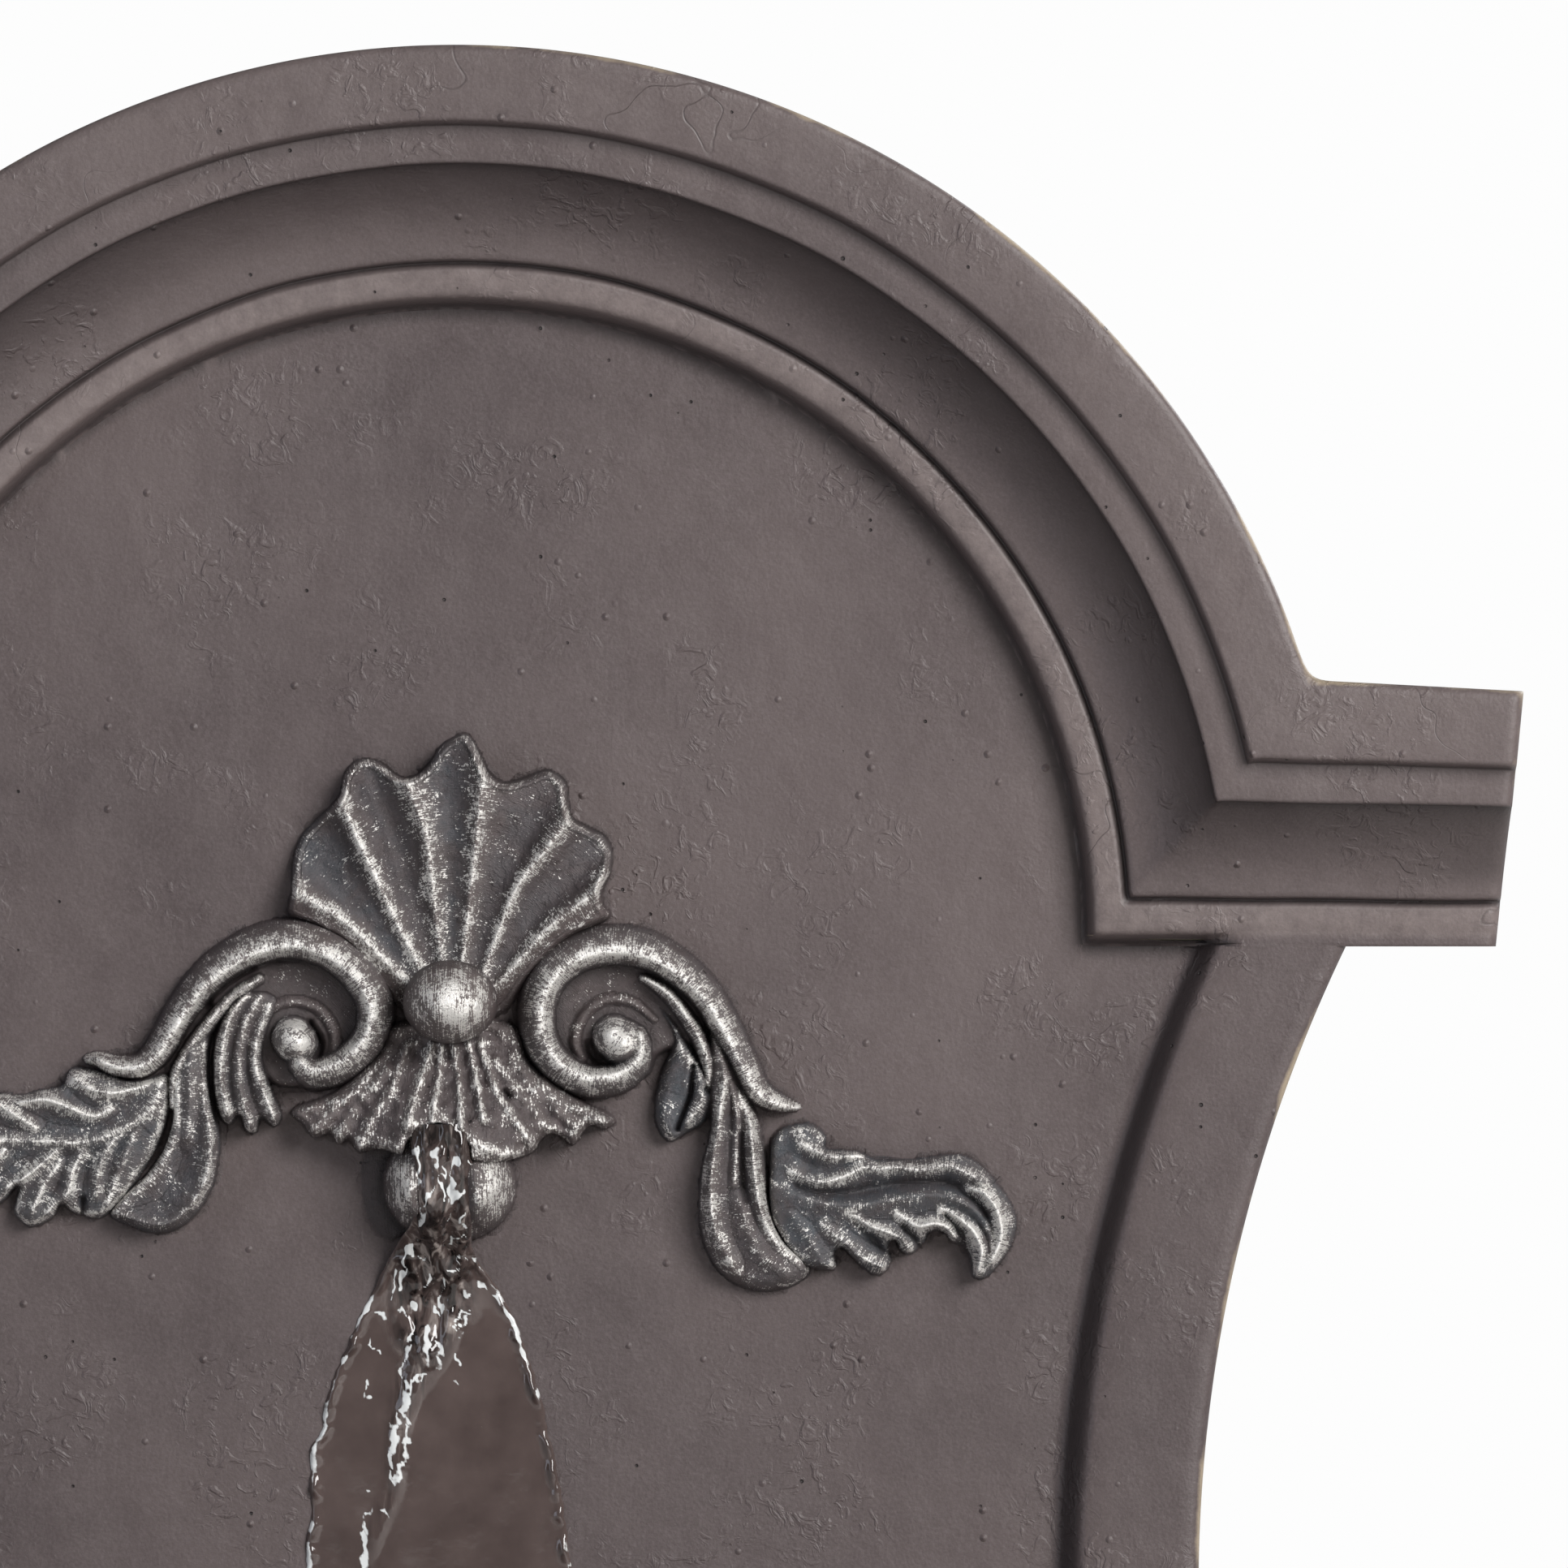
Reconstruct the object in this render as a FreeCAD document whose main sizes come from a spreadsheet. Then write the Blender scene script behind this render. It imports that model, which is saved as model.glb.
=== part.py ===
import FreeCAD, Part
import math
import os
from types import SimpleNamespace
import Sketcher

# Garden wall fountain: an arched panel with shoulders, carved ornament, a half-round basin and a pump.
# Frame: the origin is the centre of the arch on the wall plane, +X to the right seen from the front,
# -Y towards the viewer and +Z up. Lengths are millimetres.

Vector = FreeCAD.Vector
Rotation = FreeCAD.Rotation
Placement = FreeCAD.Placement

# A cutter runs this far past the face that it opens, and two numbers closer than TINY are equal.
OVERRUN = 1.0
TINY = 0.01

doc = FreeCAD.newDocument("garden_wall_fountain")
sheet = doc.addObject("Spreadsheet::Sheet", "Sizes")

# Driving dimensions: alias, value, what it is.
DRIVING = [
    ("arch_radius", 218.5, "radius of the arched top"),
    ("shoulder_reach", 259.4, "half width over the shoulders at half their height"),
    ("shoulder_flare", 3.0, "how far the shoulder ends lean out above and in below that"),
    ("shoulder_top", 61.0, "height of the shoulders above the arch centre"),
    ("shoulder_fall", 1.4, "how much the shoulder top falls towards its end, half of it"),
    ("waist_reach", 182.4, "half width of the panel at the waist"),
    ("waist_level", -162.0, "height of the waist"),
    ("waist_radius", 364.5, "radius of the waist curve"),
    ("ear_level", -321.0, "height where the waist curve ends"),
    ("foot_reach", 40.0, "half width of the panel at its foot"),
    ("foot_level", -480.0, "height of the panel's foot"),
    ("foot_radius", 190.0, "radius of the curve from ear to foot"),
    ("field_front", 32.0, "distance of the sunk field from the wall"),
    ("field_wall", 10.0, "thickness of the cast wall behind the field"),
    ("edge_wall", 12.0, "thickness of the cast wall round the edge"),
    ("rib_half", 15.0, "half height of the hanging rib"),
    ("fascia_rise", 34.0, "rise of the outer fascia above the field"),
    ("fascia_width", 18.5, "width of the outer fascia"),
    ("fascia_slope", 1.5, "draft of the step under the fascia"),
    ("band_rise", 30.0, "rise of the second band above the field"),
    ("band_edge", 29.0, "distance of the second band's inner edge from the outline"),
    ("cove_top_rise", 28.0, "rise of the cove's outer edge"),
    ("cove_edge", 52.0, "distance of the cove's inner edge from the outline"),
    ("cove_rise", 12.5, "rise of the cove's inner edge"),
    ("cove_radius", 25.0, "radius of the cove"),
    ("quirk_width", 1.5, "width of the fillet between cove and bead"),
    ("bead_width", 8.0, "width of the inner bead"),
    ("bead_rise", 7.0, "rise of the bead's sides"),
    ("bead_radius", 4.8, "radius of the bead"),
    ("bead_foot", 2.0, "draft under the bead"),
    ("core_margin", 12.0, "wall left round the hollow behind the arch moulding"),
    ("strip_width", 34.5, "width of the raised strip along the waist"),
    ("strip_rise", 9.5, "rise of the raised strip above the field"),
    ("strip_round", 7.0, "rounding of the strip's inner edge"),
    ("bonding_gap", 0.2, "adhesive line between carved pieces"),
    ("shell_reach", 57.0, "length of the shell's middle flute"),
    ("shell_foot", -7.0, "height where the shell's flutes meet"),
    ("shell_rise", 20.0, "rise of the shell above the field"),
    ("shell_flute", 5.2, "radius of a flute at its outer end"),
    ("boss_radius", 12.2, "radius of the ball"),
    ("boss_level", -17.2, "height of the ball's centre"),
    ("boss_rise", 20.0, "rise of the ball's centre above the field"),
    ("scroll_reach", 86.0, "reach of a scroll from the middle"),
    ("scroll_drop", 86.5, "drop of a scroll below the arch centre"),
    ("scroll_rise", 18.0, "rise of the scrolls above the field"),
    ("scroll_crease", 4.0, "depth of the volute groove"),
    ("spray_reach", 136.0, "reach of a leaf spray from the middle"),
    ("spray_drop", 85.5, "drop of a leaf spray below the arch centre"),
    ("spray_rise", 14.0, "rise of the leaf sprays above the field"),
    ("spout_x", -2.5, "sideways place of the spout"),
    ("spout_level", -50.0, "height of the spout pipe"),
    ("apron_rise", 20.0, "rise of the pleated apron above the field"),
    ("apron_half", 29.0, "half width of the pleated apron"),
    ("apron_top", -29.0, "height of the apron's top"),
    ("lip_rise", 30.0, "rise of the lip above the field"),
    ("lip_half", 16.5, "half width of the lip"),
    ("lip_top", -47.5, "height of the lip's brim"),
    ("mouth_drop", 3.0, "drop of the joint between apron and lip below the pipe"),
    ("lip_foot", -76.0, "height of the lip's underside"),
    ("gasket_depth", 2.0, "thickness of the basin gasket"),
    ("gasket_inset", 6.0, "how far the gasket stays inside the basin's back"),
    ("rim_level", -256.0, "height of the basin's rim"),
    ("rim_reach", 200.0, "outer radius of the basin's rim"),
    ("rim_inner", 176.0, "inner radius of the basin's rim"),
    ("rim_fascia", 20.0, "height of the rim's fascia"),
    ("rim_step", 5.0, "step under the rim's fascia"),
    ("rim_band", 8.0, "height of the band under the rim"),
    ("neck_reach", 173.0, "radius under the rim's cove"),
    ("neck_drop", 50.0, "drop of the basin's neck bead below the rim"),
    ("neck_bead", 8.0, "height of the neck bead"),
    ("belly_drop", 149.0, "drop of the belly's bottom below the rim"),
    ("belly_radius", 130.0, "radius of the belly"),
    ("collar_reach", 52.0, "radius of the belly's bottom"),
    ("collar_step", 8.0, "step and height of the collar under the belly"),
    ("finial_neck", 13.0, "radius of the finial's neck"),
    ("finial_neck_drop", 196.0, "drop of the finial's neck below the rim"),
    ("finial_drop", 223.0, "drop of the finial's tip below the rim"),
    ("bowl_lip_drop", 44.0, "drop of the bowl's inner curve below the rim"),
    ("bowl_lip_reach", 166.0, "inner radius where the bowl's curve starts"),
    ("bowl_radius", 80.0, "radius of the bowl's inner curve"),
    ("floor_reach", 92.0, "radius of the bowl's flat floor"),
    ("floor_level", -372.0, "height of the bowl's floor"),
    ("back_wall", 12.0, "thickness of the basin's back wall"),
    ("back_wall_drop", 6.0, "drop of the back wall's top below the rim"),
    ("bolt_radius", 2.95, "radius of the basin bolts"),
    ("bolt_clearance", 0.35, "radial clearance of a bolt in the panel"),
    ("bolt_head", 5.5, "circumradius of a bolt head"),
    ("bolt_head_depth", 4.0, "thickness of a bolt head"),
    ("washer_radius", 8.0, "radius of a bolt washer"),
    ("washer_depth", 1.6, "thickness of a bolt washer"),
    ("insert_radius", 4.5, "radius of a brass insert"),
    ("insert_length", 9.0, "length of a brass insert"),
    ("upper_bolt_x", 164.0, "sideways place of the upper bolts"),
    ("upper_bolt_level", -274.0, "height of the upper bolts"),
    ("lower_bolt_x", 45.0, "sideways place of the lower bolts"),
    ("lower_bolt_level", -391.0, "height of the lower bolts"),
    ("fit_gap", 0.2, "radial gap of a pushed-in piece"),
    ("thread_gap", 0.05, "radial gap of a screwed or bonded-in piece"),
    ("drain_x", 62.0, "sideways place of the drain"),
    ("drain_forward", 40.0, "distance of the drain in front of the basin's back"),
    ("drain_radius", 8.0, "radius of the drain hole"),
    ("plug_length", 18.0, "length of the plug's stem"),
    ("plug_taper", 0.6, "taper of the plug's stem"),
    ("plug_head", 11.5, "radius of the plug's head"),
    ("plug_head_depth", 4.0, "thickness of the plug's head"),
    ("plug_tab", 9.0, "height of the plug's pull tab"),
    ("hanger_x", 150.0, "sideways place of a hanger plate"),
    ("hanger_width", 60.0, "width of a hanger plate"),
    ("hanger_height", 24.0, "height of a hanger plate"),
    ("hanger_depth", 2.0, "thickness of a hanger plate"),
    ("keyhole_head", 5.5, "radius of the keyhole's wide end"),
    ("keyhole_slot", 2.7, "radius of the keyhole's narrow end"),
    ("keyhole_travel", 9.5, "distance between the two ends"),
    ("keyhole_pocket", 9.0, "depth of the pocket behind the plate"),
    ("keyhole_room", 2.0, "room beside a keyhole's wide end in its pocket"),
    ("hanger_screw_x", 24.0, "distance of a hanger screw from the plate's middle"),
    ("screw_radius", 1.75, "radius of a small screw"),
    ("screw_head", 3.4, "radius of a small screw's head"),
    ("screw_head_depth", 1.6, "thickness of a small screw's head"),
    ("screw_length", 12.0, "length of a hanger screw"),
    ("clip_screw_length", 9.0, "length of a clip screw"),
    ("blind_room", 0.5, "room past the end of a screw or insert in its blind hole"),
    ("hose_radius", 6.0, "outer radius of the hose"),
    ("hose_bore", 4.0, "inner radius of the hose"),
    ("hose_from_wall", 13.0, "distance of the upper hose's axis from the wall"),
    ("hose_entry_level", -274.0, "height where the hose leaves the basin"),
    ("hose_bend", 36.0, "bend radius of the hose"),
    ("barb_gap", 0.1, "gap between a barb and the hose"),
    ("pipe_radius", 5.0, "outer radius of the pipe fittings"),
    ("pipe_bore", 2.8, "bore radius of the pipe fittings"),
    ("knuckle_radius", 5.6, "radius of an elbow's knuckle"),
    ("pipe_leg", 9.0, "length of a fitting's thick leg from its bend"),
    ("barb_length", 14.0, "length of a fitting's barb"),
    ("spout_pipe_end", 18.0, "how far the spout pipe stands in front of the field"),
    ("grommet_wall", 3.2, "wall of the hose grommet"),
    ("grommet_flange", 3.0, "overhang of a grommet's flange"),
    ("grommet_flange_depth", 2.5, "thickness of a grommet's flange"),
    ("cord_x", 32.0, "sideways place of the cord's grommet"),
    ("cord_bore", 3.5, "bore radius of the cord's grommet"),
    ("clip_level_low", -215.0, "height of the lower hose clip"),
    ("clip_level_high", -110.0, "height of the upper hose clip"),
    ("clip_half", 5.0, "half height of a hose clip"),
    ("clip_wall", 3.0, "wall of a hose clip"),
    ("clip_tab", 11.0, "length of a hose clip's screw tab"),
    ("pump_half", 26.0, "half width of the pump"),
    ("pump_back", 62.0, "distance of the pump's back from the wall plane"),
    ("pump_depth", 30.0, "depth of the motor housing"),
    ("pump_height", 40.0, "height of the motor housing"),
    ("pump_wall", 2.5, "wall of the motor housing"),
    ("pump_floor", 3.0, "floor of the motor housing"),
    ("cup_height", 5.0, "height of a suction cup"),
    ("cup_radius", 7.0, "radius of a suction cup"),
    ("cup_neck", 3.0, "neck radius of a suction cup"),
    ("cup_stud", 1.8, "radius of a suction cup's stud"),
    ("cup_stud_length", 2.0, "length of a suction cup's stud"),
    ("cup_x", 18.0, "distance of a suction cup from the pump's middle"),
    ("cup_y", 9.0, "distance of a suction cup from the housing's middle"),
    ("rear_plate_depth", 3.0, "thickness of the housing's rear plate"),
    ("rotor_up", 25.0, "height of the rotor's axis above the housing's bottom"),
    ("well_bore", 9.8, "inner radius of the rotor well"),
    ("well_wall", 1.0, "wall of the rotor well"),
    ("well_depth", 24.0, "depth of the rotor well"),
    ("core_gap", 0.2, "gap between rotor well and stator core"),
    ("core_half", 19.0, "half width of the stator core"),
    ("core_depth", 14.0, "stack height of the stator core"),
    ("core_back", 10.0, "distance of the stator core from the housing's back"),
    ("yoke_height", 5.0, "height of the stator core's yoke"),
    ("coil_build", 2.8, "build-up of the coil"),
    ("coil_half", 11.0, "half width of the coil"),
    ("pole_slot", 2.0, "slot between the stator's poles"),
    ("shaft_radius", 1.5, "radius of the impeller shaft"),
    ("shaft_clearance", 0.05, "running clearance on the shaft"),
    ("bush_depth", 4.0, "depth of the rear bush"),
    ("magnet_radius", 8.8, "radius of the rotor magnet"),
    ("magnet_length", 18.5, "length of the rotor magnet"),
    ("hub_radius", 5.0, "radius of the impeller's hub"),
    ("hub_length", 10.0, "length of the impeller's hub"),
    ("blade_reach", 10.8, "outer radius of the impeller's blades"),
    ("blade_width", 1.4, "thickness of a blade"),
    ("blade_length", 6.0, "length of a blade along the shaft"),
    ("chamber_radius", 12.5, "radius of the volute chamber"),
    ("chamber_depth", 11.0, "depth of the volute chamber"),
    ("cover_half", 21.0, "half width of the volute cover"),
    ("cover_depth", 14.0, "depth of the volute cover"),
    ("inlet_radius", 7.0, "radius of the inlet"),
    ("spoke_width", 1.6, "width of a spoke across the inlet"),
    ("front_bush_radius", 2.6, "outer radius of the front bush"),
    ("bush_seat_wall", 1.2, "wall round the front bush"),
    ("ring_radius", 14.8, "radius of the cover's sealing ring"),
    ("ring_thickness", 0.9, "half thickness of the sealing ring"),
    ("ring_groove", 0.15, "room round the sealing ring"),
    ("outlet_boss", 6.5, "radius of the outlet boss"),
    ("outlet_boss_rise", 5.0, "rise of the outlet boss"),
    ("outlet_socket", 4.9, "radius of the adapter's plug"),
    ("adapter_collar", 2.0, "height of the adapter's collar"),
    ("adapter_barb", 10.0, "length of the adapter's barb"),
    ("intake_depth", 14.0, "depth of the intake cover"),
    ("intake_wall", 1.5, "wall of the intake cover"),
    ("intake_slot", 2.6, "width of a slot in the intake cover"),
    ("intake_slot_step", 5.2, "distance between slots"),
    ("regulator_radius", 8.0, "radius of the flow regulator"),
    ("regulator_depth", 1.8, "thickness of the flow regulator"),
    ("regulator_pin", 1.6, "radius of the flow regulator's pin"),
    ("regulator_knob", 2.2, "radius of the flow regulator's knob"),
    ("regulator_clearance", 0.1, "radial clearance of the pin, and its face clearance"),
    ("gland_radius", 5.0, "radius of the cable gland"),
    ("gland_spigot", 4.0, "radius of the gland's spigot"),
    ("gland_length", 12.0, "length of the gland outside the housing"),
    ("gland_bore", 2.6, "bore radius of the gland"),
]


class Size:
    """A number together with the spreadsheet formula that it comes from."""

    def __init__(self, number, formula):
        self.number = float(number)
        self.formula = formula

    def __add__(self, other):
        other = as_size(other)
        return Size(self.number + other.number, "(%s + %s)" % (self.formula, other.formula))

    def __sub__(self, other):
        other = as_size(other)
        return Size(self.number - other.number, "(%s - %s)" % (self.formula, other.formula))

    def __mul__(self, other):
        other = as_size(other)
        return Size(self.number * other.number, "(%s * %s)" % (self.formula, other.formula))

    def __truediv__(self, other):
        other = as_size(other)
        return Size(self.number / other.number, "(%s / %s)" % (self.formula, other.formula))

    def __radd__(self, other):
        return as_size(other) + self

    def __rsub__(self, other):
        return as_size(other) - self

    def __rmul__(self, other):
        return as_size(other) * self

    def __neg__(self):
        return Size(-self.number, "(-%s)" % self.formula)


def as_size(value):
    if isinstance(value, Size):
        return value
    return Size(value, "(%.6f)" % value)


def root(value):
    return Size(math.sqrt(value.number), "sqrt(%s)" % value.formula)


# The sheet holds one row per driving dimension.
values = {}
for row, (alias, number, note) in enumerate(DRIVING, start=1):
    sheet.set("A%d" % row, note)
    sheet.set("B%d" % row, str(number))
    sheet.setAlias("B%d" % row, alias)
    values[alias] = Size(number, "Sizes." + alias)
s = SimpleNamespace(**values)
doc.recompute()


# Binding and naming

def bind(thing, prop, value):
    """Ties a property to the sheet."""
    thing.setExpression(prop, as_size(value).formula)


def place(thing, x, y, z, rotation=None):
    """Puts an object at a point that follows the sheet."""
    if rotation is not None:
        thing.Placement = Placement(Vector(0, 0, 0), rotation)
    for letter, value in zip("xyz", (x, y, z)):
        bind(thing, "Placement.Base." + letter, value)


TURNS = {
    "x": Rotation(Vector(0, 1, 0), 90),
    "y": Rotation(Vector(1, 0, 0), -90),
    "z": Rotation(),
}


# Part primitives and booleans

def box(x0, x1, y0, y1, z0, z1):
    """A block between two corners."""
    block = doc.addObject("Part::Box", "block")
    bind(block, "Length", as_size(x1) - x0)
    bind(block, "Width", as_size(y1) - y0)
    bind(block, "Height", as_size(z1) - z0)
    place(block, x0, y0, z0)
    return block


def rod(axis, x, y, z, radius, length):
    """A cylinder that starts at a point and runs along +X, +Y or +Z."""
    cylinder = doc.addObject("Part::Cylinder", "rod")
    bind(cylinder, "Radius", radius)
    bind(cylinder, "Height", length)
    place(cylinder, x, y, z, TURNS[axis])
    return cylinder


def taper(axis, x, y, z, radius0, radius1, length):
    """A cone frustum that starts at a point and runs along +X, +Y or +Z."""
    cone = doc.addObject("Part::Cone", "taper")
    bind(cone, "Radius1", radius0)
    bind(cone, "Radius2", radius1)
    bind(cone, "Height", length)
    place(cone, x, y, z, TURNS[axis])
    return cone


def hexagon(axis, x, y, z, circumradius, length):
    """A six-sided bar that starts at a point and runs along +X, +Y or +Z."""
    prism = doc.addObject("Part::Prism", "hexagon")
    prism.Polygon = 6
    bind(prism, "Circumradius", circumradius)
    bind(prism, "Height", length)
    place(prism, x, y, z, TURNS[axis])
    return prism


def join(*pieces):
    """One solid from touching or overlapping pieces."""
    fused = doc.addObject("Part::MultiFuse", "join")
    fused.Shapes = list(pieces)
    fused.Refine = True
    return fused


def cut(base, *tools):
    """The base without its tools."""
    for tool in tools:
        left = doc.addObject("Part::Cut", "cut")
        left.Base = base
        left.Tool = tool
        base = left
    return base


def group(*pieces):
    """Separate solids that share one node."""
    compound = doc.addObject("Part::Compound", "group")
    compound.Links = list(pieces)
    return compound


# Sketches and PartDesign features

def origin_feature(body, role):
    for feature in body.Origin.OriginFeatures:
        if feature.Role == role:
            return feature


def new_body(name):
    return doc.addObject("PartDesign::Body", name)


def new_sketch(body, plane, offset=0):
    """A sketch on one of the body's own planes, moved along the plane's normal."""
    sketch = body.newObject("Sketcher::SketchObject", "sketch")
    sketch.AttachmentSupport = [(origin_feature(body, plane), "")]
    sketch.MapMode = "FlatFace"
    bind(sketch, "AttachmentOffset.Base.z", offset)
    return sketch


def fix(sketch, kind, geometry, point, value):
    """Holds one coordinate of a sketch point."""
    value = as_size(value)
    index = sketch.addConstraint(Sketcher.Constraint(kind, -1, 1, geometry, point, value.number))
    sketch.setExpression("Constraints[%d]" % index, value.formula)


def fix_radius(sketch, geometry, value):
    value = as_size(value)
    index = sketch.addConstraint(Sketcher.Constraint("Radius", geometry, value.number))
    sketch.setExpression("Constraints[%d]" % index, value.formula)


def circle(sketch, u, v, radius):
    """A circle at a point of the sketch."""
    u, v, radius = as_size(u), as_size(v), as_size(radius)
    centre = Vector(u.number, v.number, 0)
    index = sketch.addGeometry(Part.Circle(centre, Vector(0, 0, 1), radius.number))
    fix(sketch, "DistanceX", index, 3, u)
    fix(sketch, "DistanceY", index, 3, v)
    fix_radius(sketch, index, radius)


def outline(sketch, corners):
    """A closed outline. A corner is (u, v), or (u, v, radius) where an arc arrives at it.

    A positive radius bulges to the right of the direction of travel, a negative one to the left."""
    corners = [tuple(as_size(value) for value in corner) for corner in corners]
    starts = []
    ends = []
    for index, corner in enumerate(corners):
        here = Vector(corners[index - 1][0].number, corners[index - 1][1].number, 0)
        there = Vector(corner[0].number, corner[1].number, 0)
        if len(corner) == 2:
            sketch.addGeometry(Part.LineSegment(here, there))
            starts.append(1)
            ends.append(2)
            continue
        radius = corner[2].number
        chord = there - here
        half = chord.Length / 2
        sagitta = abs(radius) - math.sqrt(radius * radius - half * half)
        side = Vector(chord.y, -chord.x, 0) * (math.copysign(sagitta, radius) / chord.Length)
        middle = (here + there) * 0.5 + side
        if radius > 0:
            sketch.addGeometry(Part.ArcOfCircle(here, middle, there))
            starts.append(1)
            ends.append(2)
        else:
            sketch.addGeometry(Part.ArcOfCircle(there, middle, here))
            starts.append(2)
            ends.append(1)
    count = len(corners)
    first = sketch.GeometryCount - count
    for index, corner in enumerate(corners):
        following = (index + 1) % count
        sketch.addConstraint(Sketcher.Constraint(
            "Coincident", first + index, ends[index], first + following, starts[following]))
        fix(sketch, "DistanceX", first + index, ends[index], corner[0])
        fix(sketch, "DistanceY", first + index, ends[index], corner[1])
    for index, corner in enumerate(corners):
        if len(corner) == 3:
            radius = corner[2]
            fix_radius(sketch, first + index, radius if radius.number > 0 else -radius)


def feature(body, kind, sketch, **settings):
    """A PartDesign feature made from a sketch."""
    made = body.newObject("PartDesign::" + kind, kind.lower())
    made.Profile = sketch
    for prop, value in settings.items():
        if isinstance(value, Size):
            bind(made, prop, value)
        else:
            setattr(made, prop, value)
    sketch.Visibility = False
    return made


def mirrored(corners):
    """The left half of an outline whose right half runs from top to bottom."""
    flipped = []
    for index in range(len(corners) - 1, -1, -1):
        u, v = corners[index][:2]
        if index + 1 < len(corners) and len(corners[index + 1]) == 3:
            flipped.append((-u, v, corners[index + 1][2]))
        else:
            flipped.append((-u, v))
    return flipped


def waist_x(level, radius):
    """Half width of a waist curve at a height; the two curves share one centre."""
    centre = s.waist_reach + s.waist_radius
    rise = level - s.waist_level
    return centre - root(radius * radius - rise * rise)


parts = {}


def finish(name, thing):
    """Names a finished sub-part."""
    thing.Label = name
    parts[name] = thing
    return thing


# Levels that several pieces share

front_face = s.field_front + s.fascia_rise
moulding_width = s.cove_edge + s.quirk_width + s.bead_width + s.bead_foot
bead_bottom = s.shoulder_top - moulding_width
cavity_depth = s.field_front - s.field_wall
basin_back = s.field_front + s.gasket_depth
pump_bottom = s.floor_level + s.cup_height
pump_top = pump_bottom + s.pump_height
pump_front = s.pump_back + s.pump_depth
rotor_level = pump_bottom + s.rotor_up
cover_front = pump_front + s.cover_depth
intake_front = cover_front + s.intake_depth
outlet_y = (pump_front + cover_front) / 2
strip_inner = s.waist_radius + s.strip_width
upper_bolts = [(s.upper_bolt_x * side, s.upper_bolt_level) for side in (1, -1)]
lower_bolts = [(s.lower_bolt_x * side, s.lower_bolt_level) for side in (1, -1)]
bolt_points = upper_bolts + lower_bolts
hose_grommet_radius = s.hose_radius + s.grommet_wall
cord_grommet_radius = s.cord_bore + s.grommet_wall
spout_grommet_radius = s.pipe_radius + s.grommet_wall
basin_inside = basin_back + s.back_wall
clip_screw_x = s.spout_x + s.hose_radius + s.clip_wall + s.clip_tab / 2
boss_y = -(s.field_front + s.boss_rise)
spout_channel = s.pipe_radius + s.bonding_gap
neck_level = s.rim_level - s.neck_drop
belly_foot = s.rim_level - s.belly_drop
bolt_face = -(cavity_depth - s.washer_depth)


def moulding(u_of, top, end):
    """Corners of the space in front of the moulding, from the fascia down to the field.

    u_of turns a distance from the outline into a sketch height."""
    def point(distance, rise):
        return (-(s.field_front + rise), u_of(distance))
    bead_start = s.cove_edge + s.quirk_width
    bead_end = bead_start + s.bead_width
    return [
        (-top, u_of(s.fascia_width)),
        point(s.fascia_width, s.fascia_rise),
        point(s.fascia_width + s.fascia_slope, s.band_rise),
        point(s.band_edge, s.band_rise),
        point(s.band_edge, s.cove_top_rise),
        point(s.cove_edge, s.cove_rise) + (-s.cove_radius,),
        point(bead_start, s.cove_rise),
        point(bead_start, s.bead_rise),
        point(bead_end, s.bead_rise) + (s.bead_radius,),
        point(moulding_width, as_size(0)),
        (-s.field_front, end),
        (-top, end),
    ]


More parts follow.
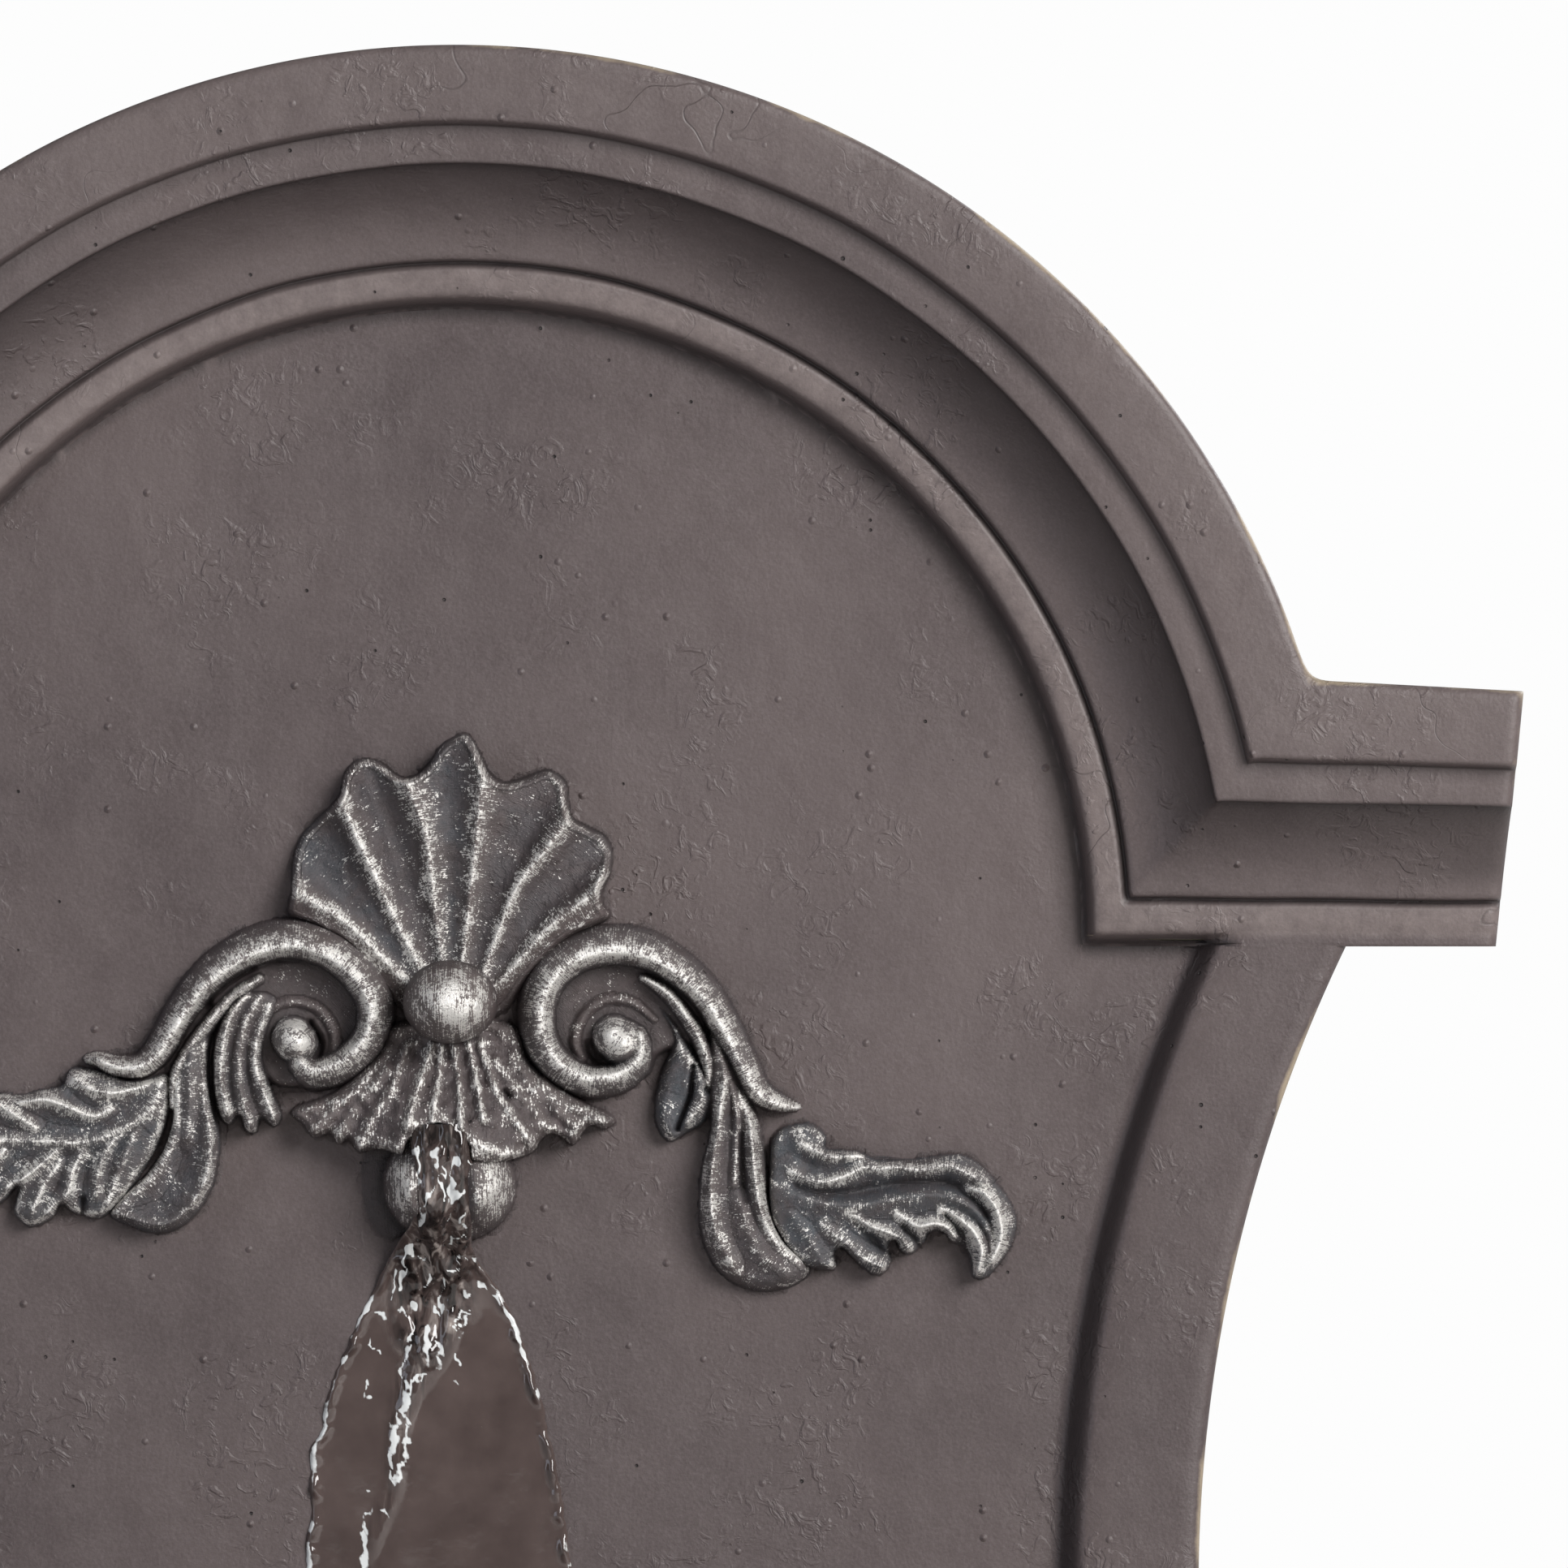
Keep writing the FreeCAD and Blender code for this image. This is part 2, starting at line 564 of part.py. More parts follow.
# Back panel: cast in one piece, with the moulding turned round the arch and run along the shoulders.
def make_back_panel():
    body = new_body("back_panel")
    reach_top = s.shoulder_reach + s.shoulder_flare
    reach_low = s.shoulder_reach - s.shoulder_flare
    top_in = s.shoulder_top + s.shoulder_fall
    top_out = s.shoulder_top - s.shoulder_fall
    arch_x = root(s.arch_radius * s.arch_radius - top_in * top_in)
    right = [
        (s.foot_reach, s.foot_level),
        (waist_x(s.ear_level, s.waist_radius), s.ear_level, s.foot_radius),
        (waist_x(bead_bottom, s.waist_radius), bead_bottom, -s.waist_radius),
        (reach_low, bead_bottom),
        (reach_top, top_out),
        (arch_x, top_in),
    ]
    crown = (as_size(0), s.arch_radius, s.arch_radius)
    left = mirrored(right)
    left[0] = left[0] + (s.arch_radius,)
    silhouette = new_sketch(body, "XZ_Plane")
    outline(silhouette, right + [crown] + left)
    feature(body, "Pad", silhouette, Length=front_face)

    clear = front_face + OVERRUN * 2
    arch_profile = new_sketch(body, "YZ_Plane")
    outline(arch_profile, moulding(lambda distance: s.arch_radius - distance, clear, as_size(0)))
    feature(body, "Groove", arch_profile, ReferenceAxis=(origin_feature(body, "Y_Axis"), [""]),
            Angle=180, Midplane=True)

    shoulder_profile = new_sketch(body, "YZ_Plane")
    outline(shoulder_profile,
            moulding(lambda distance: s.shoulder_top - distance, clear, bead_bottom)[:-2]
            + [(-clear, bead_bottom)])
    feature(body, "Pocket", shoulder_profile, Midplane=True, Length=s.shoulder_reach * 3)

    below = new_sketch(body, "XZ_Plane", clear)
    wide = s.shoulder_reach * 1.5
    deep = s.foot_level * 1.5
    outline(below, [(-wide, bead_bottom), (-wide, deep), (wide, deep), (wide, bead_bottom)])
    feature(body, "Pocket", below, Length=s.fascia_rise - s.strip_rise + OVERRUN * 2)

    field = new_sketch(body, "XZ_Plane", clear)
    strip_top = waist_x(bead_bottom, strip_inner)
    strip_foot = waist_x(s.rim_level + OVERRUN, strip_inner)
    sill = s.arch_radius - moulding_width
    outline(field, [
        (sill, bead_bottom),
        (sill, 0),
        (-sill, 0),
        (-sill, bead_bottom),
        (-strip_top, bead_bottom),
        (-strip_foot, s.rim_level + OVERRUN, -strip_inner),
        (-wide, s.rim_level + OVERRUN),
        (-wide, deep),
        (wide, deep),
        (wide, s.rim_level + OVERRUN),
        (strip_foot, s.rim_level + OVERRUN),
        (strip_top, bead_bottom, -strip_inner),
    ])
    feature(body, "Pocket", field, Length=s.fascia_rise + OVERRUN * 2)
    doc.recompute()
    rounded = []
    base = body.Tip
    for number, edge in enumerate(base.Shape.Edges, start=1):
        middle = edge.valueAt((edge.FirstParameter + edge.LastParameter) / 2)
        at_strip_top = abs(middle.y + (s.field_front + s.strip_rise).number) < TINY
        radius = getattr(edge.Curve, "Radius", 0)
        if at_strip_top and abs(radius - strip_inner.number) < TINY:
            rounded.append("Edge%d" % number)
    strip_edge = body.newObject("PartDesign::Fillet", "strip_edge")
    strip_edge.Base = (base, rounded)
    bind(strip_edge, "Radius", s.strip_round)

    inset = s.edge_wall
    arch_in = s.arch_radius - inset
    upper = new_sketch(body, "XZ_Plane")
    shoulder_in = s.shoulder_top - s.shoulder_fall - inset
    reach_in = reach_low - inset
    joint_x = root(arch_in * arch_in - shoulder_in * shoulder_in)
    outline(upper, [
        (reach_in, s.rib_half),
        (reach_in, shoulder_in),
        (joint_x, shoulder_in),
        (as_size(0), arch_in, arch_in),
        (-joint_x, shoulder_in, arch_in),
        (-reach_in, shoulder_in),
        (-reach_in, s.rib_half),
    ])
    feature(body, "Pocket", upper, Length=cavity_depth, Reversed=True)

    lower = new_sketch(body, "XZ_Plane")
    inner_curve = s.waist_radius + inset
    lower_top = -s.rib_half
    ear_in = s.ear_level
    outline(lower, [
        (s.foot_reach, s.foot_level + inset),
        (waist_x(ear_in, inner_curve), ear_in, s.foot_radius - inset),
        (waist_x(lower_top, inner_curve), lower_top, -inner_curve),
        (-waist_x(lower_top, inner_curve), lower_top),
        (-waist_x(ear_in, inner_curve), ear_in, -inner_curve),
        (-s.foot_reach, s.foot_level + inset, s.foot_radius - inset),
    ])
    feature(body, "Pocket", lower, Length=cavity_depth, Reversed=True)

    hollow = new_sketch(body, "YZ_Plane")
    outer = s.arch_radius - s.core_margin
    inner = s.arch_radius - s.cove_edge
    outline(hollow, [
        (-cavity_depth + OVERRUN, inner),
        (-(s.field_front + s.cove_rise - s.core_margin), inner),
        (-(front_face - s.core_margin * 1.4), outer - s.core_margin),
        (-(front_face - s.core_margin), outer),
        (-cavity_depth + OVERRUN, outer),
    ])
    feature(body, "Groove", hollow, ReferenceAxis=(origin_feature(body, "Y_Axis"), [""]),
            Angle=140, Midplane=True)

    holes = new_sketch(body, "XZ_Plane", front_face)
    for x, level in bolt_points:
        circle(holes, x, level, s.bolt_radius + s.bolt_clearance)
    circle(holes, s.spout_x, s.hose_entry_level, hose_grommet_radius + s.fit_gap)
    circle(holes, s.cord_x, s.hose_entry_level, cord_grommet_radius + s.fit_gap)
    circle(holes, s.spout_x, s.spout_level, spout_grommet_radius + s.fit_gap)
    feature(body, "Pocket", holes, Length=front_face)

    seats = new_sketch(body, "XZ_Plane")
    keyholes = new_sketch(body, "XZ_Plane")
    screws = new_sketch(body, "XZ_Plane")
    for side in (1, -1):
        middle = s.hanger_x * side
        half_w = s.hanger_width / 2 + s.fit_gap
        half_h = s.hanger_height / 2 + s.fit_gap
        outline(seats, [(middle - half_w, -half_h), (middle + half_w, -half_h),
                        (middle + half_w, half_h), (middle - half_w, half_h)])
        pocket_w = s.keyhole_head + s.keyhole_room
        pocket_h = half_h - s.keyhole_room / 2
        outline(keyholes, [(middle - pocket_w, -pocket_h), (middle + pocket_w, -pocket_h),
                           (middle + pocket_w, pocket_h), (middle - pocket_w, pocket_h)])
        for way in (1, -1):
            circle(screws, middle + s.hanger_screw_x * way, 0, s.screw_radius + s.thread_gap)
    feature(body, "Pocket", seats, Length=s.hanger_depth, Reversed=True)
    feature(body, "Pocket", keyholes, Length=s.hanger_depth + s.keyhole_pocket, Reversed=True)
    feature(body, "Pocket", screws, Length=s.screw_length + s.blind_room, Reversed=True)

    clip_holes = new_sketch(body, "XZ_Plane")
    for level in (s.clip_level_low, s.clip_level_high):
        circle(clip_holes, clip_screw_x, level, s.screw_radius + s.thread_gap)
    feature(body, "Pocket", clip_holes, Reversed=True,
            Length=cavity_depth + s.clip_screw_length - s.clip_wall + s.blind_room)
    return finish("back_panel", body)


# Basin: half a turned bowl with a moulded rim and a finial, bonded to a flat back plate of its outline.
def make_basin():
    body = new_body("basin_casting")
    place(body, 0, -basin_back, 0)
    band_reach = s.rim_reach - s.rim_step
    band_foot = s.rim_level - s.rim_fascia - s.rim_band
    collar_in = s.collar_reach - s.collar_step
    outside = new_sketch(body, "YZ_Plane")
    outline(outside, [
        (as_size(0), s.rim_level),
        (-s.rim_reach, s.rim_level),
        (-s.rim_reach, s.rim_level - s.rim_fascia),
        (-band_reach, s.rim_level - s.rim_fascia),
        (-band_reach, band_foot),
        (-s.neck_reach, neck_level, -(s.neck_drop - s.rim_fascia)),
        (-s.neck_reach, neck_level - s.neck_bead, s.neck_bead * 0.55),
        (-s.collar_reach, belly_foot, s.belly_radius),
        (-collar_in, belly_foot),
        (-collar_in, belly_foot - s.collar_step),
        (-s.finial_neck, s.rim_level - s.finial_neck_drop, collar_in),
        (as_size(0), s.rim_level - s.finial_drop, s.finial_neck * 1.4),
    ])
    axis = (origin_feature(body, "Z_Axis"), [""])
    feature(body, "Revolution", outside, ReferenceAxis=axis, Angle=180, Midplane=True)

    inside = new_sketch(body, "YZ_Plane")
    outline(inside, [
        (as_size(0), s.rim_level + OVERRUN),
        (-s.rim_inner, s.rim_level + OVERRUN),
        (-s.rim_inner, s.rim_level - s.rim_band),
        (-s.bowl_lip_reach, s.rim_level - s.bowl_lip_drop),
        (-s.floor_reach, s.floor_level, s.bowl_radius),
        (as_size(0), s.floor_level),
    ])
    feature(body, "Groove", inside, ReferenceAxis=axis, Angle=180, Midplane=True)

    wall = new_sketch(body, "XZ_Plane")
    wall_top = s.rim_level - s.back_wall_drop
    overlap = s.edge_wall / 4
    outline(wall, [
        (s.rim_inner + overlap, wall_top),
        (-(s.rim_inner + overlap), wall_top),
        (-(s.bowl_lip_reach + overlap), s.rim_level - s.bowl_lip_drop),
        (-s.floor_reach, s.floor_level - overlap, s.bowl_radius),
        (s.floor_reach, s.floor_level - overlap),
        (s.bowl_lip_reach + overlap, s.rim_level - s.bowl_lip_drop, s.bowl_radius),
    ])
    feature(body, "Pad", wall, Length=s.back_wall)

    inserts = new_sketch(body, "XZ_Plane")
    for x, level in bolt_points:
        circle(inserts, x, level, s.insert_radius + s.thread_gap)
    feature(body, "Pocket", inserts, Length=s.insert_length + s.blind_room, Reversed=True)

    passages = new_sketch(body, "XZ_Plane")
    circle(passages, s.spout_x, s.hose_entry_level, hose_grommet_radius + s.fit_gap)
    circle(passages, s.cord_x, s.hose_entry_level, cord_grommet_radius + s.fit_gap)
    feature(body, "Pocket", passages, Length=s.back_wall + OVERRUN, Reversed=True)

    drain = new_sketch(body, "XY_Plane", s.floor_level + OVERRUN)
    circle(drain, s.drain_x, -s.drain_forward, s.drain_radius)
    feature(body, "Pocket", drain, Length=s.belly_drop)

    reach = s.rim_reach + OVERRUN
    foot = s.rim_level - s.finial_drop - OVERRUN
    top = s.rim_level + OVERRUN
    behind = box(-reach, reach, -basin_inside, -s.field_front, foot, top)
    ahead = box(-reach, reach, -(basin_back + reach), -basin_inside, foot, top)
    finish("basin", cut(body, behind))
    finish("basin_back", cut(body, ahead))


# Basin gasket: closed-cell foam between the basin's flat back and the panel.
def make_basin_gasket():
    body = new_body("basin_gasket")
    place(body, 0, -s.field_front, 0)
    inset = s.gasket_inset
    top = s.rim_level - inset
    band_foot = s.rim_level - s.rim_fascia - s.rim_band
    right = [
        (s.collar_reach, belly_foot + inset),
        (s.neck_reach - inset, neck_level, s.belly_radius),
        (s.rim_reach - s.rim_step - inset, band_foot),
        (s.rim_reach - inset, top),
    ]
    left = mirrored(right)
    sheet_sketch = new_sketch(body, "XZ_Plane")
    outline(sheet_sketch, right + left)
    for x, level in bolt_points:
        circle(sheet_sketch, x, level, s.bolt_radius + s.bolt_clearance)
    circle(sheet_sketch, s.spout_x, s.hose_entry_level, hose_grommet_radius + s.fit_gap)
    circle(sheet_sketch, s.cord_x, s.hose_entry_level, cord_grommet_radius + s.fit_gap)
    feature(body, "Pad", sheet_sketch, Length=s.gasket_depth)
    return finish("basin_gasket", body)


# Basin fixings: bolts from behind with washers, in brass inserts cast into the basin.
def make_basin_fixings():
    bolts = []
    washers = []
    inserts = []
    head_back = bolt_face + s.bolt_head_depth
    tip = -(basin_back + s.insert_length)
    for x, level in bolt_points:
        head = hexagon("y", x, bolt_face, level, s.bolt_head, s.bolt_head_depth)
        shank = rod("y", x, tip, level, s.bolt_radius, head_back - tip)
        bolts.append(join(head, shank))
        ring = rod("y", x, -cavity_depth, level, s.washer_radius, s.washer_depth)
        hole = rod("y", x, -cavity_depth - OVERRUN, level, s.bolt_radius + s.bolt_clearance,
                   s.washer_depth + OVERRUN * 2)
        washers.append(cut(ring, hole))
        bush = rod("y", x, tip, level, s.insert_radius, s.insert_length)
        thread = rod("y", x, tip - OVERRUN, level, s.bolt_radius + s.thread_gap,
                     s.insert_length + OVERRUN * 2)
        inserts.append(cut(bush, thread))
    finish("basin_bolts", group(*bolts))
    finish("basin_washers", group(*washers))
    finish("basin_inserts", group(*inserts))


# Drain plug: tapered rubber stem with a flat head and a pull tab with a finger hole.
def make_drain_plug():
    y = -(basin_back + s.drain_forward)
    stem_top = s.drain_radius - s.fit_gap
    stem = taper("z", s.drain_x, y, s.floor_level - s.plug_length, stem_top - s.plug_taper,
                 stem_top, s.plug_length)
    head = rod("z", s.drain_x, y, s.floor_level, s.plug_head, s.plug_head_depth)
    tab_half = s.plug_head / 2
    tab_thick = s.plug_head_depth / 2
    tab_foot = s.floor_level + s.plug_head_depth
    tab = box(s.drain_x - tab_half, s.drain_x + tab_half, y - tab_thick / 2, y + tab_thick / 2,
              tab_foot, tab_foot + s.plug_tab)
    eye = rod("y", s.drain_x, y - tab_thick, tab_foot + s.plug_tab / 2, s.plug_tab / 4,
              tab_thick * 2)
    finish("drain_plug", join(stem, head, cut(tab, eye)))


# Hanger plates: pressed steel keyhole plates let into the back of the rib, with their screws.
def make_hangers():
    plates = []
    screws = []
    for side in (1, -1):
        x = s.hanger_x * side
        half_w = s.hanger_width / 2
        half_h = s.hanger_height / 2
        plate = box(x - half_w, x + half_w, -s.hanger_depth, 0, -half_h, half_h)
        low = -s.keyhole_travel / 2
        wide = rod("y", x, -s.hanger_depth * 2, low, s.keyhole_head, s.hanger_depth * 3)
        slot = box(x - s.keyhole_slot, x + s.keyhole_slot, -s.hanger_depth * 2, s.hanger_depth,
                   low, -low)
        narrow = rod("y", x, -s.hanger_depth * 2, -low, s.keyhole_slot, s.hanger_depth * 3)
        cuts = [wide, slot, narrow]
        for way in (1, -1):
            screw_x = x + s.hanger_screw_x * way
            sink = taper("y", screw_x, -s.screw_head_depth, 0, s.screw_radius + s.thread_gap,
                         s.screw_head + s.thread_gap, s.screw_head_depth)
            hole = rod("y", screw_x, -s.hanger_depth * 2, 0, s.screw_radius + s.thread_gap,
                       s.hanger_depth * 3)
            cuts.extend([sink, hole])
            head = taper("y", screw_x, -s.screw_head_depth, 0, s.screw_radius, s.screw_head,
                         s.screw_head_depth)
            shank = rod("y", screw_x, -s.screw_length, 0, s.screw_radius,
                        s.screw_length - s.screw_head_depth / 2)
            screws.append(join(head, shank))
        plates.append(cut(plate, *cuts))
    finish("hanger_plates", group(*plates))
    finish("hanger_screws", group(*screws))


# Pipe fittings: an elbow has one leg on the hose in the cavity and one through the wall.
NO_BARB = as_size(0)


def elbow(level, front_leg, front_barb, up):
    """An elbow with its knuckle on the hose line; up is 1 or -1 for the hose leg's direction."""
    x = s.spout_x
    y = -s.hose_from_wall
    past = s.pipe_bore / 2
    knuckle = rod("x", x - s.knuckle_radius, y, level, s.knuckle_radius, s.knuckle_radius * 2)
    front_end = y - front_leg - front_barb
    thick = rod("y", x, y - front_leg, level, s.pipe_radius, front_leg)
    solids = [knuckle, thick]
    if front_barb is not NO_BARB:
        solids.append(rod("y", x, front_end, level, s.hose_bore - s.barb_gap, y - front_end))
    bore = rod("y", x, front_end - OVERRUN, level, s.pipe_bore, y - front_end + OVERRUN + past)
    reach = s.pipe_leg + s.barb_length
    low = level if up > 0 else level - s.pipe_leg
    solids.append(rod("z", x, y, low, s.pipe_radius, s.pipe_leg))
    low = level if up > 0 else level - reach
    solids.append(rod("z", x, y, low, s.hose_bore - s.barb_gap, reach))
    low = level - past if up > 0 else level - reach - OVERRUN
    rise = rod("z", x, y, low, s.pipe_bore, reach + OVERRUN + past)
    return cut(join(*solids), bore, rise)


def make_fittings():
    cavity_leg = cavity_depth - s.hose_from_wall
    finish("supply_elbow", elbow(s.hose_entry_level, cavity_leg, s.barb_length, 1))
    spout_leg = s.field_front + s.spout_pipe_end - s.hose_from_wall
    finish("spout_elbow", elbow(s.spout_level, spout_leg, NO_BARB, -1))


def grommet(x, level, radius, bore, near, far, flange_at):
    """A flanged rubber sleeve between two depths, with its flange outside one of them."""
    sleeve = rod("y", x, -far, level, radius, far - near)
    if flange_at == "front":
        flange_y = -(far + s.grommet_flange_depth)
    else:
        flange_y = -near
    flange = rod("y", x, flange_y, level, radius + s.grommet_flange, s.grommet_flange_depth)
    hole = rod("y", x, -(far + s.grommet_flange_depth * 2), level, bore,
               far - near + s.grommet_flange_depth * 4)
    return cut(join(sleeve, flange), hole)


def make_grommets():
    level = s.hose_entry_level
    near = cavity_depth + s.fit_gap
    finish("hose_grommet", grommet(s.spout_x, level, hose_grommet_radius,
                                   s.hose_radius + s.barb_gap, near, basin_inside, "front"))
    finish("cord_grommet", grommet(s.cord_x, level, cord_grommet_radius, s.cord_bore,
                                   near, basin_inside, "front"))
    finish("spout_grommet", grommet(s.spout_x, s.spout_level, spout_grommet_radius,
                                    s.pipe_radius + s.barb_gap, cavity_depth, s.field_front,
                                    "back"))


# Hoses: clear vinyl tube, pushed over the barbs.
def make_hoses():
    x = s.spout_x
    y = -s.hose_from_wall
    gap = s.barb_gap * 5
    foot = s.hose_entry_level + s.pipe_leg + gap
    head = s.spout_level - s.pipe_leg - gap
    tube = rod("z", x, y, foot, s.hose_radius, head - foot)
    bore = rod("z", x, y, foot - OVERRUN, s.hose_bore, head - foot + OVERRUN * 2)
    finish("supply_hose_upper", cut(tube, bore))

    start = pump_top + s.outlet_boss_rise + s.adapter_collar + gap
    bend_level = s.hose_entry_level - s.hose_bend
    bend_y = -outlet_y + s.hose_bend
    end = -(cavity_depth + gap)
    quarter = Rotation(Vector(0, -1, 0), Vector(0, 0, 1), Vector(-1, 0, 0))
    shells = []
    for radius, extra in ((s.hose_radius, 0), (s.hose_bore, OVERRUN)):
        rise = rod("z", x, -outlet_y, start - extra, radius, bend_level - start + extra)
        bend = doc.addObject("Part::Torus", "bend")
        bind(bend, "Radius1", s.hose_bend)
        bind(bend, "Radius2", radius)
        bend.Angle3 = 90
        place(bend, x, bend_y, bend_level, quarter)
        run = rod("y", x, bend_y, s.hose_entry_level, radius, end - bend_y + extra)
        shells.append(join(rise, bend, run))
    finish("supply_hose_lower", cut(shells[0], shells[1]))


# Hose clips: snap saddles on the inside of the panel, each with one screw.
def make_hose_clips():
    clips = []
    screws = []
    for level in (s.clip_level_low, s.clip_level_high):
        half = s.hose_radius + s.clip_wall
        low = level - s.clip_half
        high = level + s.clip_half
        snap = s.hose_radius / 4
        saddle = box(s.spout_x - half, s.spout_x + half, -cavity_depth, -s.hose_from_wall + snap,
                     low, high)
        tab = box(s.spout_x, s.spout_x + half + s.clip_tab, -cavity_depth,
                  -cavity_depth + s.clip_wall, low, high)
        channel = rod("z", s.spout_x, -s.hose_from_wall, low - OVERRUN, s.hose_radius + s.barb_gap,
                      s.clip_half * 2 + OVERRUN * 2)
        hole = rod("y", clip_screw_x, -cavity_depth - OVERRUN, level, s.screw_radius + s.thread_gap,
                   s.clip_wall + OVERRUN * 2)
        clips.append(cut(join(saddle, tab), channel, hole))
        face = -cavity_depth + s.clip_wall
        shank = rod("y", clip_screw_x, face - s.clip_screw_length, level, s.screw_radius,
                    s.clip_screw_length)
        head = rod("y", clip_screw_x, face, level, s.screw_head, s.screw_head_depth)
        screws.append(join(shank, head))
    finish("hose_clips", group(*clips))
    finish("clip_screws", group(*screws))


# Pump housing: moulded motor housing with the rotor well, its rear plate, gland and suction cups.
def make_pump_housing():
    x = s.spout_x
    back = -s.pump_back
    front = -pump_front
    outer = box(x - s.pump_half, x + s.pump_half, front, back, pump_bottom, pump_top)
    inner_half = s.pump_half - s.pump_wall
    inner_low = pump_bottom + s.pump_floor
    inner_high = pump_top - s.pump_wall
    room = box(x - inner_half, x + inner_half, front + s.pump_wall, back + OVERRUN, inner_low,
               inner_high)
    well_outer = s.well_bore + s.well_wall
    well = rod("y", x, front, rotor_level, well_outer, s.well_depth + s.well_wall)
    well_room = rod("y", x, front - OVERRUN, rotor_level, s.well_bore, s.well_depth + OVERRUN)
    gland_y = back - s.pump_depth / 2
    gland_hole = rod("x", x + inner_half - OVERRUN, gland_y, rotor_level,
                     s.gland_spigot + s.barb_gap, s.pump_wall + OVERRUN * 2)
    cup_points = [(x + s.cup_x * side, gland_y + s.cup_y * way) for side in (1, -1)
                  for way in (1, -1)]
    stud_holes = []
    cups = []
    for cup_x, cup_y in cup_points:
        stud_holes.append(rod("z", cup_x, cup_y, pump_bottom - OVERRUN, s.cup_stud + s.barb_gap,
                              s.cup_stud_length + OVERRUN))
        cone = taper("z", cup_x, cup_y, s.floor_level, s.cup_radius, s.cup_neck, s.cup_height)
        stud = rod("z", cup_x, cup_y, s.floor_level, s.cup_stud, s.cup_height + s.cup_stud_length)
        cups.append(join(cone, stud))
    shell = cut(join(cut(outer, room), well), well_room, gland_hole, *stud_holes)
    finish("pump_housing", shell)
    finish("suction_cups", group(*cups))

    ease = s.barb_gap
    plate = box(x - inner_half + ease, x + inner_half - ease, back - s.rear_plate_depth, back,
                inner_low + ease, inner_high - ease)
    finish("pump_rear_plate", plate)

    wall_x = x + s.pump_half
    spigot = rod("x", wall_x - s.pump_wall, gland_y, rotor_level, s.gland_spigot,
                 s.pump_wall + OVERRUN)
    boot = taper("x", wall_x, gland_y, rotor_level, s.gland_radius, s.gland_spigot, s.gland_length)
    bore = rod("x", wall_x - s.pump_wall - OVERRUN, gland_y, rotor_level, s.gland_bore,
               s.pump_wall + s.gland_length + OVERRUN * 2)
    finish("cable_gland", cut(join(spigot, boot), bore))


# Stator: laminated core round the rotor well, with one coil on its yoke.
def make_stator():
    x = s.spout_x
    core_y1 = -(s.pump_back + s.core_back)
    core_y0 = core_y1 - s.core_depth
    yoke_low = pump_bottom + s.pump_floor + s.coil_build + s.core_gap
    yoke_high = yoke_low + s.yoke_height
    core_top = pump_top - s.pump_wall - s.core_gap
    core = box(x - s.core_half, x + s.core_half, core_y0, core_y1, yoke_low, core_top)
    poles = rod("y", x, core_y0 - OVERRUN, rotor_level, s.well_bore + s.well_wall + s.core_gap,
                s.core_depth + OVERRUN * 2)
    ease = s.core_gap * 2
    window = box(x - s.coil_half - ease, x + s.coil_half + ease,
                 core_y0 - OVERRUN, core_y1 + OVERRUN, yoke_high, rotor_level - s.well_bore / 2)
    slot = box(x - s.pole_slot / 2, x + s.pole_slot / 2,
               core_y0 - OVERRUN, core_y1 + OVERRUN, rotor_level, core_top + OVERRUN)
    finish("stator_core", cut(core, poles, window, slot))

    build = s.coil_build
    ease = s.thread_gap
    wound = box(x - s.coil_half, x + s.coil_half, core_y0 - build, core_y1 + build,
                yoke_low - build, yoke_high + build)
    through = box(x - s.coil_half - OVERRUN, x + s.coil_half + OVERRUN, core_y0 - ease, core_y1 + ease,
                  yoke_low - ease, yoke_high + ease)
    finish("stator_coil", cut(wound, through))


# Rotor: magnet and four-bladed impeller on a fixed ceramic shaft between two bushes.
def make_rotor():
    x = s.spout_x
    bore = s.shaft_radius + s.shaft_clearance
    well_end = -(pump_front - s.well_depth)
    bush_front = well_end - s.bush_depth
    shaft_back = well_end - s.bush_depth / 4
    shaft_front = -(cover_front - s.shaft_clearance * 10)
    cushion = rod("y", x, bush_front, rotor_level, s.well_bore - s.fit_gap, s.bush_depth)
    seat = rod("y", x, bush_front - OVERRUN, rotor_level, bore, s.bush_depth * 0.75 + OVERRUN)
    finish("rear_bush", cut(cushion, seat))
    finish("impeller_shaft", rod("y", x, shaft_front, rotor_level, s.shaft_radius,
                                 shaft_back - shaft_front))

    magnet_back = bush_front - s.shaft_clearance * 10
    magnet_front = magnet_back - s.magnet_length
    magnet = rod("y", x, magnet_front, rotor_level, s.magnet_radius, s.magnet_length)
    magnet_bore = rod("y", x, magnet_front - OVERRUN, rotor_level, bore, s.magnet_length + OVERRUN * 2)
    finish("rotor_magnet", cut(magnet, magnet_bore))

    hub_front = magnet_front - s.hub_length
    hub = rod("y", x, hub_front, rotor_level, s.hub_radius, s.hub_length)
    blade_y0 = hub_front + s.blade_width / 2
    blade_y1 = blade_y0 + s.blade_length
    half = s.blade_width / 2
    across = box(x - s.blade_reach, x + s.blade_reach, blade_y0, blade_y1, rotor_level - half,
                 rotor_level + half)
    upright = box(x - half, x + half, blade_y0, blade_y1, rotor_level - s.blade_reach,
                  rotor_level + s.blade_reach)
    hub_bore = rod("y", x, hub_front - OVERRUN, rotor_level, bore, s.hub_length + OVERRUN * 2)
    finish("impeller", cut(join(hub, across, upright), hub_bore))


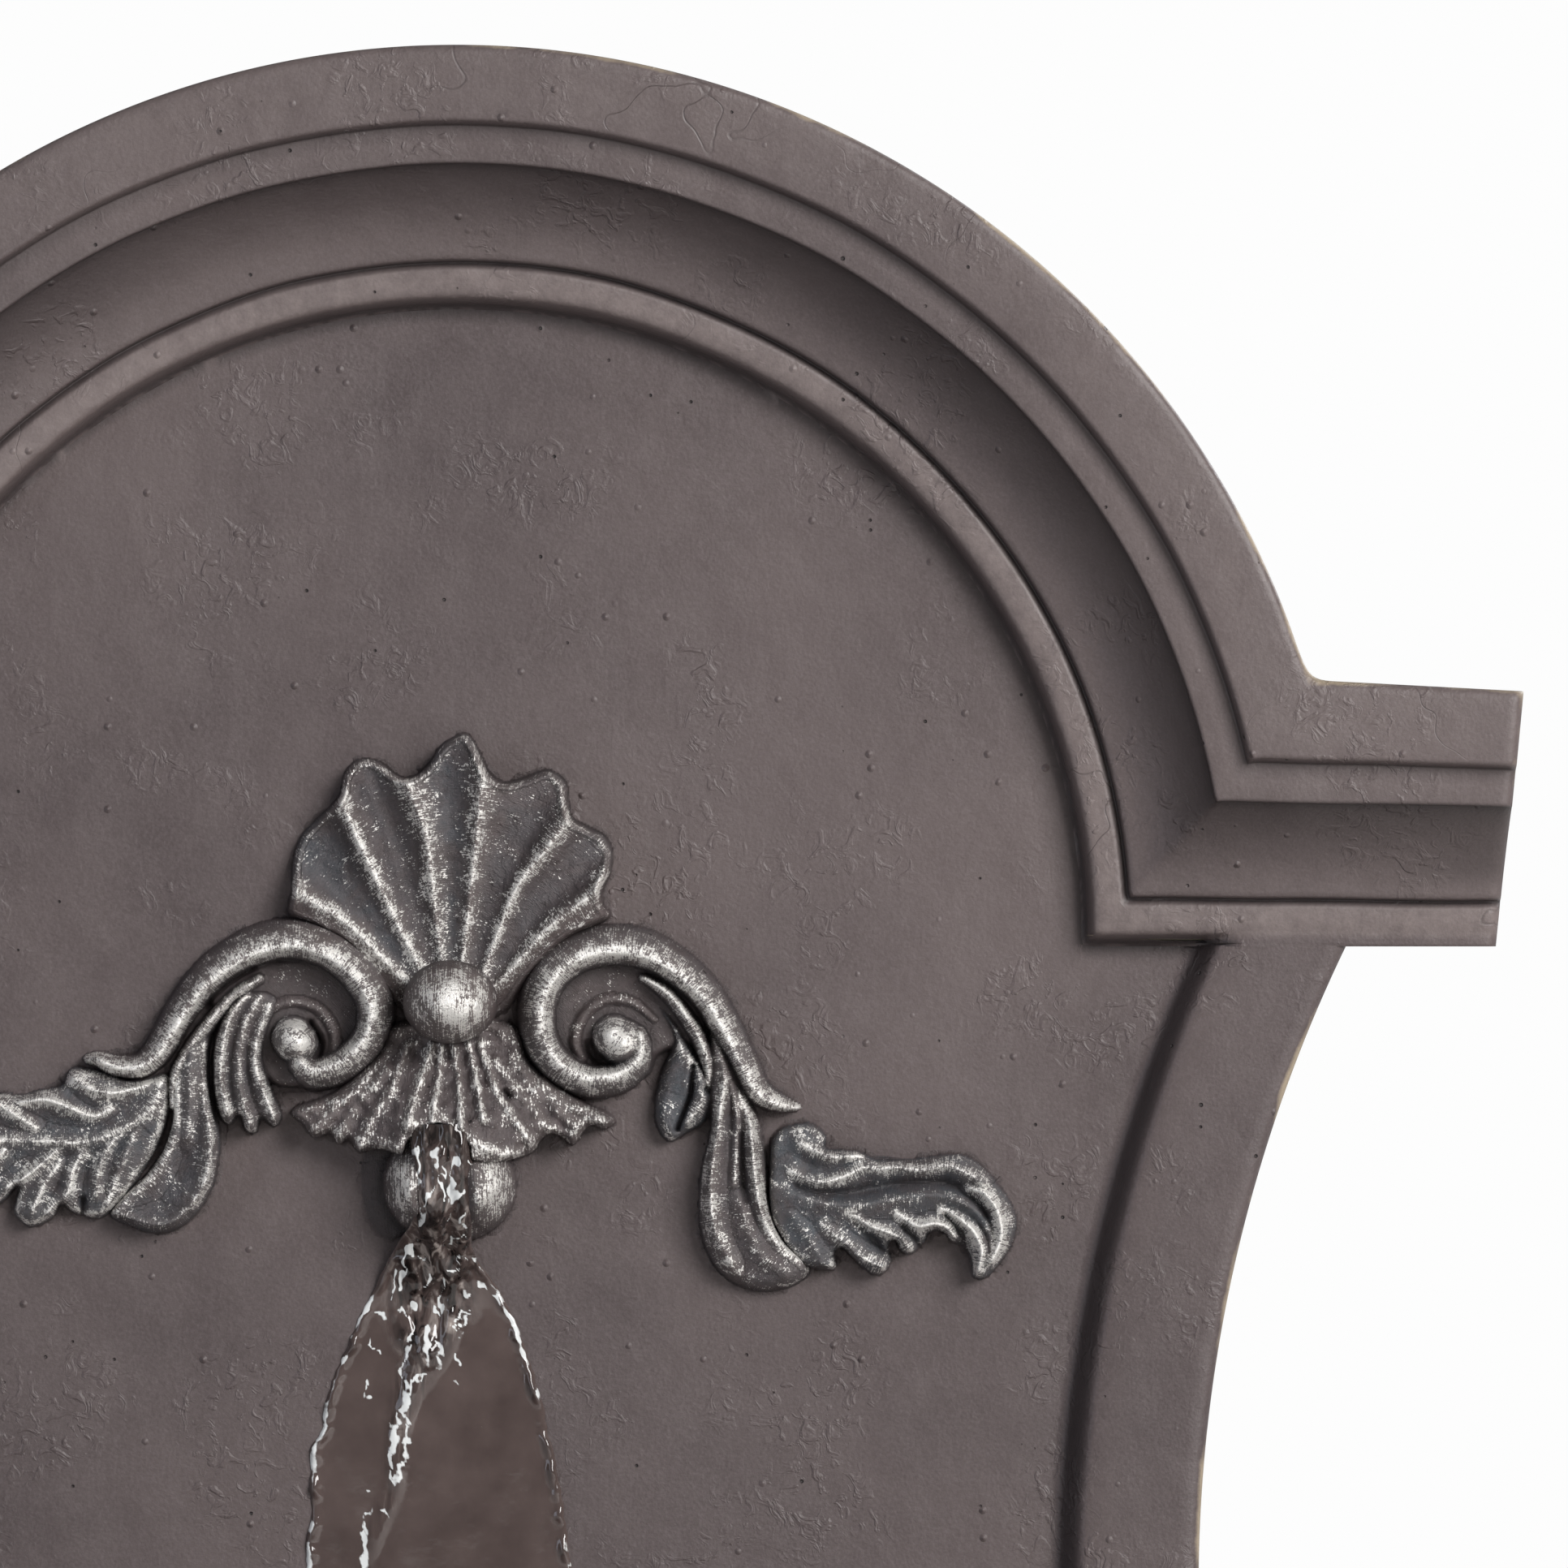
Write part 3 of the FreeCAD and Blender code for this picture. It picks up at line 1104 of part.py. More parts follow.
# Volute cover: chamber, inlet with a spoked bush seat and the outlet boss, sealed by a ring.
def make_volute_cover():
    x = s.spout_x
    back = -pump_front
    front = -cover_front
    block = box(x - s.cover_half, x + s.cover_half, front, back, pump_bottom, pump_top)
    boss_top = pump_top + s.outlet_boss_rise
    boss = rod("z", x, -outlet_y, pump_top - s.outlet_boss_rise, s.outlet_boss,
               s.outlet_boss_rise * 2)
    chamber_front = back - s.chamber_depth
    chamber = rod("y", x, chamber_front, rotor_level, s.chamber_radius, s.chamber_depth + OVERRUN)
    groove = cut(
        rod("y", x, back - s.ring_thickness * 2 - s.thread_gap * 2, rotor_level,
            s.ring_radius + s.ring_thickness + s.ring_groove, s.ring_thickness * 4),
        rod("y", x, back - s.ring_thickness * 4, rotor_level,
            s.ring_radius - s.ring_thickness - s.ring_groove, s.ring_thickness * 8))
    outlet = rod("z", x, -outlet_y, rotor_level, s.pipe_bore, boss_top - rotor_level + OVERRUN)
    socket = rod("z", x, -outlet_y, pump_top, s.outlet_socket + s.fit_gap,
                 s.outlet_boss_rise + OVERRUN)
    seat_radius = s.front_bush_radius + s.bush_seat_wall
    seat_length = chamber_front - front
    eye = rod("y", x, front - OVERRUN, rotor_level, s.inlet_radius, seat_length + OVERRUN * 2)
    seat = rod("y", x, front - OVERRUN * 2, rotor_level, seat_radius, seat_length + OVERRUN * 4)
    half = s.spoke_width / 2
    reach = s.inlet_radius + OVERRUN
    across = box(x - reach, x + reach, front - OVERRUN * 2, chamber_front + OVERRUN * 2,
                 rotor_level - half, rotor_level + half)
    upright = box(x - half, x + half, front - OVERRUN * 2, chamber_front + OVERRUN * 2,
                  rotor_level - reach, rotor_level + reach)
    inlet = cut(eye, seat, across, upright)
    bush_hole = rod("y", x, front - OVERRUN, rotor_level, s.front_bush_radius + s.thread_gap,
                    seat_length + OVERRUN * 2)
    finish("volute_cover", cut(join(block, boss), chamber, groove, outlet, socket, inlet,
                               bush_hole))

    bush = rod("y", x, front, rotor_level, s.front_bush_radius, seat_length)
    bush_bore = rod("y", x, front - OVERRUN, rotor_level, s.shaft_radius + s.shaft_clearance,
                    seat_length + OVERRUN * 2)
    finish("front_bush", cut(bush, bush_bore))

    ring = doc.addObject("Part::Torus", "ring")
    bind(ring, "Radius1", s.ring_radius)
    bind(ring, "Radius2", s.ring_thickness)
    place(ring, x, back - s.ring_thickness - s.thread_gap, rotor_level, TURNS["y"])
    finish("cover_o_ring", ring)

    stem = rod("z", x, -outlet_y, pump_top + s.fit_gap, s.outlet_socket, s.outlet_boss_rise)
    collar = rod("z", x, -outlet_y, boss_top, s.outlet_boss, s.adapter_collar)
    barb = rod("z", x, -outlet_y, boss_top, s.hose_bore - s.barb_gap,
               s.adapter_collar + s.adapter_barb)
    through = rod("z", x, -outlet_y, pump_top - OVERRUN, s.pipe_bore,
                  s.outlet_boss_rise + s.adapter_collar + s.adapter_barb + OVERRUN * 2)
    finish("outlet_adapter", cut(join(stem, collar, barb), through))


# Intake cover: slotted strainer in front of the inlet, with a turning flow regulator.
def make_intake():
    x = s.spout_x
    back = -cover_front
    front = -intake_front
    wall = s.intake_wall
    shell = box(x - s.cover_half, x + s.cover_half, front, back, pump_bottom, pump_top)
    room = box(x - s.cover_half + wall, x + s.cover_half - wall, front + wall, back + OVERRUN,
               pump_bottom + wall, pump_top - wall)
    dial_level = pump_top - s.regulator_radius - wall * 2
    slot_low = pump_bottom + wall * 2
    slot_high = dial_level - s.regulator_radius - wall
    slots = []
    count = math.floor((s.cover_half.number - wall.number * 2) / s.intake_slot_step.number)
    for number in range(-count, count + 1):
        middle = x + s.intake_slot_step * number
        slots.append(box(middle - s.intake_slot / 2, middle + s.intake_slot / 2, front - OVERRUN,
                         front + wall * 2, slot_low, slot_high))
    near = s.regulator_pin * 1.4
    far = s.regulator_radius * 0.68
    port = box(x + near, x + far, front - OVERRUN, front + wall * 2, dial_level + near,
               dial_level + far)
    pivot = rod("y", x, front - OVERRUN, dial_level, s.regulator_pin + s.regulator_clearance,
                wall * 2 + OVERRUN)
    finish("intake_cover", cut(shell, room, port, pivot, *slots))

    ease = s.regulator_clearance
    dial_back = front - ease
    dial_front = dial_back - s.regulator_depth
    dial = rod("y", x, dial_front, dial_level, s.regulator_radius, s.regulator_depth)
    window = box(x + near, x + far, dial_front - OVERRUN, dial_back + OVERRUN, dial_level + near,
                 dial_level + far)
    knob = rod("y", x - far * 0.7, dial_front - s.regulator_depth, dial_level - far * 0.7,
               s.regulator_knob, s.regulator_depth * 1.5)
    pin = rod("y", x, dial_front, dial_level, s.regulator_pin,
              s.regulator_depth + wall + ease * 3)
    catch = rod("y", x, front + wall + ease, dial_level, s.regulator_pin * 1.5, wall)
    finish("flow_regulator", join(cut(dial, window), knob, pin, catch))


# Carved ornament: separate castings bonded to the field.
def relief(name, corners, rise, slope=0):
    """A carved piece: its outline raised from the field with drafted sides."""
    body = new_body(name)
    flat = new_sketch(body, "XZ_Plane", s.field_front)
    outline(flat, corners)
    feature(body, "Pad", flat, Length=rise, TaperAngle=slope)
    return body


def ball(radius):
    solid = doc.addObject("Part::Sphere", "ball")
    bind(solid, "Radius", radius)
    place(solid, s.spout_x / 2, boss_y, s.boss_level)
    return solid


def boss_space():
    """The room that the other carvings leave for the ball and its foot."""
    foot = rod("y", s.spout_x / 2, boss_y, s.boss_level, s.boss_radius * 0.7 + s.bonding_gap,
               s.boss_rise + OVERRUN)
    return join(ball(s.boss_radius + s.bonding_gap), foot)


def make_boss():
    foot = rod("y", s.spout_x / 2, boss_y, s.boss_level, s.boss_radius * 0.7, s.boss_rise)
    finish("centre_boss", join(ball(s.boss_radius), foot))


def make_shell():
    lobe_angles = (-53, -24, 0, 24, 53)
    notch_angles = (-67, -37, -14, 14, 37, 67)
    lobe_reach = (0.86, 0.97, 1.0, 0.97, 0.86)
    notch_reach = (0.76, 0.88, 0.86, 0.86, 0.88, 0.76)
    corners = [(s.shell_foot * -1, s.shell_foot)]
    for index in range(len(notch_angles) - 1, -1, -1):
        turn = math.radians(notch_angles[index])
        u = s.shell_reach * (notch_reach[index] * math.sin(turn))
        v = s.shell_foot + s.shell_reach * (notch_reach[index] * math.cos(turn))
        if index == len(notch_angles) - 1:
            corners.append((u, v))
        else:
            corners.append((u, v, s.shell_reach * 0.26))
    corners.append((s.shell_foot, s.shell_foot))
    body = relief("shell_blank", corners, s.shell_rise)
    flutes = []
    for angle, reach in zip(lobe_angles, lobe_reach):
        flute = doc.addObject("Part::Cone", "flute")
        bind(flute, "Radius1", s.shell_flute / 8)
        bind(flute, "Radius2", s.shell_flute)
        bind(flute, "Height", s.shell_reach * (reach + 0.1))
        place(flute, 0, -(s.field_front + s.shell_rise), s.shell_foot,
              Rotation(Vector(0, 1, 0), angle))
        flutes.append(flute)
    finish("shell_crest", cut(body, boss_space(), *flutes))


def make_scrolls():
    reach = s.scroll_reach
    drop = s.scroll_drop
    volute = 0.25
    right = [
        (0.17, 0.25), (0.37, 0.50, volute), (0.53, 0.45), (0.60, 0.61), (0.71, 0.49),
        (0.72, 0.74), (0.77, 0.95), (0.88, 1.00), (0.985, 0.95), (0.88, 0.72), (0.84, 0.51),
        (0.96, 0.50), (0.81, 0.33), (0.65, 0.10, 0.60), (0.46, 0.02, 0.40),
    ]
    left = [
        (-0.20, 0.25), (-0.47, 0.03, volute), (-0.67, 0.12, 0.40), (-0.82, 0.29, 0.60),
        (-1.03, 0.35), (-0.86, 0.40), (-0.82, 0.51), (-0.95, 0.74), (-0.98, 0.81),
        (-0.86, 0.86), (-0.76, 0.82), (-0.70, 0.61), (-0.67, 0.46), (-0.60, 0.56),
        (-0.53, 0.54), (-0.47, 0.48),
    ]
    for name, corners, eye in (("right_scroll", right, 0.42), ("left_scroll", left, -0.45)):
        placed = []
        for index, corner in enumerate(corners):
            point = (reach * corner[0], drop * -corner[1])
            if len(corner) == 3:
                point = point + (reach * corner[2],)
            elif index == 0:
                point = point + (reach * volute,)
            placed.append(point)
        body = relief(name, placed, s.scroll_rise)
        crease = new_sketch(body, "XZ_Plane", s.field_front + s.scroll_rise)
        circle(crease, reach * eye, drop * -0.26, reach * 0.16)
        circle(crease, reach * eye, drop * -0.26, reach * 0.10)
        feature(body, "Pocket", crease, Length=s.scroll_crease)
        finish(name, body)


def make_sprays():
    reach = s.spray_reach
    drop = s.spray_drop
    right = [
        (0.64, 0.56), (0.65, 0.97), (0.69, 0.98), (0.71, 0.92), (0.76, 1.00), (0.79, 0.91),
        (0.85, 0.88), (0.92, 0.91), (0.95, 1.00), (1.00, 0.84), (0.98, 0.71), (0.93, 0.65),
        (0.83, 0.67), (0.72, 0.63),
    ]
    left = [
        (-0.68, 0.44), (-0.74, 0.46), (-0.84, 0.48), (-0.93, 0.51), (-0.99, 0.60),
        (-1.00, 0.72), (-0.95, 0.84), (-0.90, 0.77), (-0.83, 0.76), (-0.80, 0.82),
        (-0.76, 0.84), (-0.74, 0.79), (-0.69, 0.82), (-0.66, 0.82),
    ]
    for name, corners in (("right_leaf_spray", right), ("left_leaf_spray", left)):
        placed = [(reach * u, drop * -v) for u, v in corners]
        finish(name, relief(name, placed, s.spray_rise))


def make_apron():
    half = s.apron_half
    x = s.spout_x
    mouth = s.spout_level - s.mouth_drop
    drop = s.apron_top - mouth
    fractions = [
        (-0.35, 0.00), (-0.62, 0.54), (-1.20, 0.58), (-1.05, 0.83), (-0.42, 1.00), (0.42, 1.00),
        (1.10, 1.00), (1.15, 0.71), (0.62, 0.54), (0.35, 0.00),
    ]
    corners = [(x + half * across, s.apron_top - drop * down) for across, down in fractions]
    body = relief("apron_blank", corners, s.apron_rise)
    channel = rod("y", x, -(s.field_front + s.apron_rise * 2), s.spout_level, spout_channel,
                  s.apron_rise * 3)
    finish("spout_apron", cut(body, channel, boss_space()))


def make_lip():
    x = s.spout_x
    mouth = s.spout_level - s.mouth_drop
    half_height = (s.lip_top - s.lip_foot) / 2
    bulb = doc.addObject("Part::Ellipsoid", "bulb")
    bind(bulb, "Radius1", half_height)
    bind(bulb, "Radius2", s.lip_half)
    bind(bulb, "Radius3", s.lip_rise)
    bulb.Angle1 = -90
    bulb.Angle2 = 90
    bulb.Angle3 = 360
    place(bulb, x, -s.field_front, s.lip_foot + half_height)
    behind = box(x - s.lip_half * 2, x + s.lip_half * 2, -s.field_front, s.lip_rise,
                 s.lip_foot * 2, 0)
    above = box(x - s.lip_half * 2, x + s.lip_half * 2,
                -(s.field_front + s.apron_rise + s.bonding_gap), 0, mouth - s.bonding_gap, 0)
    channel = rod("y", x, -(s.field_front + s.lip_rise * 2), s.spout_level, spout_channel,
                  s.lip_rise * 3)
    finish("spout_lip", cut(bulb, behind, above, channel))


for make in (make_back_panel, make_basin, make_basin_gasket, make_basin_fixings, make_drain_plug,
             make_hangers, make_fittings, make_grommets, make_hoses, make_hose_clips,
             make_pump_housing, make_stator, make_rotor, make_volute_cover, make_intake,
             make_boss, make_shell, make_scrolls, make_sprays, make_apron, make_lip):
    make()

doc.recompute()

# Every object has to have worked before anything is written.
for thing in doc.Objects:
    if "Invalid" in thing.State or "Error" in thing.State:
        raise RuntimeError("%s (%s) failed" % (thing.Name, thing.TypeId))
for name, thing in parts.items():
    if thing.Shape.isNull() or not thing.Shape.isValid() or not thing.Shape.Solids:
        raise RuntimeError("%s has no valid solid" % name)

os.makedirs("parts", exist_ok=True)
for name, thing in parts.items():
    thing.Shape.exportStep("parts/%s.step" % name)
print("%d sub-parts written" % len(parts))
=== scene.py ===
import math

import bmesh
import bpy
import numpy as np
from mathutils import Matrix, Vector, noise
from mathutils.bvhtree import BVHTree


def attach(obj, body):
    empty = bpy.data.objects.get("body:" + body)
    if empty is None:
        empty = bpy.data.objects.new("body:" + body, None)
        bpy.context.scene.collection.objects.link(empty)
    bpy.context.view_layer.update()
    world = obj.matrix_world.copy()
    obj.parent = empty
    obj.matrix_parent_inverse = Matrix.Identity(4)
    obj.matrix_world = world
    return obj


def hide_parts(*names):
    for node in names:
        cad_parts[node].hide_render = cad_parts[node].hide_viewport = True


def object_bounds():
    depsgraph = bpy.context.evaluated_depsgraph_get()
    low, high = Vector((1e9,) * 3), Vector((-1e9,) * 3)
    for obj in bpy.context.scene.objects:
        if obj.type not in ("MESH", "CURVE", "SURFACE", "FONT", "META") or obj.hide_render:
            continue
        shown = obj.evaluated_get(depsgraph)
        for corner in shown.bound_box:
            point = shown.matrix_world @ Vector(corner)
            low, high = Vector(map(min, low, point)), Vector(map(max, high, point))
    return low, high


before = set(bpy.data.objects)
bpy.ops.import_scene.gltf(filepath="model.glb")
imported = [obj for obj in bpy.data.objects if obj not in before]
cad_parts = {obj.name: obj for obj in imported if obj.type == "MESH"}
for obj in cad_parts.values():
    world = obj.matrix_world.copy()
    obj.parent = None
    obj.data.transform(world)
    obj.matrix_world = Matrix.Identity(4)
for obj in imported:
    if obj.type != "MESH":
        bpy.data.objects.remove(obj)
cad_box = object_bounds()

MM = 0.001

# The studio: a pale floor under the fountain's foot and a pale surround, with one large soft lamp
# high on the right and a weak one on the left, which leaves the steps of the moulding their
# shadows. The camera stands far off and level with the arch, so that the face shows square on.
camera = bpy.data.objects.new("camera", bpy.data.cameras.new("camera"))
bpy.context.scene.collection.objects.link(camera)
bpy.context.scene.camera = camera
camera_distance = 5.0
view_width = 386.4 * MM
camera.data.sensor_width = 36.0
camera.data.lens = camera.data.sensor_width * camera_distance / view_width
view_x, view_y, view_z = 80.6 * MM, -50 * MM, 36.8 * MM
camera.location = (view_x, view_y - camera_distance, view_z)
camera.rotation_euler = (math.radians(90), 0, 0)
camera.data.clip_end = 100.0
bpy.context.scene.view_settings.view_transform = "Standard"


def linear(hex_colour):
    """An sRGB hex colour as linear red, green, blue and alpha."""
    channels = [int(hex_colour[index:index + 2], 16) / 255 for index in (1, 3, 5)]
    return tuple(c / 12.92 if c < 0.04045 else ((c + 0.055) / 1.055) ** 2.4 for c in channels) + (1.0,)


def feed(tree, node, links):
    """Feeds a node's sockets with values or with the outputs of other nodes."""
    for socket, value in links.items():
        if isinstance(value, bpy.types.NodeSocket):
            tree.links.new(value, node.inputs[socket])
        else:
            node.inputs[socket].default_value = value


def add(tree, kind, links=None, **settings):
    """Adds a shader node with its settings and links, and returns its outputs."""
    node = tree.nodes.new("ShaderNode" + kind)
    for name, value in settings.items():
        setattr(node, name, value)
    feed(tree, node, links or {})
    return node.outputs


def new_material(name):
    """A material with a Principled shader; returns it with its tree and shader."""
    material = bpy.data.materials.new(name)
    material.use_nodes = True
    return material, material.node_tree, material.node_tree.nodes["Principled BSDF"]


def lamp(name, place, aim, width, height, power, tint):
    """A rectangular soft box that faces a point."""
    light = bpy.data.lights.new(name, "AREA")
    light.shape = "RECTANGLE"
    light.size = width
    light.size_y = height
    light.energy = power
    light.color = linear(tint)[:3]
    holder = bpy.data.objects.new(name, light)
    holder.location = place
    holder.rotation_euler = (Vector(aim) - Vector(place)).to_track_quat("-Z", "Y").to_euler()
    holder.visible_camera = False
    bpy.context.scene.collection.objects.link(holder)


ornament_centre = (0.02, -0.04, -0.02)
lamp("key", (1.95, -2.5, 1.3), ornament_centre, 1.5, 1.5, 140, "#fffdfc")
lamp("fill", (-1.9, -1.5, 0.35), ornament_centre, 0.7, 1.8, 9, "#e6eeff")
lamp("back", (2.0, 2.6, 1.5), ornament_centre, 1.6, 1.6, 60, "#f6f8fb")

surround = bpy.data.worlds.new("surround")
bpy.context.scene.world = surround
surround.use_nodes = True
air = surround.node_tree
seen = add(air, "LightPath")
brightness = add(air, "Math", {0: seen["Is Camera Ray"], 1: 0.86, 2: 0.14}, operation="MULTIPLY_ADD")
feed(air, air.nodes["Background"], {"Strength": brightness[0], "Color": linear("#fdfdfd")})


def new_piece(name, mesh, material, body="fountain"):
    """Turns a bmesh into an object at the origin that rides on a body."""
    data = bpy.data.meshes.new(name)
    mesh.to_mesh(data)
    mesh.free()
    data.shade_smooth()
    data.materials.append(material)
    piece = bpy.data.objects.new(name, data)
    bpy.context.scene.collection.objects.link(piece)
    if body:
        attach(piece, body)
    return piece


floor_paint, tree, shader = new_material("pale_floor_paint")
feed(tree, shader, {"Base Color": linear("#e9e7e4"), "Roughness": 0.7})
slab = bmesh.new()
under_foot = Matrix.Translation((0, 0, cad_box[0].z - 1 * MM))
bmesh.ops.create_grid(slab, x_segments=8, y_segments=8, size=6.0, matrix=under_foot)
floor = new_piece("floor", slab, floor_paint, body=None)


# Back panel: reconstituted stone, rammed into a mould in one piece with its arch moulding,
# shoulders and waist strips, then brushed with a dark taupe antique paint. The paint pools dark
# in the steps, painted shade deepens them and the foot of the moulding and strips, and the paint
# rubs off to beige stone on the outer edges.
arch_radius = 218.5
shoulder_top = 61.0
shoulder_end = 262.4
shoulder_lean = 6.0
shoulder_fall = 1.4
waist_level = -162.0
waist_reach = 183.0
waist_radius = 364.5
strip_waist = 149.0
strip_radius = 385.0
strip_round = 15.0
strip_face = 41.5
strip_lap = 0.8
strip_bevel = 6.0
strip_foot = -252.0
ear_level = -321.0
foot_level = -480.0
foot_reach = 40.0
foot_radius = 190.0
field_front = 32.0
front_face = 66.0
moulding_width = 64.3
edge_round = 2.6


def cast_paint(name, silvered):
    """Dark taupe antique paint on cast stone, brushed with silver where a piece is carved.

    Slow drifts and a finer mottle keep the taupe from looking flat. Dark paint pooled in the hollows,
    deepened with painted shade, and a paler dusting on the proud faces draw the steps, and grit,
    wrinkles, sags, pits and lumps under the satin coat make it read as brushed by hand over rough
    stone. The wrinkles and pits are darkened with painted shade, and on carved pieces a painted sheen
    gives the thin silver grey mid-tones.
    """
    material, tree, shader = new_material(name)
    place = add(tree, "TexCoord")["Object"]
    marks = ["recess", "worn", "dusted"]
    # Each noise with its size in millimetres, detail, roughness and distortion.
    noises = [
        ("drift", 95, 2, 0.55, 0), ("mottle", 14, 5, 0.65, 0), ("grit", 0.9, 2, 0.7, 0),
        ("chalk", 4, 4, 0.7, 0), ("rubbing", 45, 3, 0.55, 0), ("wander", 46, 3, 0.45, 0),
        ("creased", 60, 1, 0.55, 0), ("crowd", 28, 1, 0.55, 0), ("swell", 15, 4, 0.55, 0),
        ("sag", 5, 3, 0.55, 1.2), ("sagging", 34, 1, 0.55, 0), ("grain", 0.8, 3, 0.55, 0)]
    # Each fade with what it is made from, the range it reads and the range it gives.
    fades = [
        ("drift", "drift", 0.3, 0.7, 0, 1), ("mottle", "mottle", 0.35, 0.75, 0, 0.35),
        ("grit", "grit", 0.4, 0.75, 0, 0.22), ("chalk", "chalk", 0.35, 0.65, 0.6, 1.3),
        ("rubbing", "rubbing", 0.42, 0.62, 0.35, 1), ("proud", "dusted", 0.05, 0.1, 0, 1),
        ("creased", "creased", 0.5, 0.6, 0, 1), ("crowd", "crowd", 0.42, 0.62, 0, 1),
        ("sag", "sag", 0.52, 0.66, 0, 1), ("sagging", "sagging", 0.5, 0.62, 0, 1),
        ("satin", "mottle", 0.3, 0.8, 0.46, 0.6)]
    if silvered:
        marks += ["silver", "cool", "run", "off"]
        noises += [
            ("ash", 8, 3, 0.55, 0.6), ("umber", 5, 3, 0.55, 0), ("patch", 4, 2, 0.55, 0),
            ("speck", 0.7, 3, 0.8, 0)]
        fades += [("ash", "ash", 0.3, 0.6, 0.35, 1), ("umber", "umber", 0.5, 0.7, 0.1, 0.6),
                  ("brushed", "silver", -0.4, 0.8, 0, 0.55), ("patch", "patch", 0.35, 0.65, 0.5, 1)]
    field = {}
    for mark in marks:
        field[mark] = add(tree, "Attribute", attribute_name=mark)["Fac"]
    for key, size, detail, rough, warp in noises:
        field[key] = add(tree, "TexNoise", {"Vector": place, "Scale": 1 / (size * MM), "Detail": detail,
                                            "Roughness": rough, "Distortion": warp})["Fac"]
    fade = {}
    for key, source, low, high, start, end in fades:
        fade[key] = add(tree, "MapRange", {"Value": field[source], "From Min": low, "From Max": high,
                                           "To Min": start, "To Max": end})["Result"]

    # Wrinkles of the paint skin: hairlines where a slow noise passes its middle, on the proud faces.
    crossing = add(tree, "Math", {0: field["wander"], 1: 0.5}, operation="SUBTRACT")[0]
    crossing = add(tree, "Math", {0: crossing}, operation="ABSOLUTE")[0]
    hairline = add(tree, "MapRange", {"Value": crossing, "From Max": 0.003, "To Min": 1.0, "To Max": 0.0})[0]
    # Pits and lumps: cells of 3.4 mm, of which a few hold an air hole or a speck of grit.
    cells = add(tree, "TexVoronoi", {"Vector": place, "Scale": 1 / (3.4 * MM)})
    draw = add(tree, "SeparateColor", {"Color": cells["Color"]})
    pit_size = add(tree, "MapRange", {"Value": draw["Green"], "To Min": 0.05, "To Max": 0.2})[0]
    pit_reach = add(tree, "Math", {0: cells["Distance"], 1: pit_size}, operation="DIVIDE")[0]
    pit_shape = add(tree, "MapRange", {"Value": pit_reach, "From Min": 0.5, "To Min": 1.0, "To Max": 0.0})[0]
    pit_draw = add(tree, "Math", {0: fade["crowd"], 1: 0.09, 2: draw["Red"]}, operation="MULTIPLY_ADD")[0]
    pit_chosen = add(tree, "MapRange", {"Value": pit_draw, "From Min": 0.995, "From Max": 1.01})[0]
    lump_shape = add(tree, "MapRange", {"Value": cells["Distance"], "From Max": 0.3, "To Min": 1.0,
                                        "To Max": 0.0})[0]
    lump_chosen = add(tree, "MapRange", {"Value": draw["Blue"], "From Min": 0.965, "From Max": 0.975})[0]

    products = [
        ("dust", field["dusted"], fade["chalk"]), ("shadow", field["recess"], 0.88),
        ("rubbed", field["worn"], fade["rubbing"]), ("wrinkle", hairline, fade["proud"]),
        ("pit", pit_shape, pit_chosen), ("lump", lump_shape, lump_chosen),
        ("sags", fade["sag"], fade["sagging"])]
    if silvered:
        products += [("ash", field["cool"], fade["ash"]), ("silver_and_painted_sheen", fade["brushed"], fade["patch"]),
                     ("along", field["run"], 1 / 0.3), ("aside", field["off"], 1 / 2.4)]
    share = {}
    for key, first, second in products:
        share[key] = add(tree, "Math", {0: first, 1: second}, operation="MULTIPLY")[0]
    wrinkle = add(tree, "Math", {0: share["wrinkle"], 1: fade["creased"]}, operation="MULTIPLY")[0]
    # A faint painted shade darkens the wrinkles, and a deep one the pits.
    wrinkle_painted_shade = add(tree, "Math", {0: wrinkle, 1: 0.3}, operation="MULTIPLY")[0]
    pit_painted_shade = add(tree, "Math", {0: share["pit"], 1: 0.85}, operation="MULTIPLY")[0]
    bare = add(tree, "Math", {0: field["mottle"], 1: 0.9, 2: share["rubbed"]}, operation="MULTIPLY_ADD")[0]
    bare = add(tree, "MapRange", {"Value": bare, "From Min": 0.95, "From Max": 1.25, "To Max": 0.7})[0]
    skin = add(tree, "Math", {0: wrinkle, 1: -0.6, 2: share["sags"]}, operation="MULTIPLY_ADD")[0]
    grit_relief = add(tree, "Math", {0: share["lump"], 1: share["pit"]}, operation="SUBTRACT")[0]

    # The coats, from the ground colour up, and the reliefs with their heights in millimetres.
    # The dark coat from the dark wash mark lays pooled paint together with painted shade in the hollows and
    # round the carvings' feet.
    coats = [(fade["drift"], "#554b4a"), (fade["mottle"], "#5a504f")]
    if silvered:
        # Thin silver shows as grey here, with a painted sheen standing in for its metallic shine.
        coats += [(share["ash"], "#40474d"), (fade["umber"], "#352c2b"), (share["silver_and_painted_sheen"], "#89837f")]
    coats += [
        (fade["grit"], "#72676a"), (share["dust"], "#857a77"), (share["shadow"], "#211b1c"),
        (bare, "#a3957f"), (wrinkle_painted_shade, "#2a2424"), (pit_painted_shade, "#1d1919")]
    reliefs = [(field["swell"], 0.7), (skin, 0.22), (field["grain"], 0.11), (grit_relief, 0.7)]
    gloss = fade["satin"]
    if silvered:
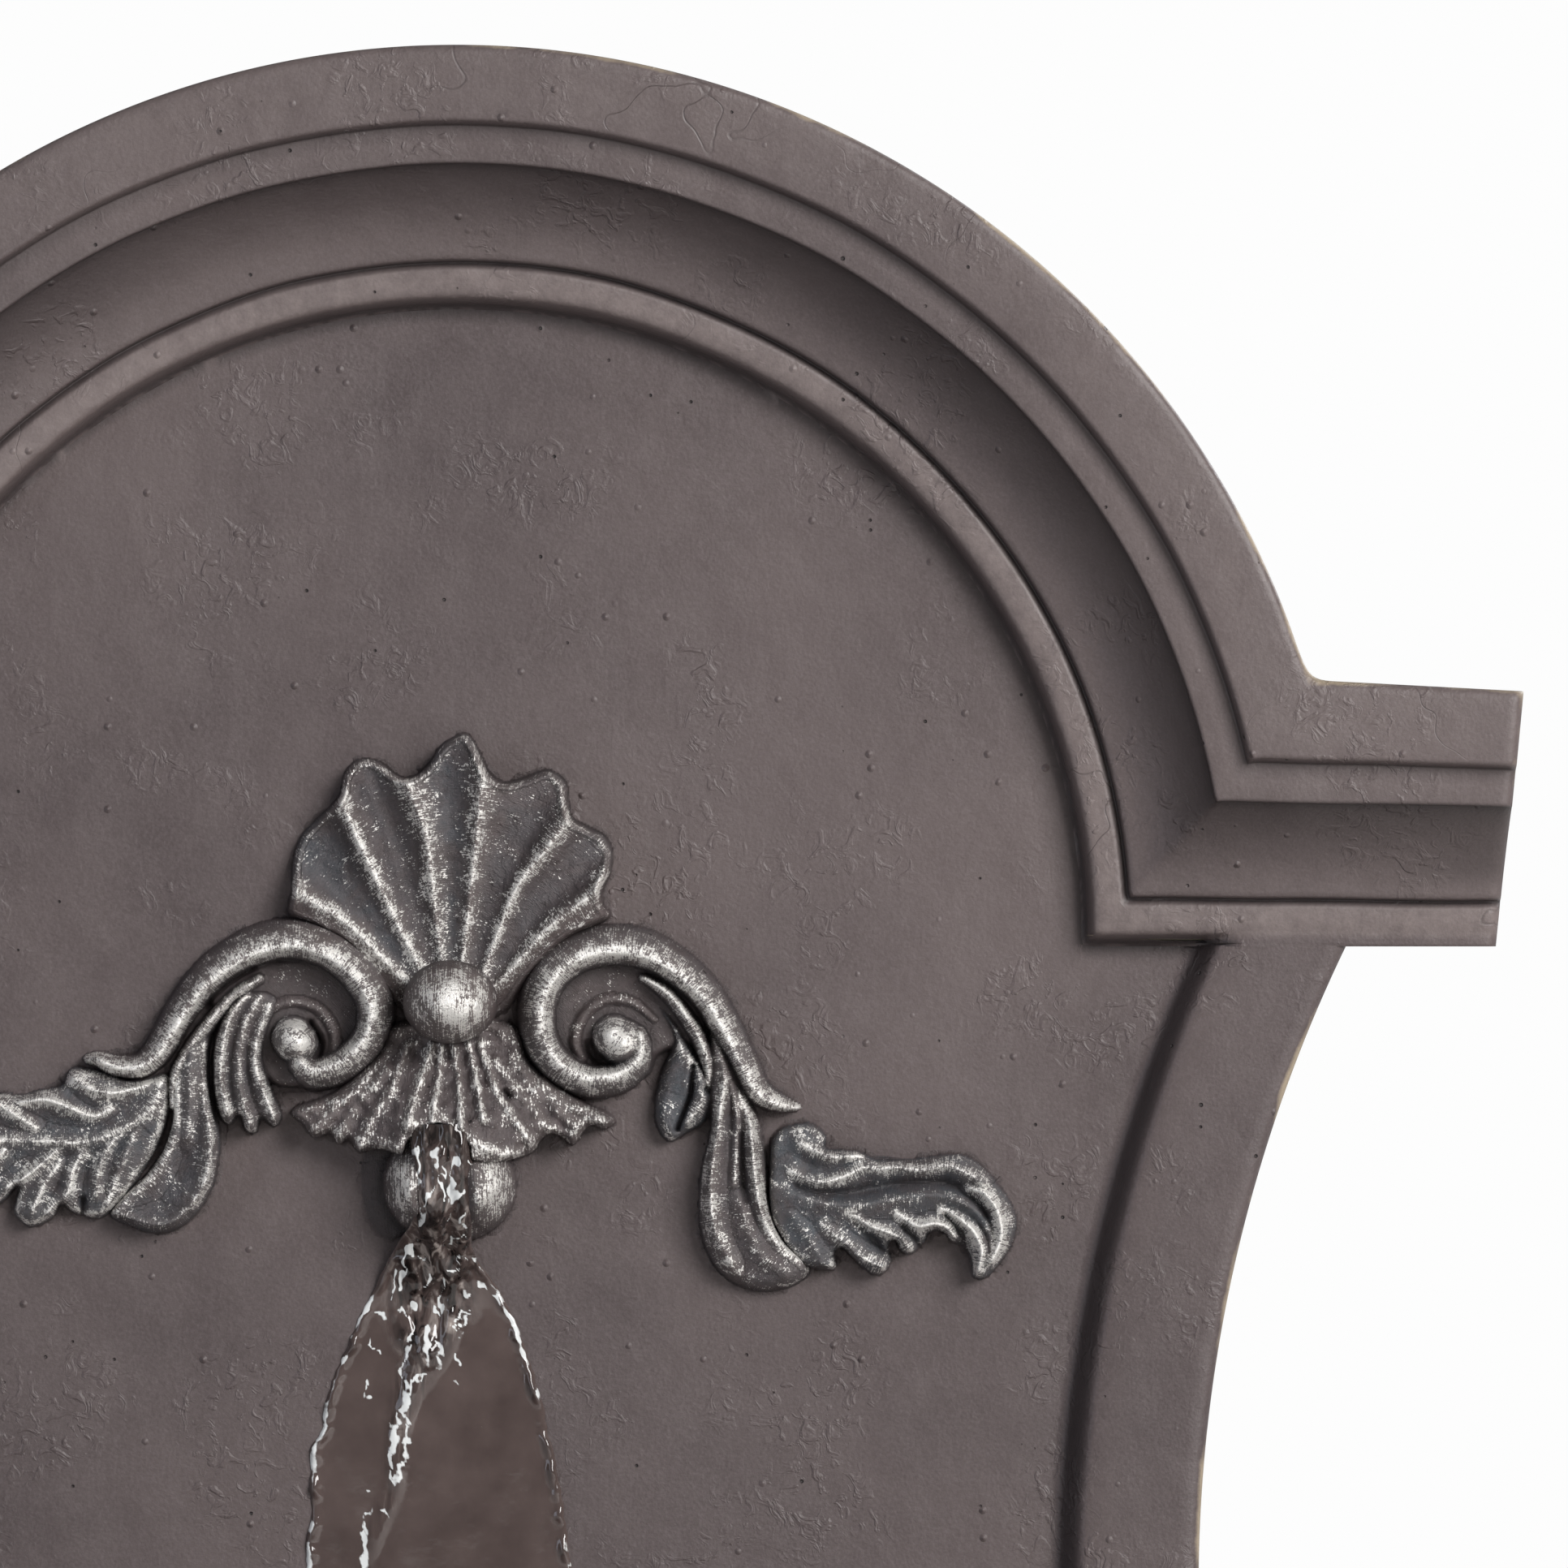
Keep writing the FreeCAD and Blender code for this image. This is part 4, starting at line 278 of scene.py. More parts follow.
        # A nearly dry brush leaves silver in streaks along a roll or fold, broken by the stone's grain.
        stroke = add(tree, "CombineXYZ", {"X": share["along"], "Y": share["aside"]})[0]
        streak = add(tree, "TexNoise", {"Vector": stroke, "Scale": 1.0, "Detail": 2.0,
                                        "Roughness": 0.6})["Fac"]
        grip = 0.0
        for part, weight in ((streak, 4.4), (field["speck"], 5.4), (field["patch"], 3.2)):
            grip = add(tree, "Math", {0: part, 1: weight, 2: grip}, operation="MULTIPLY_ADD")[0]
        laid = add(tree, "Math", {0: field["silver"], 1: grip}, operation="ADD")[0]
        metal = add(tree, "MapRange", {"Value": laid, "From Min": 7.0, "From Max": 7.4})[0]
        gloss = add(tree, "MapRange", {"Value": metal, "To Min": gloss, "To Max": 0.47})[0]
        lustre = add(tree, "Math", {0: metal, 1: 0.72}, operation="MULTIPLY")[0]
        feed(tree, shader, {"Metallic": lustre})
        coats.append((metal, "#f0eeea"))
        reliefs.append((grip, 0.07))
    colour = linear("#433a3a")
    for amount, shade in coats:
        colour = add(tree, "Mix", {0: amount, 6: colour, 7: linear(shade)}, data_type="RGBA")[2]
    surface = (0, 0, 0)
    for height, distance in reliefs:
        surface = add(tree, "Bump", {"Distance": distance * MM, "Height": height, "Normal": surface})[0]
    feed(tree, shader, {"Base Color": colour, "Roughness": gloss, "IOR": 1.5, "Normal": surface})
    return material


panel_paint = cast_paint("taupe_painted_cast_stone", silvered=False)
carved_paint = cast_paint("silver_brushed_cast_stone", silvered=True)


def waist_edge(level, reach, radius):
    """Half width at a height of a waist curve that is narrowest at the waist."""
    return reach + radius - np.sqrt(np.maximum(radius ** 2 - (level - waist_level) ** 2, 0))


body_ear = float(waist_edge(ear_level, waist_reach, waist_radius))


def body_edge(level):
    """Half width of the panel below the shoulders."""
    span = math.hypot(body_ear - foot_reach, ear_level - foot_level) / 2
    lift = math.sqrt(foot_radius ** 2 - span ** 2)
    along = math.atan2(ear_level - foot_level, body_ear - foot_reach)
    centre_x = (body_ear + foot_reach) / 2 - lift * math.sin(along)
    centre_z = (ear_level + foot_level) / 2 + lift * math.cos(along)
    foot = centre_x + np.sqrt(np.maximum(foot_radius ** 2 - (level - centre_z) ** 2, 0))
    waist = waist_edge(np.maximum(level, ear_level), waist_reach, waist_radius)
    return np.where(level > ear_level, waist, foot)


def strip_edge(level):
    """Half width of the field between the strips."""
    inner = waist_edge(np.maximum(level, ear_level), strip_waist, strip_radius)
    return np.where(level > ear_level, inner, body_edge(level) * inner / body_ear)


def body_depth(x, level):
    """How far the field or the strip stands off the wall."""
    beyond = np.abs(x) - strip_edge(level) + strip_lap
    steep = np.clip(beyond / strip_bevel, 0, 1)
    gentle = np.clip(beyond / strip_round, 0, 1)
    share = 0.72 * steep ** 1.2 * (1.6 - 0.6 * steep) + 0.28 * (1 - (1 - gentle) ** 2)
    rise = share * (strip_face - field_front)
    return field_front + rise * np.clip((level - strip_foot) / 4 + 1, 0, 1)


def ripple(points, size, height, seed):
    """Uneven swelling of a cast surface at points in millimetres."""
    flat = points.reshape(-1, 3) / size + seed
    values = [noise.noise(Vector(point)) for point in flat]
    return np.array(values).reshape(points.shape[:-1]) * height


def shaped_grid(points, **layers):
    """A grid whose rows and columns of vertices are moved to the given points, in millimetres."""
    rows, columns = points.shape[:2]
    grid = bmesh.new()
    bmesh.ops.create_grid(grid, x_segments=columns - 1, y_segments=rows - 1, size=0.5)
    for vertex, point in zip(grid.verts, points.reshape(-1, 3)):
        vertex.co = Vector(point) * MM
    for name, values in layers.items():
        layer = grid.verts.layers.float.new(name)
        for vertex, value in zip(grid.verts, values.ravel()):
            vertex[layer] = value
    return grid


def merged(meshes, distance=0.02 * MM):
    """Several bmeshes as one, with their shared edges closed."""
    whole = bmesh.new()
    for mesh in meshes:
        spare = bpy.data.meshes.new("spare")
        mesh.to_mesh(spare)
        mesh.free()
        whole.from_mesh(spare)
        bpy.data.meshes.remove(spare)
    bmesh.ops.remove_doubles(whole, verts=whole.verts, dist=distance)
    return whole


def rounded(corners, steps=4):
    """Points of an outline whose corners (u, depth, radius) are turned into short arcs."""
    points = []
    for index, (u, depth, radius) in enumerate(corners):
        here = np.array((u, depth))
        if radius == 0 or index in (0, len(corners) - 1):
            points.append(here)
            continue
        before = np.array(corners[index - 1][:2])
        after = np.array(corners[index + 1][:2])
        arrive = (before - here) / np.linalg.norm(before - here)
        leave = (after - here) / np.linalg.norm(after - here)
        reach = min(radius, np.linalg.norm(before - here) / 2, np.linalg.norm(after - here) / 2)
        for step in range(steps + 1):
            share = step / steps
            points.append(here + arrive * reach * (1 - share) ** 2 + leave * reach * share ** 2)
    return np.array(points)


# The moulding's section, from the wall over the fascia, band, cove and bead down to the field.
cove_u, cove_front, cove_width, cove_rise = 29.0, 60.0, 22.2, 15.6
cove_sag = 2.9
band_face = 62.0
cove = []
for share in np.linspace(0, 1, 12)[1:-1]:
    sag = 4 * cove_sag * share * (1 - share)
    cove.append((cove_u + cove_width * share, cove_front - cove_rise * share - sag, 0))
bead_face = strip_face + 0.6
section = rounded(
    [(0, 0, 0), (0, 22, 0), (0, 44, 0), (0, front_face, edge_round), (6, front_face, 0), (12, front_face, 0),
     (18.5, front_face, 1.0), (19.8, band_face, 0.5), (24, band_face, 0), (cove_u, band_face, 0.9),
     (29.2, cove_front, 0.3)]
    + cove
    + [(51.2, 44.4, 0.7), (52.2, 43.8, 0.5), (52.8, 40.8, 0.5), (53.7, 41.4, 0.6), (54.6, bead_face, 1.0),
       (57.6, bead_face, 0), (61.4, strip_face, 2.4), (62.9, 33.6, 0.9), (moulding_width, field_front, 0)])
section_u, section_depth = section[:, 0], section[:, 1]


def hollow_share(u, depth):
    """How deep a point of the section lies in a corner, for the dark paint that pools there and the painted
    shade; the cove's outer part gets a ramp of it.
    """
    share = np.where(u > cove_u + 0.1, np.clip(1 - (u - cove_u) / 17, 0, 1) * 0.72, 0)
    corners = ((19.7, 63.0, 1.9), (29.4, 59.6, 3.0), (52.8, 41.0, 2.2), (63.2, 32.4, 3.0))
    for corner_u, corner_depth, reach in corners:
        distance = np.hypot(u - corner_u, depth - corner_depth)
        share = np.maximum(share, np.clip(1.1 * (1 - distance / reach), 0, 0.9))
    return share


def dusted_share(u):
    """How much of the lighter paint a point of the section has caught, on the faces that stand proud."""
    return np.interp(u, (0, 1, 17, 19, 21, 28, 29.5, 42, 51, 52.5, 54.5, 58, 61, 62.5),
                     (0.3, 0.12, 0.1, 0, 0.02, 0.06, 0, 0, 0.06, 0, 0.3, 0.4, 0.3, 0))


# The section runs round the arch, turns at the mitre and goes out along the shoulder.
arch_turns = 150
shoulder_shares = np.concatenate([
    np.linspace(0, 0.12, 6)[1:], np.linspace(0.12, 0.93, 26)[1:], [0.955, 0.975, 0.99, 1.0]])
end_column = arch_turns + len(shoulder_shares)
section_x, section_z = [], []
for u in section_u:
    radius = arch_radius - u
    level = shoulder_top - u
    turn = math.asin(level / radius)
    angles = np.linspace(math.pi / 2, turn, arch_turns + 1)
    lean = u / moulding_width
    end = shoulder_end - shoulder_lean * lean
    mitre = radius * math.cos(turn)
    run_x = mitre + (end - mitre) * shoulder_shares
    run_z = level + shoulder_fall * (1 - lean) * (1 - 2 * shoulder_shares)
    section_x.append(np.concatenate([radius * np.cos(angles), run_x]))
    section_z.append(np.concatenate([radius * np.sin(angles), run_z]))
section_x = np.array(section_x)
section_z = np.array(section_z)
# The mitre where the arch turns into the shoulder is cast soft, most of all on the wall's edge.
near_mitre = slice(arch_turns - 8, arch_turns + 12)
for sweep in range(14):
    for values in (section_x, section_z):
        eased = (values[:, :-2] + 2 * values[:, 1:-1] + values[:, 2:]) / 4
        weight = np.where(section_u < 1, 1.0, 0.22 if sweep < 4 else 0.0)[:, None]
        part = values[:, 1:-1] * (1 - weight) + eased * weight
        values[:, near_mitre] = part[:, near_mitre.start - 1:near_mitre.stop - 1]
# The shoulder's end is rounded over and goes back to the wall.
section_y = np.repeat(section_depth[:, None], section_x.shape[1], axis=1)
leaning_end = shoulder_end - shoulder_lean * section_u[:, None] / moulding_width
past_round = np.clip(1 - (leaning_end - section_x) / edge_round, 0, 1)
end_drop = edge_round * (1 - np.sqrt(1 - past_round ** 2))
section_y = np.maximum(section_y - end_drop, 0)
on_strip = np.maximum(section_y, body_depth(section_x, section_z) - end_drop)
section_y = np.where(section_u[:, None] > 55.8, on_strip, section_y)
to_the_wall = (0.66, 0.33, 0.0)
for share in to_the_wall:
    section_x = np.hstack([section_x, section_x[:, -1:]])
    section_z = np.hstack([section_z, section_z[:, -1:]])
    section_y = np.hstack([section_y, section_y[:, end_column:end_column + 1] * share])
# One more row closes the shoulder from below, where it reaches past the body.
under_x = section_x[-1:]
under_z = section_z[-1:]
beyond = under_x > body_edge(under_z)
under_y = np.where(beyond, 0.0, section_y[-1:])
section_x = np.vstack([section_x, under_x])
section_z = np.vstack([section_z, under_z])
section_y = np.vstack([section_y, under_y])
# Where dark paint has pooled together with painted shade, lighter paint has caught and the outer edges are
# rubbed.
full = np.ones_like(section_x)
rows_u = np.append(section_u, moulding_width)[:, None] * full
recess = np.append(hollow_share(section_u, section_depth), 0)[:, None] * full
recess = recess * np.where(rows_u > 60, section_x < strip_edge(section_z) + 8, 1)
# Painted shade in the outer part of the shoulders' cove, growing towards their ends.
in_cove = np.interp(rows_u, (29, 33, 46, 50), (0, 1, 1, 0))
recess = np.maximum(recess, 0.42 * in_cove * np.clip((section_x - 222) / 25, 0, 1))
dusted = np.append(dusted_share(section_u), 0)[:, None] * full
worn = np.clip(1 - rows_u / 2.5, 0, 1) * np.clip((section_y - front_face + 6) / 4, 0, 1)
worn = np.maximum(worn, np.clip(1 - (shoulder_end - shoulder_lean - section_x + 5) / 5, 0, 1))


def both_ways(values):
    """Whole rows from the right half of a symmetrical piece."""
    return np.hstack([values[:, :0:-1], values])


def both_sides(x, y, z):
    """Whole rows of points from the right half of a symmetrical piece."""
    return np.stack([np.hstack([-x[:, :0:-1], x]), -both_ways(y), both_ways(z)], axis=2)


moulding_points = both_sides(section_x, section_y, section_z)
wobble = ripple(moulding_points, 45.0, 0.5, 3.1) + ripple(moulding_points, 9.0, 0.16, 7.7)
moulding_points[..., 1] += wobble * both_ways(section_y > 1)
between_edges = both_ways((rows_u > 3) & (rows_u < 62))
moulding_points[..., 2] += ripple(moulding_points, 30.0, 0.35, 1.3) * between_edges
moulding = shaped_grid(moulding_points, recess=both_ways(recess), worn=both_ways(worn),
                       dusted=both_ways(dusted))

# The disc: the field within the arch, down to the level of the bead under the shoulders.
arch_x = section_x[-1, :arch_turns + 1]
arch_z = section_z[-1, :arch_turns + 1]
bead_bottom = arch_z[-1]
disc_rows = 44
drop_shares = np.linspace(0, 1, disc_rows)[:, None]
disc_x = np.repeat(arch_x[None, :], disc_rows, axis=0)
disc_z = arch_z[None, :] + (bead_bottom - arch_z[None, :]) * drop_shares
disc_points = both_sides(disc_x, np.full_like(disc_x, field_front), disc_z)


field_reach = 155.0
blend = 12.0


def field_swell(points):
    """Slow swelling of the field's cast face."""
    return ripple(points, 80.0, 1.0, 5.5) + ripple(points, 22.0, 0.22, 2.2)


def swollen(points):
    """Field points with the swelling of the casting, faded out towards the edges that meet others."""
    x, z = points[..., 0], points[..., 2]
    above = np.clip((field_reach - np.hypot(x, z)) / blend, 0, 1)
    below = np.clip((strip_edge(z) - np.abs(x)) / blend, 0, 1)
    under_shoulder = np.clip((bead_bottom - z) / blend, 0, 1)
    beside = np.maximum(np.clip((field_reach - np.abs(x)) / blend, 0, 1), under_shoulder) * below
    shelter = np.where(z > bead_bottom - 0.1, above, beside)
    points[..., 1] += field_swell(points) * shelter * (points[..., 1] < 1 - field_front)
    return points


# Painted shade on the field round the foot of the arch's bead.
disc_recess = both_ways(np.clip(1 - (field_reach - np.hypot(disc_x, disc_z)) / 3, 0, 1) * 0.9)
none = 0 * disc_recess
disc = shaped_grid(swollen(disc_points), recess=disc_recess, worn=none, dusted=none)

# The body: field and strips from the shoulders down to the foot, with rounded outer edges.
levels = np.concatenate([
    np.linspace(bead_bottom, bead_bottom - 8, 5), np.linspace(bead_bottom - 8, ear_level, 84)[1:],
    ear_level + (foot_level - ear_level) * np.sin(np.linspace(0, math.pi / 2, 44)[1:])])
top_inner = float(strip_edge(np.array(bead_bottom)))
field_shares = np.concatenate([arch_x / top_inner, np.linspace(arch_x[-1] / top_inner, 1, 16)[1:]])
strip_shares = np.concatenate([
    np.linspace(0, 0.2, 9)[1:], np.linspace(0.2, 0.45, 6)[1:], np.linspace(0.45, 1, 8)[1:]])
inner_x = strip_edge(levels)[:, None]
outer_x = body_edge(levels)[:, None]
body_x = np.hstack([inner_x * field_shares, inner_x + (outer_x - edge_round - inner_x) * strip_shares])
body_y = body_depth(body_x, levels[:, None] * np.ones_like(body_x))
edge_depth = body_depth(outer_x, levels[:, None])
for inset, fall in ((0.75, 0.75), (0.0, edge_round)):
    body_x = np.hstack([body_x, outer_x - inset])
    body_y = np.hstack([body_y, edge_depth - fall])
for share in to_the_wall:
    body_x = np.hstack([body_x, outer_x])
    body_y = np.hstack([body_y, edge_depth * share])
body_z = levels[:, None] * np.ones_like(body_x)
body_x = np.vstack([body_x, body_x[-1:], body_x[-1:]])
body_z = np.vstack([body_z, body_z[-1:], body_z[-1:]])
body_y = np.vstack([body_y, body_y[-1:] / 2, body_y[-1:] * 0])
body_points = swollen(both_sides(body_x, body_y, body_z))
strip_distance = body_x - strip_edge(body_z)
# Painted shade at the foot of each strip and under the shoulders' bead.
body_recess = np.clip(1.5 - np.abs(strip_distance - 1.4) / 2.2, 0, 0.8) * (body_z > strip_foot)
painted_shadow_under_bead = np.clip(1 - (bead_bottom - body_z) / 3.0, 0, 1) * (np.abs(body_x) > arch_x[-1])
body_recess = np.maximum(body_recess, painted_shadow_under_bead * (strip_distance < 4))
body_worn = np.clip((body_x - body_edge(body_z) + 3.0) / 3.0, 0, 1)
body_worn *= np.clip((body_y - body_depth(body_edge(body_z), body_z) + 5.5) / 3, 0, 1)
body_dusted = 0.06 * np.exp(-((strip_distance - 9) / 4.0) ** 2) * (body_z > strip_foot)
body = shaped_grid(body_points, recess=both_ways(body_recess), worn=both_ways(body_worn),
                   dusted=both_ways(body_dusted))

panel_mesh = merged([moulding, disc, body])
bmesh.ops.recalc_face_normals(panel_mesh, faces=panel_mesh.faces)
panel_face = new_piece("panel_face", panel_mesh, panel_paint)

# Back of the panel: the open side of the mould, left as raw stone, with its hollows, hanging rib
# and holes. The faces that the painted front covers are taken off.
raw_cast, tree, shader = new_material("raw_cast_stone")
place = add(tree, "TexCoord")["Object"]
# It shows what the paint hides: sand in light and dark specks, a rough skin without any shine, and
# slow buff stains where the cement dried unevenly.
sand = add(tree, "TexNoise", {"Vector": place, "Scale": 1 / (2 * MM), "Detail": 5.0,
                              "Roughness": 0.7})["Fac"]
stain = add(tree, "TexNoise", {"Vector": place, "Scale": 1 / (60 * MM), "Detail": 4.0})["Fac"]
tone = add(tree, "Mix", {0: stain, 6: linear("#7d7264"), 7: linear("#a09480")}, data_type="RGBA")[2]
tone = add(tree, "Mix", {0: sand, 6: linear("#6a6156"), 7: tone}, data_type="RGBA")[2]
bump = add(tree, "Bump", {"Strength": 0.8, "Distance": 0.6 * MM, "Height": sand})["Normal"]
feed(tree, shader, {"Base Color": tone, "Roughness": 0.85, "Normal": bump})

behind = bmesh.new()
behind.from_mesh(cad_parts["back_panel"].data)
bmesh.ops.remove_doubles(behind, verts=behind.verts, dist=0.01 * MM)
front_faces = BVHTree.FromPolygons([vertex.co for vertex in panel_face.data.vertices],
                                   [face.vertices for face in panel_face.data.polygons])
search = 8 * MM
under_face = 3 * MM
sharp_angle = math.radians(12)


def covered(face):
    """True for a face of the casting that the painted front stands for, or that lies just under it."""
    centre = face.calc_center_median()
    place, facing = front_faces.find_nearest(centre, search)[:2]
    if place is None:
        return False
    if facing.dot(face.normal) > 0.4:
        return True
    return (centre - place).dot(facing) > -under_face and centre.y < -under_face


bmesh.ops.delete(behind, geom=[face for face in behind.faces if covered(face)], context="FACES")
for edge in behind.edges:
    edge.smooth = edge.calc_face_angle(0.0) < sharp_angle
panel_back = new_piece("panel_back", behind, raw_cast)
flat_walls = panel_back.modifiers.new("flat walls", "WEIGHTED_NORMAL")
flat_walls.keep_sharp = True
flat_walls.weight = 100
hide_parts("back_panel")
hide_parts("back_panel")


# Carvings: small castings in the same stone, bonded to the field under a skin of paint. Their
# hollows keep the dark paint with a cool grey cast, deepened with painted shade, and a nearly dry
# brush of silver has caught the crests in broken streaks. Each is a relief over the field, raised
# in smooth rolls and leaves.
cell = 0.42


def smooth_line(points, gap=0.7):
    """A smooth line through points; further values of each point change smoothly along it too."""
    points = np.array(points, float)
    chain = np.vstack([2 * points[0] - points[1], points, 2 * points[-1] - points[-2]])
    runs = []
    for before, start, end, after in zip(chain[:-3], chain[1:-2], chain[2:-1], chain[3:]):
        count = max(2, int(np.linalg.norm(end[:2] - start[:2]) / gap))
        t = np.linspace(0, 1, count, endpoint=False)[:, None]
        runs.append(start + (end - before) * t / 2 + (2 * before - 5 * start + 4 * end - after) * t ** 2 / 2
                    + (3 * start - before - 3 * end + after) * t ** 3 / 2)
    return np.vstack(runs + [points[-1:]])


def along(line, x, z):
    """Distance to a line, its side (positive on the left) and the line's own values there."""
    distance = np.full(x.shape, np.inf)
    side = np.zeros_like(x)
    values = np.zeros(x.shape + (line.shape[1] - 2,))
    for start, end in zip(line[:-1], line[1:]):
        run = end[:2] - start[:2]
        over_x, over_z = x - start[0], z - start[1]
        share = np.clip((over_x * run[0] + over_z * run[1]) / (run @ run), 0, 1)
        gap = np.hypot(over_x - share * run[0], over_z - share * run[1])
        closer = gap < distance
        distance = np.where(closer, gap, distance)
        side = np.where(closer, run[0] * over_z - run[1] * over_x, side)
        values[closer] = start[2:] + share[closer][:, None] * (end[2:] - start[2:])
    return distance, side, values


def inside(corners, x, z):
    """Distance inside a closed smooth outline, negative outside it."""
    corners = np.array(corners, float)
    loop = smooth_line(np.vstack([corners[-2:], corners, corners[:2]]))
    first = int(np.argmin(np.hypot(*(loop - corners[0]).T)))
    last = len(loop) - 1 - int(np.argmin(np.hypot(*(loop[::-1] - corners[0]).T)))
    loop = np.vstack([loop[first:last], loop[first:first + 1]])
    within = np.zeros(x.shape, bool)
    for (x0, z0), (x1, z1) in zip(loop[:-1], loop[1:]):
        if z0 != z1:
            within ^= ((z0 > z) != (z1 > z)) & (x < (x1 - x0) * (z - z0) / (z1 - z0) + x0)
    distance = along(loop, x, z)[0]
    return np.where(within, distance, -distance)


def traced(points, x, z):
    """The smooth line through points seen from a grid, with the length along it as its last value."""
    line = smooth_line(points)
    length = np.append(0, np.cumsum(np.hypot(*np.diff(line[:, :2], axis=0).T)))
    distance, side, values = along(np.column_stack([line, length]), x, z)
    return distance, side, np.where(side > 0, values[..., 0], values[..., 1]), values


def soft_step(value, low, high):
    """A rise from 0 to 1 that starts and ends smoothly."""
    share = np.clip((value - low) / (high - low), 0, 1)
    return share * share * (3 - 2 * share)


def roll(x, z, points, silver=0.5, brush=1.6, fullness=0.5, cool=0.2, lean=0.0):
    """A rounded roll along a line of points: x, z, reach to the left, to the right, height."""
    distance, side, reach, values = traced(points, x, z)
    share = np.clip(distance / reach, 0, 1)
    height = values[..., 2] * (1 - share ** 2) ** fullness
    off_crest = distance * np.sign(side) - lean
    glint = 1.25 * silver * np.exp(-(off_crest / (1.75 * brush)) ** 2)
    return height, glint, cool, values[..., 3], off_crest


def plate(x, z, corners, height, edge, silver=0.0, cool=0.2, rim=1.2):
    """A raised area within a closed outline, rounded over its edge, with silver on its rim."""
    depth = inside(corners, x, z)
    share = np.clip(depth / edge, 0, 1)
    glint = 1.3 * silver * np.exp(-((depth - rim) / rim) ** 2)
    return height * np.sqrt(1 - (1 - share) ** 2), glint, cool, x + z, x - z


def leaf(x, z, corners, height, edge, folds, silver=0.2, cool=0.5, hollow=1.3):
    """A leaf within an outline, with sharp folds (points as a roll's, silver) and hollows between."""
    depth = inside(corners, x, z)
    share = np.clip(depth / edge, 0, 1)
    rise, reached, glint = np.zeros_like(x), np.zeros_like(x), np.zeros_like(x)
    run, off = x + z, x - z
    for points, fold_silver in folds:
        distance, side, reach, values = traced(points, x, z)
        near = np.exp(-(distance / (0.8 * reach)) ** 1.4)
        above = np.maximum(values[..., 2] - height, 0.4) * near
        run = np.where(above > rise, values[..., 3], run)
        off = np.where(above > rise, distance * np.sign(side), off)
        rise = np.maximum(rise, above)
        reached = np.maximum(reached, np.exp(-(distance / (2.0 * reach)) ** 2))
        glint = np.maximum(glint, 1.15 * fold_silver * np.exp(-(distance / (1.15 * reach)) ** 2))
    glint = np.maximum(glint, 1.2 * silver * np.exp(-((depth - 0.9) / 0.9) ** 2))
    return (height + rise - hollow * (1 - reached)) * np.sqrt(1 - (1 - share) ** 2), glint, cool, run, off


def grooved(layer, x, z, grooves):
    """A layer with soft grooves sunk along lines, each with its points, width and depth."""
    height = layer[0]
    for points, width, depth in grooves:
        distance = along(smooth_line(points), x, z)[0]
        height = height - depth * np.exp(-(distance / width) ** 2) * (height > 0)
    return (height,) + tuple(layer[1:])


def pile(layers, soft=0.3):
    """The layers over one another, with small fillets where they meet."""
    heights, silver, cool, run, off = (
        np.stack([layer[part] + 0 * layer[0] for layer in layers]) for part in range(5))
    peak = heights.max(axis=0)
    top = heights.argmax(axis=0)[None]
    weight = np.exp((heights - peak) / soft)
    total = weight.sum(axis=0)
    height = np.maximum(peak + soft * np.log(total) - soft * math.log(len(layers)), 0)
    return (height, (weight * silver).sum(axis=0) / total, (weight * cool).sum(axis=0) / total,
            np.take_along_axis(run, top, 0)[0], np.take_along_axis(off, top, 0)[0])


def blurred(values, size):
    """Values of a grid blurred over a distance in millimetres."""
    reach = int(3 * size / cell)
    kernel = np.exp(-0.5 * (np.arange(-reach, reach + 1) * cell / size) ** 2)
    kernel /= kernel.sum()
    for axis in (0, 1):
        padded = np.pad(values, [(reach, reach) if axis == at else (0, 0) for at in (0, 1)], mode="edge")
        values = np.apply_along_axis(lambda row: np.convolve(row, kernel, mode="valid"), axis, padded)
    return values


def table(left, right, bottom, top):
    """The x and z of a grid over an area of the field."""
    return np.meshgrid(np.arange(left, right, cell), np.arange(bottom, top, cell))


sunk = 1.5


def relief(name, node, x, z, layer, dark=0.0, seed=0.0):
    """Makes a carving from its layer over the field, with a thin skirt of filler, closed behind."""
    height, silver, cool, run, off = layer
    carved = height > 0.05
    base = np.stack([x, 0 * x - field_front, z], axis=2)
    lumps = ripple(base, 4.5, 0.26, seed + 0.5) + ripple(base, 1.7, 0.2, seed + 4.1)
    skirt = blurred(carved.astype(float), 1.9) * (1.0 + 3.0 * lumps)
    height = np.where(carved, height + 0.5 + lumps, np.where(skirt > 0.05, skirt - 0.3, -sunk))
    points = base.copy()
    points[..., 1] = field_swell(base) - field_front - height
    crest = height - blurred(np.maximum(height, 0), 1.8)
    silver = np.where(carved, 1.6 * silver - 0.6 + 0.3 * np.clip(crest, -1.5, 1), -1.5)
    # Dark paint pools in the hollows with painted shade; painted shade darkens the skirt round the carving's
    # foot, and the painted shade passed in as dark is added.
    pooled_paint_and_painted_shade = np.where(carved, 0.7, 0.9 * np.clip(skirt / 1.2, 0, 1))
    recess = np.clip(np.clip(-crest / 2.2 - 0.05, 0, 1) * pooled_paint_and_painted_shade + dark, 0, 1)
    grid = shaped_grid(points, silver=silver, cool=cool * carved, recess=recess, run=run, off=off)
    sunken = {vertex for vertex, level in zip(grid.verts, height.ravel()) if level == -sunk}
    hidden = [face for face in grid.faces if all(vertex in sunken for vertex in face.verts)]
    bmesh.ops.delete(grid, geom=hidden, context="FACES")
    rim = [edge for edge in grid.edges if edge.is_boundary]
    bmesh.ops.triangle_fill(grid, use_beauty=False, use_dissolve=False, edges=rim)
    bmesh.ops.recalc_face_normals(grid, faces=grid.faces)
    piece = new_piece(name, grid, carved_paint)
    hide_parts(node)
